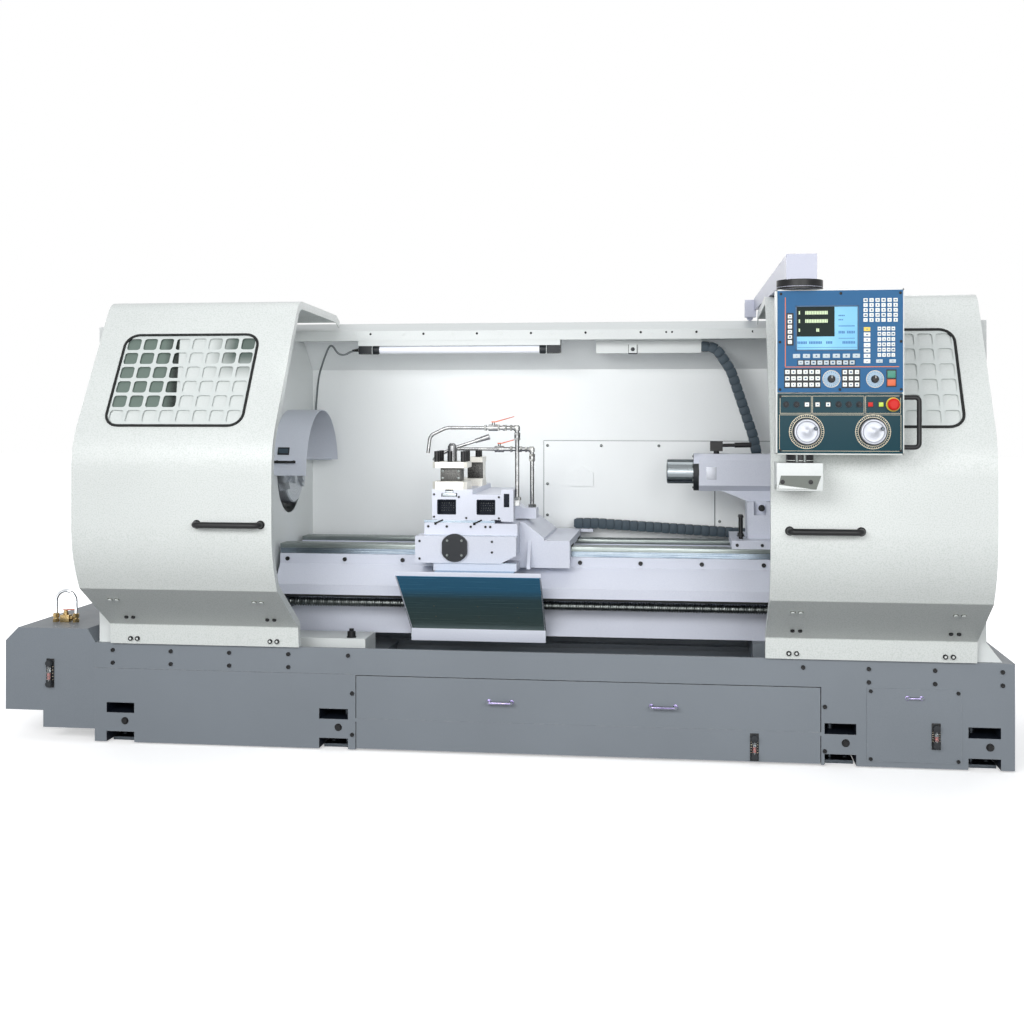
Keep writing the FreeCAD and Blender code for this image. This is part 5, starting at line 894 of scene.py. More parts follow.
def makeTicks():
    # marks on a circle in the XY plane, every fifth one longer
    tree, given, out = newLayout("ticks", [("Radius", floatSocket, 0.05), ("Count", intSocket, 50),
                                           ("Mark", vectorSocket, (0.004, 0.001, 0.0006))])
    circle = addNode(tree, "GeometryNodeMeshCircle", {"Vertices": given["Count"],
                                                      "Radius": given["Radius"]}).outputs[0]
    mark = addNode(tree, "GeometryNodeMeshCube", {"Size": given["Mark"]}).outputs[0]
    place = addNode(tree, "GeometryNodeInputPosition").outputs[0]
    turn = aligned(tree, place, axis="X", pivot_axis="Z")
    index = addNode(tree, "GeometryNodeInputIndex").outputs[0]
    fifth = math2(tree, "LESS_THAN", math2(tree, "MODULO", index, 5), 0.5)
    stretch = addNode(tree, "ShaderNodeCombineXYZ", {0: math2(tree, "ADD", fifth, 1), 1: 1, 2: 1}).outputs[0]
    return closeLayout(tree, given, out, onPoints(tree, circle, mark, Rotation=turn, Scale=stretch))


def makeRow():
    # the same shape repeated along a line
    tree, given, out = newLayout("row", [("Shape", objectSocket, None), ("Count", intSocket, 10),
                                         ("Start", vectorSocket, (0, 0, 0)),
                                         ("Step", vectorSocket, (0, 0, 0.02))])
    line = addNode(tree, "GeometryNodeMeshLine", {"Count": given["Count"], "Start Location": given["Start"],
                                                  "Offset": given["Step"]}, mode="OFFSET").outputs[0]
    return closeLayout(tree, given, out, onPoints(tree, line, objectShape(tree, given["Shape"])))


scatter, linkRun, perforated = makeScatter(), makeLinkRun(), makePerforated()
thread, ticks, row = makeThread(), makeTicks(), makeRow()


def shapeHelper(name, bm):
    # a small shape that only feeds a tree
    shape = addObject(name, meshFrom(name, bm))
    helpers.append(shape)
    return shape


def emptySource(name):
    return addObject(name, bpy.data.meshes.new(name))


def grow(name, source, tree, values, body, place=None, sharp=32):
    # runs a tree on a source and keeps what comes out as a plain mesh
    modifier = source.modifiers.new(tree.name, "NODES")
    modifier.node_group = tree
    sockets = {item.name: item.identifier for item in tree.interface.items_tree if item.in_out == "INPUT"}
    for word, value in values.items():
        modifier[sockets[word]] = value
    bpy.context.view_layer.update()
    depsgraph = bpy.context.evaluated_depsgraph_get()
    mesh = bpy.data.meshes.new_from_object(source.evaluated_get(depsgraph), depsgraph=depsgraph)
    bpy.data.objects.remove(source)
    if place:
        mesh.transform(place)
    return finishMesh(name, mesh, None, body, sharp)


def scatterShapes(name, spots, shape, material, body):
    # spots are (place in millimetres, facing, size), the size a number or three
    mesh = bpy.data.meshes.new(name + "Points")
    mesh.from_pydata([Vector(place) * mm for place, _, _ in spots], [], [])
    facing = mesh.attributes.new("facing", "FLOAT_VECTOR", "POINT")
    size = mesh.attributes.new("size", "FLOAT_VECTOR", "POINT")
    for index, (_, direction, scale) in enumerate(spots):
        facing.data[index].vector = direction
        size.data[index].vector = scale if isinstance(scale, tuple) else (scale,) * 3
    return grow(name, addObject(name + "Points", mesh), scatter, {"Shape": shape, "Material": material},
                body)


def fasten(name, places, facing, size, shape, material, body):
    # the same shape on every place, all facing one way
    return scatterShapes(name, [(place, facing, size) for place in places], shape, material, body)


def blackHeads(name, places, facing, size, shape, body):
    return fasten(name, places, facing, size, shape, blackSatin, body)


def brightHeads(name, places, facing, size, shape, body):
    return fasten(name, places, facing, size, shape, screwSteel, body)


def makeHead(name, *turned):
    # screw heads stand on their base and have a radius of one; each turned part is (foot, profile, sides)
    bm = bmesh.new()
    for foot, profile, sides in turned:
        addTurned(bm, (0, 0, foot), toTop, profile, sides)
    return shapeHelper(name, bm)


capScrew = makeHead("capScrewShape", (0, [(0, 0), (0, 1), (0.75, 1), (0.9, 0.86), (0.9, 0.56), (0.9, 0.5),
                                          (0.38, 0.48), (0.3, 0)], 18))
hexHead = makeHead("hexHeadShape", (0, [(0, 0), (0, 1.25), (0.12, 1.25), (0.12, 1)], 24),
                   (0.12, [(0, 0), (0, 1), (0.6, 1), (0.72, 0.84), (0.72, 0)], 6))
roundHead = makeHead("roundHeadShape", (0, [(0, 0), (0, 1), (0.25, 0.92), (0.42, 0.6), (0.48, 0.3),
                                            (0.42, 0.26), (0.4, 0)], 14))
print("node trees ready")


# pendant: two plates in a pale frame, keys, screen, lamps and painted lines

panel = {"face": -1030, "back": -1023.2, "x": (822.3, 1205.7), "upper": (1294.3, 1612.7),
         "lower": (1103.3, 1289.7), "edge": 1.2}
screen = {"x": (878, 1072), "z": (1424, 1566), "deep": 3, "ring": 4, "ringProud": 1.5, "ringEdge": 0.6}
controls = {"x": (849, 881, 1010, 1041, 1073), "z": 1256, "lamps": (("Red", 1107), ("Green", 1139)),
            "stop": 1176}
wheels = (("X", 912, 1171, "wheel_x", "handwheel_x"), ("Z", 1115, 1171, "wheel_z", "handwheel_z"))
dials = (("Feed", 988, 1336, "dial_feed", "feed_dial"),
         ("Spindle", 1121, 1335, "dial_spindle", "spindle_dial"))
panelFace = panel["face"]
keyRows = [
    # x first, x last, columns, z first, z last, rows, width, height, material
    (860.5, 860.5, 1, 1452, 1532, 6, 13, 12, keyWhite),
    (881, 1064, 7, 1408, 1408, 1, 22, 13, keyGrey),
    (894, 1051, 9, 1387, 1387, 1, 15, 13, keyGrey),
    (1092, 1183, 6, 1519, 1581, 5, 13, 12, keyWhite),
    (1096.5, 1096.5, 1, 1391, 1474, 6, 20, 13, keyWhite),
    (1096.5, 1096.5, 1, 1490.6, 1490.6, 1, 20, 13, keyYellow),
    (1134, 1176, 4, 1410, 1492, 6, 11, 12, keyWhite),
    (1134, 1134, 1, 1391, 1391, 1, 20, 11, keyGrey),
    (1174, 1174, 1, 1391, 1391, 1, 20, 11, keyGrey),
    (853, 946, 6, 1318, 1358, 3, 14, 13, keyWhite),
    (1029, 1066, 3, 1318, 1357, 3, 13, 13, keyWhite),
    (1170.5, 1170.5, 1, 1350, 1350, 1, 25, 22, keyGreen),
    (1170.5, 1170.5, 1, 1324, 1324, 1, 25, 20, keyOrange),
    (913, 978, 3, 1256, 1256, 1, 13, 13, keyWhite),
]


def between(first, last, count):
    return [first + (last - first) * n / max(1, count - 1) for n in range(count)]


def onPanel(bm, x, z, proud, sunk=0.2, soften=0):
    # a flat block on the panel's face, from proud of it to sunk into it
    addBox(bm, x, (panelFace - proud, panelFace + sunk), z, soften)


def rim(x, z, wide):
    # four bars just inside a rectangle
    return [(x, (z[0], z[0] + wide)), (x, (z[1] - wide, z[1])),
            ((x[0], x[0] + wide), z), ((x[1] - wide, x[1]), z)]


def makePlates():
    deep = (panelFace, panel["back"])
    (left, right), (low, high) = panel["x"], panel["upper"]
    (paneLeft, paneRight), (paneLow, paneHigh) = screen["x"], screen["z"]
    bars = [((left, paneLeft), (low, high)), ((paneRight, right), (low, high)),
            ((paneLeft, paneRight), (low, paneLow)), ((paneLeft, paneRight), (paneHigh, high))]
    boxPiece("panelUpper", [(x, deep, z) for x, z in bars], bluePanel, "pendant")
    boxPiece("panelLower", [(panel["x"], deep, panel["lower"])], tealPanel, "pendant",
             panel["edge"])
    glass = panelFace + screen["deep"]
    boxPiece("panelScreen", [(screen["x"], (glass, panel["back"]), screen["z"])], screenGlow, "pendant")
    ring = [(x, (panelFace - screen["ringProud"], glass), z)
            for x, z in rim(screen["x"], screen["z"], screen["ring"])]
    boxPiece("panelScreenRing", ring, keyDark, "pendant", screen["ringEdge"])


def makeScreenPicture():
    # bare blocks and bars in the places of the readings, as (left, right, low, high)
    picture = {
        "Dark": (screenDark, 0.5, [(882, 998, 1469, 1562)]),
        "Pale": (screenInk, 0.8, [(888, 893, 1538, 1549), (908, 978, 1538, 1549), (888, 893, 1512, 1523),
                                  (908, 978, 1512, 1523), (888, 893, 1484, 1494), (942, 952, 1484, 1494)]),
        "Ink": (keyBlue, 0.5, [(1010, 1032, 1532, 1536), (1010, 1024, 1519, 1523), (1010, 1060, 1500, 1503),
                               (1010, 1060, 1462, 1464), (1036, 1062, 1478, 1486), (1010, 1028, 1478, 1486),
                               (884, 912, 1446, 1454), (920, 960, 1446, 1454), (972, 992, 1446, 1454),
                               (1022, 1062, 1446, 1454), (884, 1066, 1434, 1435.5)]),
    }
    letter = {"wide": 5, "inked": 0.8, "tallerThan": 3}
    for word, (material, rise, blocks) in picture.items():
        bm = bmesh.new()
        for left, right, low, high in blocks:
            lettered = word != "Dark" and high - low > letter["tallerThan"]
            wide = letter["wide"] if lettered else right - left
            inked = wide * letter["inked"] if wide == letter["wide"] else wide
            for start in range(max(1, round((right - left) / wide))):
                near = left + start * wide
                onPanel(bm, (near, near + inked), (low, high), rise - screen["deep"], screen["deep"] + 0.1)
        finish("screen" + word, bm, material, "pendant")


def makeKeys():
    key = {"deep": 3.2, "edge": 1.1}
    shapes = {}
    for left, right, columns, low, high, rows, width, height, material in keyRows:
        bm = bmesh.new()
        addBox(bm, (-width / 2, width / 2), (-height / 2, height / 2), (0, key["deep"]), key["edge"])
        shape = shapeHelper("keyShape", bm)
        places = [(x, panelFace, z) for x in between(left, right, columns) for z in between(low, high, rows)]
        shapes.setdefault(material.name, []).append((shape, places, material))
    for number, group in enumerate(shapes.values()):
        for part, (shape, places, material) in enumerate(group):
            fasten(f"panelKeys{number}_{part}", places, toFront, 1, shape, material, "pendant")


def makeKeyBeds():
    # dark beds under the framed groups of keys and under the lamps
    bm = bmesh.new()
    for left, right, low, high in ((850, 872, 1441, 1543), (884, 1061, 1378, 1396), (843, 956, 1307, 1369),
                                   (1019, 1076, 1307, 1367), (1155, 1186, 1310, 1365), (904, 922, 1247, 1265),
                                   (936, 955, 1247, 1265), (969, 987, 1247, 1265),
                                   (1097, 1117, 1246, 1266), (1129, 1149, 1246, 1266)):
        onPanel(bm, (left, right), (low, high), 0.9, soften=0.4)
    finish("panelKeyBeds", bm, blackPlastic, "pendant")


def makeKeyMarks():
    # a small printed bar on each key, in three widths and three heights
    mark = {"half": 1.6, "halfStep": 0.8, "tall": 1, "tallStep": 0.7, "proud": 3.5, "foot": 3}
    bm = bmesh.new()
    for group, (left, right, columns, low, high, rows, _, _, material) in enumerate(keyRows):
        if material in (keyGreen, keyOrange):
            continue
        for column, x in enumerate(between(left, right, columns)):
            for line, z in enumerate(between(low, high, rows)):
                half = mark["half"] + (column * 3 + line * 2 + group) % 3 * mark["halfStep"]
                tall = mark["tall"] + (column + line * 2) % 3 * mark["tallStep"]
                onPanel(bm, (x - half, x + half), (z - tall, z + tall), mark["proud"], -mark["foot"])
    finish("panelKeyMarks", bm, keyDark, "pendant")


def makeLines():
    # raised painted lines: orange on the upper plate, cream frames on the lower one
    line = {"proud": 0.35, "orange": 2.4, "cream": 1, "left": 845.4, "right": 1194, "low": 1372.4,
            "top": 1592}
    frames = [((830, 927), (1228, 1283)), ((930, 1088), (1228, 1283)), ((1092, 1199), (1228, 1283)),
              ((828, 1200), (1110, 1224))]
    bm = bmesh.new()
    onPanel(bm, (line["left"], line["left"] + line["orange"]), (1373, line["top"]), line["proud"])
    onPanel(bm, (line["left"], line["right"]), (line["low"], line["low"] + line["orange"]), line["proud"])
    finish("panelOrangeLines", bm, lineOrange, "pendant")
    bm = bmesh.new()
    for across, upright in frames:
        for x, z in rim(across, upright, line["cream"]):
            onPanel(bm, x, z, line["proud"])
    finish("panelPaleLines", bm, cream, "pendant")


def makeDialRings():
    # a disc, pale rings and ticks round each wheel and each small dial
    fits = {"wheel": {"ticks": 50, "count": 50, "mark": 4.2, "ink": cream, "rings": (44.5, 52.6),
                        "disc": 43, "face": blackPlastic},
              "dial": {"ticks": 21, "count": 20, "mark": 3, "ink": keyDark, "rings": (25.6,),
                       "disc": 25, "face": dialDisc}}
    for kind, rows in (("wheel", wheels), ("dial", dials)):
        fit = fits[kind]
        for name, x, z, _, _ in rows:
            turn = (Matrix.Translation(Vector((x, panelFace - 0.1, z)) * mm)
                    @ Matrix.Rotation(tau / 4, 4, "X"))
            grow("panelTicks" + name, emptySource("ticks" + name), ticks,
                 {"Radius": fit["ticks"] * mm, "Count": fit["count"],
                  "Mark": (fit["mark"] * mm, 1.2 * mm, 0.7 * mm), "Material": fit["ink"]},
                 "pendant", turn)
            bm = bmesh.new()
            for inner in fit["rings"]:
                addTurned(bm, (x, panelFace, z), toFront,
                          [(-0.3, inner), (0.5, inner), (0.5, inner + 1.4), (-0.3, inner + 1.4)], 56, True)
            finish("panelRing" + name, bm, cream, "pendant")
            disc = [(-0.3, 0), (-0.3, fit["disc"]), (0.4, fit["disc"]), (0.4, 0)]
            turnedPiece("panelDisc" + name, [(x, panelFace, z)], toFront, disc, fit["face"], "pendant",
                        48)


def makePanelControls():
    # selector switches, signal lamps, small screws and the stop button's yellow collar
    level = controls["z"]
    places = [(x, panelFace, level) for x in controls["x"]]
    knob = [(0, 0), (0, 9), (1.6, 8.6), (1.6, 6.4), (8, 5.6), (9, 4.8), (9, 0)]
    bm = bmesh.new()
    for place in places:
        addTurned(bm, place, toFront, knob, 22)
        onPanel(bm, (place[0] - 1.2, place[0] + 1.2), (level - 5, level + 5.4), 10.6, -7, 0.5)
    finish("panelSelectors", bm, blackPlastic, "pendant")
    turnedPiece("panelSelectorRings", places, toFront, [(-0.3, 9.2), (1, 9.2), (1.6, 10.4), (-0.3, 11)],
                chainPlastic, "pendant", 28, True)
    for (word, x), material in zip(controls["lamps"], (stopRed, lampGreen)):
        bm = bmesh.new()
        onPanel(bm, (x - 7, x + 7), (level - 6.6, level + 6.6), 4.6, -0.8, 1.3)
        finish("panelLamp" + word, bm, material, "pendant")
    corners = [(833, 1603), (1017, 1603), (1198, 1603), (830, 1452), (1200, 1452), (830, 1303), (1014, 1303),
               (1200, 1303), (831, 1281), (1199, 1281), (831, 1112), (1199, 1112)]
    blackHeads("panelScrews", [(x, panelFace, z) for x, z in corners], toFront, 4.6, roundHead, "pendant")
    turnedPiece("stopCollar", [(controls["stop"], panelFace, level)], toFront,
                [(-0.3, 12), (1.2, 12), (1.2, 21), (0.4, 22), (-0.3, 22)], stopYellow, "pendant",
                40, True)


def makeDialKnobs():
    # black pointer knobs with a pale mark on the two small dials
    profile = [(0.6, 0), (0.6, 12), (3, 12), (4, 10.6), (15, 10), (17, 9), (17.8, 6), (17.8, 0)]
    for name, x, z, body, node in dials:
        bm = bmesh.new()
        addTurned(bm, (x, panelFace, z), toFront, profile, 32)
        onPanel(bm, (x - 2.6, x + 2.6), (z - 11, z + 11.6), 19.6, -4, 1)
        knob = finish("panelKnob" + name, bm, blackSatin, body)
        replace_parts(knob, node)
        bm = bmesh.new()
        onPanel(bm, (x - 0.7, x + 0.7), (z + 2, z + 11), 20, -19)
        finish("panelKnobMark" + name, bm, keyWhite, body)


def makeWheels():
    # satin wheels with a grooved rim, a dished face and a turning knob
    rimPart = [(2, 0), (2, 14), (5, 14), (6, 37.6), (7, 39), (9, 39), (9.6, 38.2), (11, 38.2), (11.6, 39),
               (20, 39), (21.6, 37.4), (22, 34)]
    facePart = [(18.6, 31), (18, 26), (19, 12), (21.6, 8), (22, 0)]
    grip = {"right": 26, "out": 18, "up": 10,
            "profile": [(0, 0), (0, 5), (2, 4.4), (9, 6), (13, 6), (15.6, 4), (16, 0)]}
    for name, x, z, body, node in wheels:
        wheel = turnedPiece("wheel" + name, [(x, panelFace, z)], toFront, rimPart + facePart, dialSatin,
                            body, 56)
        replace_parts(wheel, node)
        place = (x + grip["right"], panelFace - grip["out"], z + grip["up"])
        turnedPiece("wheelKnob" + name, [place], toFront, grip["profile"], gunSteel, body, 24)


def makePendantHandle():
    # black U handle on the right side
    handle = {"wall": 1209, "out": 1261, "y": -991, "z": (1122, 1278), "bend": 13, "thick": 15.2}
    low, high = ((handle["y"], z) for z in handle["z"])
    line = [(handle["wall"], *low), (handle["out"], *low), (handle["out"], *high), (handle["wall"], *high)]
    bm = bmesh.new()
    addTube(bm, bentLine(line, [handle["bend"]] * 2, 6), handle["thick"] / 2, 16)
    for foot in (low, high):
        addTurned(bm, (handle["wall"] + 0.6, *foot), toRight, [(0, 0), (0, 11), (3, 10.6), (4, 8)], 24)
    finish("pendantHandle", bm, blackSatin, "pendant")


makePlates()
makeScreenPicture()
makeKeys()
makeKeyBeds()
makeKeyMarks()
makeLines()
makeDialRings()
makePanelControls()
makeDialKnobs()
makeWheels()
makePendantHandle()
print("pendant panel drawn")


# pendant housing, its swivel covers and the shelf under it

def makeHousing():
    case = {"x": (818, 1210), "y": (-1012, -946), "z": (1099, 1617), "edge": 3, "lip": 6,
            "lipY": (-1026, -1010), "lid": ((842, 1186), (-947, -943.6), (1124, 1592))}
    (left, right), (low, high) = case["x"], case["z"]
    bm = bmesh.new()
    addBox(bm, case["x"], case["y"], case["z"], case["edge"])
    for x, z in (((left, left + case["lip"]), case["z"]), ((right - case["lip"], right), case["z"]),
                 (case["x"], (low, low + case["lip"])), (case["x"], (high - case["lip"], high))):
        addBox(bm, x, case["lipY"], z, 1)
    addBox(bm, *case["lid"], 1.4)
    housing = finish("pendantHousing", bm, panelEdge, "pendant")
    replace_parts(housing, "pendant_housing")
    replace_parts(bpy.data.objects["panelUpper"], "operator_panel")
    places = [(x, case["lid"][1][1], z) for x in (852, 1014, 1176) for z in (1134, 1358, 1582)]
    blackHeads("pendantBackScrews", places, toBack, 3.6, roundHead, "pendant")


def makeSwivelCovers():
    # a wide ribbed disc over the housing and a small one under it
    covers = ((1617.6, 1648.6, 72.3), (1071.6, 1099.2, 42.6))  # low, high, radius
    bm = bmesh.new()
    for low, high, radius in covers:
        tall, inner = high - low - 0.4, radius - 1.2
        addTurned(bm, (894, -988, low), toTop,
                  [(0.4, 0), (0.4, inner), (1.4, radius), (7, radius), (7.6, radius - 0.8), (9, radius - 0.8),
                   (9.6, radius), (tall - 1, radius), (tall, inner), (tall, 0)], 56)
    finish("pendantSwivelCovers", bm, blackSatin, "door_right")


def makeShelf():
    # a closed box in the CAD: its open underside, as a grey patch of painted shade with a pale foot of
    # painted light, and two knobs are laid on its front
    shelf = {"studs": (882, 906), "knobs": (838, 925), "hollowFace": -1031, "footFace": -1032}
    bm = bmesh.new()
    for x in shelf["studs"]:
        addRod(bm, (x, -1031.4, 1075), toTop, 5, 23, 0.8, 16)
    finish("pendantStuds", bm, screwSteel, "door_right")
    boxPiece("shelfFront", [((819.6, 962.4), (-1031.6, -1028), (985.6, 1072.4))], wallPaint, "door_right",
             1)
    for name, face, corners, deep, material in (
            ("shelfHollow", shelf["hollowFace"], [(833, 1033), (957, 1033), (942, 990), (823, 990)], 1.2,
             paintedShadeGrey),
            ("shelfHollowFoot", shelf["footFace"], [(827, 1004), (925, 991.5), (824.5, 991.5)], 0.6,
             cabinetPaint)):
        bm = bmesh.new()
        addPrism(bm, [(x, face, z) for x, z in corners], (0, -deep, 0))
        finish(name, bm, material, "door_right")
    turnedPiece("shelfKnobs", [(x, shelf["footFace"], 1013) for x in shelf["knobs"]], toFront,
                [(-0.5, 0), (-0.5, 7.4), (1.6, 7), (2, 5), (2, 0)], blackSatin, "door_right",
                24)


makeHousing()
makeSwivelCovers()
makeShelf()


# windows: black seal, pierced white sheet and, behind it, a pane painted with the light and shade of what
# stands behind

window = {"wide": 494, "tall": 381.9, "corner": 48, "foot": (-846.8, 1185), "sheet": 2, "pitch": 61,
          "hole": 49, "holeCorner": 10, "columns": 8, "rows": 6, "sheetOut": -1.6, "paneOut": (-7, -11),
          # the seal's section, as (wider, further out)
          "sealProfile": ((-3, -3), (6, 0.2), (6, 3.4), (4.4, 5.2), (-1, 5.2), (-3, 3.4))}
alongX, lean, leanOut = Vector((1, 0, 0)), Vector((0, 0.5336, 0.8457)), Vector((0, -0.8457, 0.5336))


def roundedOutline(width, height, corner, steps=8):
    points = []
    for quarter, (sideX, sideY) in enumerate(((1, 1), (-1, 1), (-1, -1), (1, -1))):
        for step in range(steps + 1):
            angle = tau / 4 * (quarter + step / steps)
            points.append((sideX * (width / 2 - corner) + corner * math.cos(angle),
                           sideY * (height / 2 - corner) + corner * math.sin(angle)))
    return points


def makeWindow(name, left, body, node):
    wide, tall, corner = window["wide"], window["tall"], window["corner"]
    middle = Vector((left + wide / 2, *window["foot"])) + lean * (tall / 2)
    turn = Matrix((alongX, lean, leanOut)).transposed().to_4x4()

    def ring(bm, wider, out):
        outline = roundedOutline(wide + 2 * wider, tall + 2 * wider, corner + wider)
        return [bm.verts.new(middle + alongX * x + lean * y + leanOut * out) for x, y in outline]

    grow(name + "Grille", emptySource(name + "Grille"), perforated,
         {"Width": (wide - 2) * mm, "Height": (tall - 2) * mm, "Corner": (corner - 1) * mm,
          "Thickness": window["sheet"] * mm, "Pitch": window["pitch"] * mm, "Hole": window["hole"] * mm,
          "Hole Corner": window["holeCorner"] * mm, "Columns": window["columns"], "Rows": window["rows"],
          "Material": grilleWhite}, body,
         Matrix.Translation((middle + leanOut * window["sheetOut"]) * mm) @ turn)
    bm = bmesh.new()
    rings = [ring(bm, wider, out) for wider, out in window["sealProfile"]]
    for first, second in zip(rings, rings[1:] + rings[:1]):
        for spot in range(len(first)):
            bm.faces.new((first[spot - 1], first[spot], second[spot], second[spot - 1]))
    seal = finish(name + "Seal", bm, rubber, body)
    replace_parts(seal, node)
    bm = bmesh.new()
    for out in window["paneOut"]:
        bm.faces.new(ring(bm, -2, out))
    bmesh.ops.bridge_loops(bm, edges=bm.edges[:])
    finish(name + "Pane", bm, panePaintedLightAndShade, body)


makeWindow("leftWindow", -1480, "door_left", "left_window")
makeWindow("rightWindow", 933, "door_right", "right_window")


# door handles and the doors' screws

doorPull = {"wall": -890.4, "out": -927, "z": 847, "inset": 10, "bend": 18, "thick": 21.2,
            "foot": [(-0.4, 0), (-0.4, 15), (3, 15), (4.4, 13.6), (4.4, 9)]}


def makeDoorHandle(name, first, last, body):
    left, right, z = first + doorPull["inset"], last - doorPull["inset"], doorPull["z"]
    line = [(left, doorPull["wall"], z), (left, doorPull["out"], z), (right, doorPull["out"], z),
            (right, doorPull["wall"], z)]
    bm = bmesh.new()
    addTube(bm, bentLine(line, [doorPull["bend"]] * 2, 7), doorPull["thick"] / 2, 18)
    for x in (left, right):
        addTurned(bm, (x, doorPull["wall"], z), toFront, doorPull["foot"], 28)
    finish(name, bm, blackSatin, body)


def makeDoorScrews(name, first, last, body):
    # two pairs along the hem, two on the slope, and caps in the painted-shade grey over the slope screws of
    # the solid
    slope = (0, -0.539, -0.843)
    columns = [first + 80, first + 106, last - 106, last - 80]
    spots = []
    for x in columns:
        spots.append(((x, -567.2, 394), toFront, (8.6, 8.6, 10)))
        spots.append(((x + 8, -627, 484), slope, 7.4))
    scatterShapes(name + "Screws", spots, capScrew, blackSatin, body)
    fasten(name + "SlopeCaps", [(x, -752, 563.7) for x in columns], slope, (9.5, 9.5, 9), roundHead,
           paintedShadeGrey, body)


makeDoorHandle("leftDoorHandle", -1137, -891, "door_left")
makeDoorHandle("rightDoorHandle", 860, 1106, "door_right")
makeDoorScrews("leftDoor", -1581, -863, "door_left")
makeDoorScrews("rightDoor", 810, 1522, "door_right")
print("windows and doors dressed")


# screws of the frame, pulls of the drawer and the cover

frontFace = {"base": -550, "cover": -553}


def makeFrameScrews():
    pairs = [(x, z) for x in (-1579, -1354, -1130, -906) for z in (346, 299)]
    pairs += [(-682, 346), (940, 343), (-667, 209), (-667, 59), (1014, 208), (1014, 54)]
    pairs += [(x, z) for x in (1163, 1385, 1609) for z in (343, 297)]
    spots = [((x, frontFace["base"], z), toFront, 7.4) for x, z in pairs]
    spots += [((x, frontFace["cover"], z), toFront, 6.4) for x in (1169, 1462) for z in (33, 267)]
    screws = scatterShapes("frameScrews", spots, capScrew, blackSatin, "machine_frame")
    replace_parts(screws, "frame_screws")


def makePulls():
    # bent bars on round feet: two on the drawer, a flat one on the cover
    foot = [(-0.3, 0), (-0.3, 8.4), (1.6, 8), (2.2, 5)]
    for name, left, right, wall, z, reach, thick, body in (
            ("drawerPullLeft", -170, -78, frontFace["base"], 193, 25, 10.2, "drawer"),
            ("drawerPullRight", 409, 504, frontFace["base"], 193, 25, 10.2, "drawer"),
            ("coverPull", 1288, 1345, frontFace["cover"], 246, 6, 9.2, "machine_frame")):
        left, right = left + 5, right - 5
        line = [(left, wall + 1, z), (left, wall - reach, z), (right, wall - reach, z), (right, wall + 1, z)]
        bm = bmesh.new()
        addTube(bm, bentLine(line, [5, 5], 5), thick / 2, 14)
        for x in (left, right):
            addTurned(bm, (x, wall, z), toFront, foot, 22)
        finish(name, bm, pullChrome, body)


makeFrameScrews()
makePulls()
print("base fittings drawn")


# bed: ground ways, dark groove band, bolts and the drive screw

bed = {"wayX": (-1029.6, 1100.6), "wayZ": (703.6, 720.5), "ways": ((-250.7, -154.6), (54.6, 150.7)),
       "edge": 1.2,
       "groove": ((-1029.4, 1100.4), (-240.8, -239), (682.4, 703.8)),
       "hem": ((-1016, 1099), (-321.2, -319.4), (526, 534)),
       "bolts": 10, "firstBolt": (-999, -250, 662), "boltStep": 227.5}
driveScrew = {"x": (-1016, 1099), "y": -285, "z": 502, "pitch": 10, "radius": 14.4, "depth": 1.2}


def makeWays():
    boxPiece("bedWays", [(bed["wayX"], y, bed["wayZ"]) for y in bed["ways"]], waySteel, "machine_frame",
             bed["edge"])
    boxPiece("bedGroove", [bed["groove"]], wayShade, "machine_frame")
    x, y, z = bed["firstBolt"]
    places = [(x + bed["boltStep"] * step, y, z) for step in range(bed["bolts"])]
    blackHeads("bedScrews", places, toFront, 8, capScrew, "machine_frame")
    # rubber hem under the front edge of the screw cover
    boxPiece("screwCoverHem", [bed["hem"]], rubber, "machine_frame", 0.4)


def makeDriveScrew():
    low, high = driveScrew["x"]
    turn = (Matrix.Translation(Vector((low, driveScrew["y"], driveScrew["z"])) * mm)
            @ Matrix.Rotation(tau / 4, 4, "Y"))
    wound = grow("driveScrewThread", emptySource("driveScrewThread"), thread,
                 {"Length": (high - low) * mm, "Pitch": driveScrew["pitch"] * mm,
                  "Radius": driveScrew["radius"] * mm, "Depth": driveScrew["depth"] * mm,
                  "Material": screwSteel}, "drive_screw", turn, 50)
    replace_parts(wound, "z_ballscrew")


makeWays()
makeDriveScrew()


# energy chains: one link repeated along each bent line

chain = {"pitch": 32, "height": 38}


def makeLink(name, pitch, width):
    # two side plates with a lap and a pin each, and two cross bars
    height = chain["height"]
    bm = bmesh.new()
    for side in (-1, 1):
        edge = side * width / 2
        addBox(bm, (-pitch / 2 + 1, pitch / 2 - 1), sorted((edge, edge - side * 4)),
               (-height / 2, height / 2), 1.6)
        addBox(bm, (-pitch / 2 - 5, pitch / 2 - 6), sorted((edge - side * 4, edge - side * 6)),
               (-height * 0.42, height * 0.42))
        addRod(bm, (pitch / 2 - 6, edge + side * 0.6, 0), (0, -side, 0), 4.4, 2, 0.3, 10)
    for low in (-height / 2 - 0.8, height / 2 - 2.4):
        addBox(bm, (-pitch * 0.32, pitch * 0.32), (-width / 2 + 1, width / 2 - 1), (low, low + 3.2), 0.8)
    return shapeHelper(name, bm)


def makeChain(name, points, radii, low, high, body, node):
    # points are (x, z), the chain lies between low and high in depth
    line = bentLine([(x, (low + high) / 2, z) for x, z in points], radii, 10)
    length = sum((after - before).length for before, after in zip(line, line[1:]))
    count = round(length / chain["pitch"])
    curve = bpy.data.curves.new(name, "CURVE")
    layCurve(curve, "POLY", line)
    links = grow(name, addObject(name + "Line", curve), linkRun, {
        "Link": makeLink(name + "Link", length / count, high - low), "Count": count,
        "Pitch": length / count * mm, "Material": chainPlastic}, body)
    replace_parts(links, node)


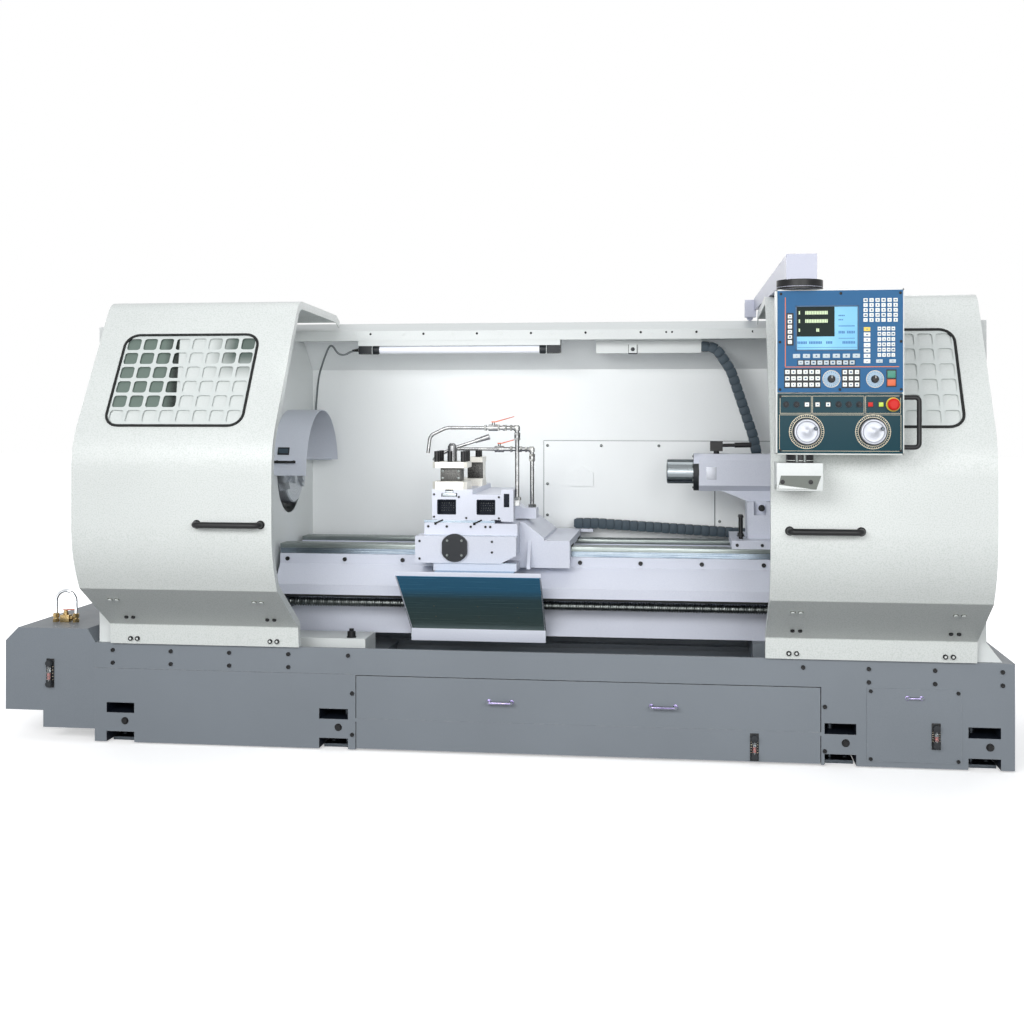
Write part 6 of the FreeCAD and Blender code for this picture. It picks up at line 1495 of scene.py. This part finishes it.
makeChain("lowerChain", [(80, 770.6), (165, 770.6), (790, 735), (880, 734), (880, 611), (300, 611)],
          [0, 0, 61, 61], 215, 262, "carriage", "lower_chain")
makeChain("upperChain", [(594, 1492), (650, 1490), (712, 1395), (800, 1130), (850, 870), (1032, 870),
                         (1030, 1180), (1030, 1430)],
          [60, 200, 300, 80, 80, 300], 94, 140, "door_right", "upper_chain")
print("bed, drive screw and chains drawn")


# chuck guard: a small dark plate with its window, and the grip strip

def makeGuardFittings():
    plate = {"box": ((-1031, -985), (-278.6, -273.8), (1064, 1094)), "tilt": -20,
             "middle": (-1008, -276.2, 1079),
             "window": ((-1027, -989), (-279.6, -278.2), (1070, 1088)),
             "grip": ((-1041, -953), (-304.2, -300.5), (1033, 1043))}
    turn = Matrix.Rotation(math.radians(plate["tilt"]), 3, "X")
    for name, box, soften, material, slot in (
            ("guardPlate", "box", 1, blackPlastic, "black_plastic"),
            ("guardPlateWindow", "window", 0.4, chainPlastic, "clear_tube")):
        bm = bmesh.new()
        addBox(bm, *plate[box], soften, turn, plate["middle"])
        finish(name, bm, material, "guard")
    boxPiece("guardGrip", [plate["grip"]], rubber, "guard", 1)
    brightHeads("guardScrews", [(x, -287, 1042.4) for x in (-1030, -964)], toTop, 4.4, roundHead, "guard")


# lamp: dark end brackets and sockets, with the bolts of the rail and of the rear cover

def makeLampFittings():
    lamp = {"y": 40, "z": 1482, "blocks": (-785.6, -18.4), "blockWide": 57, "sockets": (-728.4, -46.6),
            "socket": [(0, 0), (0, 17.6), (3, 18.6), (20, 18.6), (25, 16), (28, 16), (28, 14)]}
    bm = bmesh.new()
    for left in lamp["blocks"]:
        right = left + lamp["blockWide"]
        addBox(bm, (left, right), (21.4, 58.6), (1463.6, 1500), 3)
        addBox(bm, (left - 0.2, right + 0.2), (34, 46), (1496, 1518.4), 1)
    for x in lamp["sockets"]:
        addTurned(bm, (x, lamp["y"], lamp["z"]), toRight, lamp["socket"], 32)
    finish("lampEnds", bm, blackPlastic, "machine_frame")


def makeRailBolts():
    rail = (12, 1545)  # y, z
    spots = [((x, *rail), toFront, 4.8) for x in range(-733, 800, 218)]
    spots += [((x, *rail), toFront, 4) for x in (457, 480)]
    scatterShapes("railBolts", spots, roundHead, blackSatin, "machine_frame")
    places = [(184, 1090), (422, 1090), (-40, 1090), (-40, 930), (-40, 800), (670, 780), (670, 1090),
              (1020, 1090)]
    brightHeads("rearCoverScrews", [(x, 277, z) for x, z in places], toFront, 6.2, roundHead,
                "machine_frame")
    # clamp on the cable tray
    bm = bmesh.new()
    addBox(bm, (305, 341), (84, 91), (1462, 1500), 1.6)
    addRod(bm, (323, 85, 1481), toFront, 9, 5, 0.8, 6)
    finish("trayClamp", bm, blackPlastic, "machine_frame")


makeGuardFittings()
makeLampFittings()
makeRailBolts()


# side tank: return pipe with brass unions, valve and the sight gauges

def makeTankFittings():
    pipe = {"x": (-1874, -1794), "y": -400, "foot": 424, "top": 502, "thick": 12.4, "steps": 14}
    left, right = pipe["x"]
    middle, radius, y = (left + right) / 2, (right - left) / 2, pipe["y"]
    arc = [(middle - radius * math.cos(tau / 2 * k / pipe["steps"]), y,
            pipe["top"] + radius * math.sin(tau / 2 * k / pipe["steps"])) for k in range(pipe["steps"] + 1)]
    bm = bmesh.new()
    addTube(bm, [(left, y, pipe["foot"])] + arc + [(right, y, pipe["foot"])], pipe["thick"] / 2, 16)
    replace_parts(finish("tankPipe", bm, chrome, "machine_frame"), "tank_fittings")

    flange = [(0, 0), (0, 13.4), (12, 13.4), (13.4, 12)]
    collar = [(0, 9), (5, 9)]
    nut = [(0, 12), (1, 13), (13, 13), (15, 11), (16, 8)]
    bm = bmesh.new()
    for x in pipe["x"]:
        for z, profile, sides in ((422, flange, 6), (435, collar, 20), (440, nut, 6)):
            addTurned(bm, (x, y, z), toTop, profile, sides)
    addBox(bm, (-1853, -1817), (-414.6, -385.4), (422, 450), 2)
    addTurned(bm, (-1835, y, 450), toTop, [(0, 10), (8, 10), (9, 8), (14, 8), (18, 5)], 20)
    addTurned(bm, (-1817, y, 436), toRight, [(0, 0), (0, 10), (9, 10), (10, 8), (11, 8)], 6)
    finish("tankUnions", bm, brass, "machine_frame")
    boxPiece("tankValveLever", [((-1846, -1824), (-404, -396), (466.4, 470)),
                                ((-1829, -1788), (-403, -397), (468, 471.4))], leverOrange, "machine_frame",
             1)


def makeGauges():
    gauges = ((-1826, 253, 108, -546), (773, 60, 96, -550), (1388, 117, 90, -553))  # x, middle, height, face
    fit = {"half": 15, "endIn": 15, "glass": 6.4, "level": 4.6, "full": 0.55, "marks": 5,
           "end": [(0, 0), (0, 12.2), (13, 12.2), (14.2, 11), (18.2, 11), (18.6, 5), (18.6, 0)]}
    plate, ends, glass, level, marks = (bmesh.new() for _ in range(5))
    for x, middle, height, face in gauges:
        half = height / 2
        low, high = middle - half, middle + half
        addBox(plate, (x - fit["half"], x + fit["half"]), (face - 4, face + 0.3), (low, high), 1.2)
        for sign in (-1, 1):
            z = middle + sign * (half - fit["endIn"])
            addTurned(ends, (x, face - 3.6, z), toFront, fit["end"], 30)
            addBox(ends, (x - 10, x + 10), (face - 19, face - 4), sorted((z, z - sign * 16)), 2)
        addRod(glass, (x, face - 13, low + 22), toTop, fit["glass"], height - 44, 0.3, 20)
        addRod(level, (x, face - 13, low + 23), toTop, fit["level"], (height - 46) * fit["full"], 0.3, 16)
        for z in between(low + 30, high - 30, fit["marks"]):
            for sign in (-1, 1):
                addBox(marks, sorted((x + sign * 9, x + sign * 13)), (face - 4.5, face - 3.8),
                       (z - 0.5, z + 0.5))
    finish("gaugePlates", plate, blackSatin, "machine_frame")
    finish("gaugeEnds", ends, blackPlastic, "machine_frame")
    finish("gaugeGlass", glass, gaugeGlass, "machine_frame")
    finish("gaugeLevel", level, gaugeRed, "machine_frame")
    finish("gaugeMarks", marks, cream, "machine_frame")


makeTankFittings()
makeGauges()
print("guard, lamp and tank fittings drawn")


# carriage: cap of the cross screw, pocket linings, seams, clips and the shield's pale borders

saddle = {"front": -440, "cheek": -400, "capX": -308, "capZ": 732, "capRadius": 51.8, "capHalf": 46.8,
          "capDeep": 11.4, "capEdge": 1.2}


def onCircle(middle, radius, count, shift=0.0):
    # (x, z) places spread evenly round a middle
    return [(middle[0] + radius * math.cos(tau * (k + shift) / count),
             middle[1] + radius * math.sin(tau * (k + shift) / count)) for k in range(count)]


def makeCrossScrewCap():
    # a round cap with both sides cut flat
    x, z, half = saddle["capX"], saddle["capZ"], saddle["capHalf"]
    face = saddle["front"] - saddle["capDeep"]
    outline = [(max(x - half, min(x + half, across)), saddle["front"], upright)
               for across, upright in onCircle((x, z), saddle["capRadius"], 48)]
    bm = bmesh.new()
    addPrism(bm, outline, (0, -saddle["capDeep"], 0))
    outer = [edge for edge in bm.edges if all(vert.co.y < face + 0.4 for vert in edge.verts)]
    bmesh.ops.bevel(bm, geom=outer, offset=saddle["capEdge"], segments=2, affect="EDGES")
    addTurned(bm, (x, face + 0.1, z), toFront, [(-0.3, 25), (0.8, 25), (0.8, 27), (-0.3, 27)], 40, True)
    finish("crossScrewCap", bm, blackGloss, "carriage")
    places = [(across, face, upright) for across, upright in onCircle((x, z), 38, 4, 0.5)]
    brightHeads("crossScrewCapScrews", places, toFront, 4.6, capScrew, "carriage")


def makeSlidePockets():
    # linings, painted dark as shade, with a raised rim, and the uneven rows of studs seen in them
    pocket = {"columns": ((-380, -312), (-232, -165)), "z": (852, 905), "back": (-379, -376.4),
              "rimOut": 1.5, "rimIn": 3, "rimY": (-401.4, -377)}
    stud = {"columns": 6, "rows": 4, "across": 8.6, "up": 9, "shift": 2, "middle": 878.5}
    low, high = pocket["z"]
    outer, inner = pocket["rimOut"], pocket["rimIn"]
    lining, spots = bmesh.new(), []
    for left, right in pocket["columns"]:
        addBox(lining, (left + 0.4, right - 0.4), pocket["back"], (low + 0.4, high - 0.4))
        for x, z in (((left - outer, left + inner), (low, high)),
                     ((right - inner, right + outer), (low, high)),
                     ((left, right), (low - outer, low + inner)),
                     ((left, right), (high - inner, high + outer))):
            addBox(lining, x, pocket["rimY"], z, 0.8)
        for column in range(stud["columns"]):
            for line in range(stud["rows"]):
                x = (left + right) / 2 + (column - 2.5) * stud["across"] + line % 2 * stud["shift"]
                z = stud["middle"] + (line - 1.5) * stud["up"]
                size = (3 - (column + line) % 3 * 0.7, 2 + (column * line) % 2, 6)
                spots.append(((x, pocket["back"][0], z), toFront, size))
    addBox(lining, (-132, -111), (-400.9, -391), (879, 929), 1.4)
    finish("slidePocketLining", lining, pocketPaintedShade, "cross")
    scatterShapes("slidePocketStuds", spots, roundHead, screwSteel, "cross")


def makeSlideFittings():
    # tee nut at the pocket's head, and the slide's screws
    bm = bmesh.new()
    addBox(bm, (-362, -310), (-400.8, -380), (917, 929), 1.2)
    addBox(bm, (-350, -322), (-402, -390), (929, 938), 1)
    finish("slideTeeNut", bm, brushedBlock, "cross")
    places = [(-393, 925), (-393, 842), (-272, 838), (-150, 838), (-150, 916), (-300, 916)]
    blackHeads("slideScrews", [(x, saddle["cheek"], z) for x, z in places], toFront, 4, capScrew, "cross")


def makeSaddleSeams():
    boxPiece("saddleSeams", [((-430.5, -165.5), (-400.8, -390), (820.2, 829.6)),
                             ((-390.5, -80.5), (-430.8, -422), (673.2, 675.6)),
                             ((-430.4, -80.6), (-401, -398), (771.8, 774.4))], wayShade, "carriage")
    # clips under the slide, and wipers at both ends over both ways
    clips = bmesh.new()
    tilt = Matrix.Rotation(math.radians(-24), 3, "Y")
    for x in (-372, -226):
        addBox(clips, (x - 14, x + 14), (-405, -399), (822, 828), 1.2, tilt)
        addBox(clips, (x - 20, x - 12), (-404, -399), (812, 822), 1)
    for end in ((-467.5, -463), (102, 106.5)):
        for way in ((-262, -150), (48, 156)):
            addBox(clips, end, way, (714, 727), 1)
    finish("saddleClips", clips, rubber, "carriage")
    spots = [((x, saddle["cheek"], 806), toFront, 4.6) for x in (-415, -345, -255, -200, -182)]
    spots += [((x, saddle["front"], z), toFront, 4.4)
              for x, z in ((-440, 755), (-440, 690), (-170, 755), (-170, 716))]
    scatterShapes("saddleScrews", spots, capScrew, blackSatin, "carriage")


def makeShieldBorders():
    # the shield leans out from its foot to its top; borders and hem lie on its outer face
    top, foot, outward = Vector((0, -490, 632)), Vector((0, -240, 402)), Vector((0, -0.677, -0.736))
    border = {"wide": 4.6, "thick": 1.6, "lift": 1.4, "sides": ((-520.4, -511.2), (11.6, 2.4))}
    hem = {"start": Vector((0, -262, 422.2)), "top": (-512, 8), "foot": (-511, 7), "thick": 1.1}
    rivet = {"x": (-398, -232, -82), "shares": (0.55, 0.75), "lift": 1.8, "size": 3}

    def strip(bm, corners, thick):
        addPrism(bm, [corner + outward * border["lift"] for corner in corners], outward * thick)

    bm = bmesh.new()
    addBox(bm, (-520.6, 16.6), (-493.4, -487), (631.6, 647), 0.5)
    addBox(bm, (-511, 7), (-243.4, -239.8), (354.6, 401), 0.3)
    for topLeft, footLeft in border["sides"]:
        strip(bm, [top + alongX * topLeft, top + alongX * (topLeft + border["wide"]),
                   foot + alongX * (footLeft + border["wide"]), foot + alongX * footLeft], border["thick"])
    finish("shieldBorders", bm, castPaint, "carriage")
    bm = bmesh.new()
    strip(bm, [hem["start"] + alongX * hem["top"][0], hem["start"] + alongX * hem["top"][1],
               foot + alongX * hem["foot"][1], foot + alongX * hem["foot"][0]], hem["thick"])
    finish("shieldHem", bm, shieldPale, "carriage")
    places = [top + (foot - top) * share + alongX * (x - 8 * share) + outward * rivet["lift"]
              for x in rivet["x"] for share in rivet["shares"]]
    fasten("shieldRivets", places, outward, rivet["size"], roundHead, brass, "carriage")


makeCrossScrewCap()
makeSlidePockets()
makeSlideFittings()
makeSaddleSeams()
makeShieldBorders()


# tool post cores, coolant unions

def makePostCores():
    boxPiece("postCores", [((-374.2, -297.8), (-373.2, -296.8), (972.4, 1022.8)),
                           ((-311, -249.4), (-135.8, -74.2), (972.4, 1034.6))], darkBlock, "cross",
             1.4)
    turnedPiece("postPins", [(x, -373, z) for x in (-366, -306) for z in (984, 1010)], toFront,
                [(0, 0), (0, 5), (1.4, 5), (2, 4), (2, 0)], screwSteel, "cross", 14)


def makeUnions():
    pipes = ((-87, -360, 903, 1172, -176), (-50, -200, 866, 1088, -150))  # x, y, foot, top, valve's x
    riser = [(0, 9.4), (3, 10.6), (16, 10.6), (20, 8), (20, 0)]
    elbow = [(0, 7), (4, 10.6), (16, 10.6), (19, 9)]
    bm = bmesh.new()

    def hexNut(place, direction, radius, length):
        addTurned(bm, place, direction, [(0, radius * 0.86), (1, radius), (length - 1, radius),
                                         (length, radius * 0.86)], 6)

    for x, y, foot, top, valve in pipes:
        hexNut((x, y, foot), toTop, 16, 12)
        for drop in (46, 27):
            hexNut((x, y, top - drop), toTop, 12.6, 9)
        for reach in (18, 38):
            hexNut((x - reach, y, top), toLeft, 12.6, 8)
        for reach in (24, -26):
            hexNut((valve + reach, y, top), toLeft, 13.6, 8)
        addTurned(bm, (x, y, top - 12), toTop, riser, 24)
        addTurned(bm, (x + 8, y, top), toLeft, elbow, 24)
    finish("coolantUnions", bm, pewter, "cross")


makePostCores()
makeUnions()


# tailstock: black wiper ring, bare plate, clamping nuts and studs

def makeTailstockFittings():
    tail = {"ringX": 562.6, "y": -50, "z": 998, "studs": (-181, -141), "studX": 740, "studFoot": 752,
            "plate": ((612, 650), (-122.2, -120.4), (972, 1020)), "footY": -245.2}
    turnedPiece("tailstockRing", [(tail["ringX"], tail["y"], tail["z"])], toRight,
                [(0, 49.5), (0, 70.6), (1.4, 72), (22, 72), (22, 49.5)], blackPlastic, "tailstock",
                56, True)
    places = [(tail["ringX"], y, z) for y, z in onCircle((tail["y"], tail["z"]), 60, 6, 0.5)]
    brightHeads("tailstockRingScrews", places, toLeft, 4.2, capScrew, "tailstock")
    boxPiece("tailstockPlate", [tail["plate"]], dialSatin, "tailstock", 0.6)
    spots = [((tail["studX"], y, z), toTop, size) for z, size in ((762, 12), (834, 9))
             for y in tail["studs"]]
    spots += [((818, -166, 868), toFront, 10)]
    scatterShapes("tailstockNuts", spots, hexHead, blackSatin, "tailstock")
    bm = bmesh.new()
    for y in tail["studs"]:
        addRod(bm, (tail["studX"], y, tail["studFoot"]), toTop, 7.6, 82, 0.6, 20)
    finish("tailstockStuds", bm, blackSatin, "tailstock")
    places = [(x, tail["footY"], 735) for x in (724, 816, 908)]
    blackHeads("tailstockFootScrews", places, toFront, 6, capScrew, "tailstock")


# ledge knob and the bolts in the foot pockets

pocketX = (-1550, -737, 1067, 1550)


def makeLedgeKnob():
    knob = [(0, 0), (0, 18), (4, 18), (5, 15.6), (22.4, 15.6), (23.4, 14), (23.4, 0)]
    bm = bmesh.new()
    addTurned(bm, (-710, -390, 385), toTop, knob, 30)
    addTurned(bm, (-710, -390, 408), toTop, [(0, 0), (0, 10), (9, 10), (10, 8.6), (10, 0)], 6)
    finish("ledgeKnob", bm, blackSatin, "machine_frame")
    blackHeads("anchorBolts", [(x + 18, frontFace["base"], 84) for x in pocketX], toFront, 11, hexHead,
               "machine_frame")


def makeRearCoverGapShade():
    # grey strips of painted shadow in the gaps round the two bolted panels: both sides and the top
    gap = {"wide": 2.2, "y": (279.4, 283), "z": (749, 1111), "panels": ((-57, 651), (651, 1041))}
    rows = []
    for panelX in gap["panels"]:
        _, top, left, right = rim(panelX, gap["z"], gap["wide"])
        rows += [(x, gap["y"], z) for x, z in (left, right, top)]
    boxPiece("rearCoverEdges", rows, leadSkin, "machine_frame")


makeTailstockFittings()
makeLedgeKnob()
makeRearCoverGapShade()
print("carriage, tailstock and ledge dressed")


# the back: louvres, latch, plates, seams and screws of the cabinet and the rear guard

rearFit = {"leaf": 550, "guard": 286, "seams": (-840, -340, 1080), "seamLow": 380, "seamHigh": 1403}
louvre = {"columns": (("Right", 300), ("Left", 560)), "rows": (("Low", 452), ("High", 1180)), "slats": 8,
          "pitch": 22, "half": 95, "profile": [(0, 0), (7, 2), (7.6, 4.4), (1.2, 15), (0, 15)]}  # (out, up)


def makeLouvres():
    # pressed slats, each leaning out from its cut
    bm = bmesh.new()
    addPrism(bm, [(-louvre["half"], out, up) for out, up in louvre["profile"]], (louvre["half"] * 2, 0, 0))
    slat = shapeHelper("louvreShape", bm)
    for side, x in louvre["columns"]:
        for level, z in louvre["rows"]:
            grow("louvres" + side + level, emptySource("louvresSource"), row,
                 {"Shape": slat, "Count": louvre["slats"], "Start": Vector((x, rearFit["leaf"], z)) * mm,
                  "Step": (0, 0, louvre["pitch"] * mm), "Material": cabinetPaint},
                 "cabinet_leaf", sharp=24)


def makeLatch():
    leaf = rearFit["leaf"]
    plate = {"x": (500, 640), "z": (1050, 1130), "thick": 1.2, "inset": 6}
    boxPiece("latchPlate", [((972, 992), (leaf, leaf + 4), (985, 1115))], blackSatin, "cabinet_leaf",
             1.5)
    turnedPiece("latchLocks", [(985, leaf, z) for z in (700, 1290)], toBack,
                [(0, 0), (0, 11), (3, 11), (4, 9.4), (4, 0)], pewter, "cabinet_leaf", 28)
    boxPiece("cabinetPlate", [(plate["x"], (leaf, leaf + plate["thick"]), plate["z"])], dialSatin,
             "cabinet_leaf", 0.4)
    (left, right), (low, high), inset = plate["x"], plate["z"], plate["inset"]
    places = [(x, leaf + plate["thick"], z) for x in (left + inset, right - inset)
              for z in (low + inset, high - inset)]
    brightHeads("cabinetPlateScrews", places, toBack, 2.6, roundHead, "cabinet_leaf")


def makeGuardSeams():
    # butt joints of the rear sheets, a screw line on both sides of two of them and one along the foot
    guard = rearFit["guard"]
    upright = (rearFit["seamLow"], rearFit["seamHigh"])
    seams = [((x - 1, x + 1), (guard - 1, guard + 0.6), upright) for x in rearFit["seams"]]
    boxPiece("rearGuardSeams", seams, leadSkin, "machine_frame")
    places = [(x + reach, guard, z) for x in rearFit["seams"][:2] for reach in (-18, 18)
              for z in range(430, 1400, 160)]
    places += [(x, guard, 394) for x in range(-1240, 1300, 160) if not 90 < x < 1050]
    brightHeads("rearGuardScrews", places, toBack, 5, roundHead, "machine_frame")


def makePocketLinings():
    # painted shade lining the unlit rooms over and under each foot ledge
    lining = {"half": 53, "thick": 0.6, "front": -548, "back": -401, "rooms": ((8, 44), (113, 151))}
    half, deep = lining["half"], (lining["front"], lining["back"])
    outer = half + lining["thick"]
    bm = bmesh.new()
    for x in pocketX:
        for low, high in lining["rooms"]:
            addBox(bm, (x - outer, x + outer), (lining["back"], lining["back"] + 0.8), (low, high - 0.4))
            addBox(bm, (x - outer, x - half), deep, (low, high - 1))
            addBox(bm, (x + half, x + outer), deep, (low, high - 1))
            addBox(bm, (x - outer, x + outer), deep, (high - 1, high - 0.4))
        addBox(bm, (x - half, x + half), deep, (113.2, 113.8))
    finish("pocketLinings", bm, pocketPaintedShade, "machine_frame")


makeLouvres()
makeLatch()
makePocketLinings()
makeGuardSeams()
print("back dressed")

for helper in helpers:
    bpy.data.objects.remove(helper)
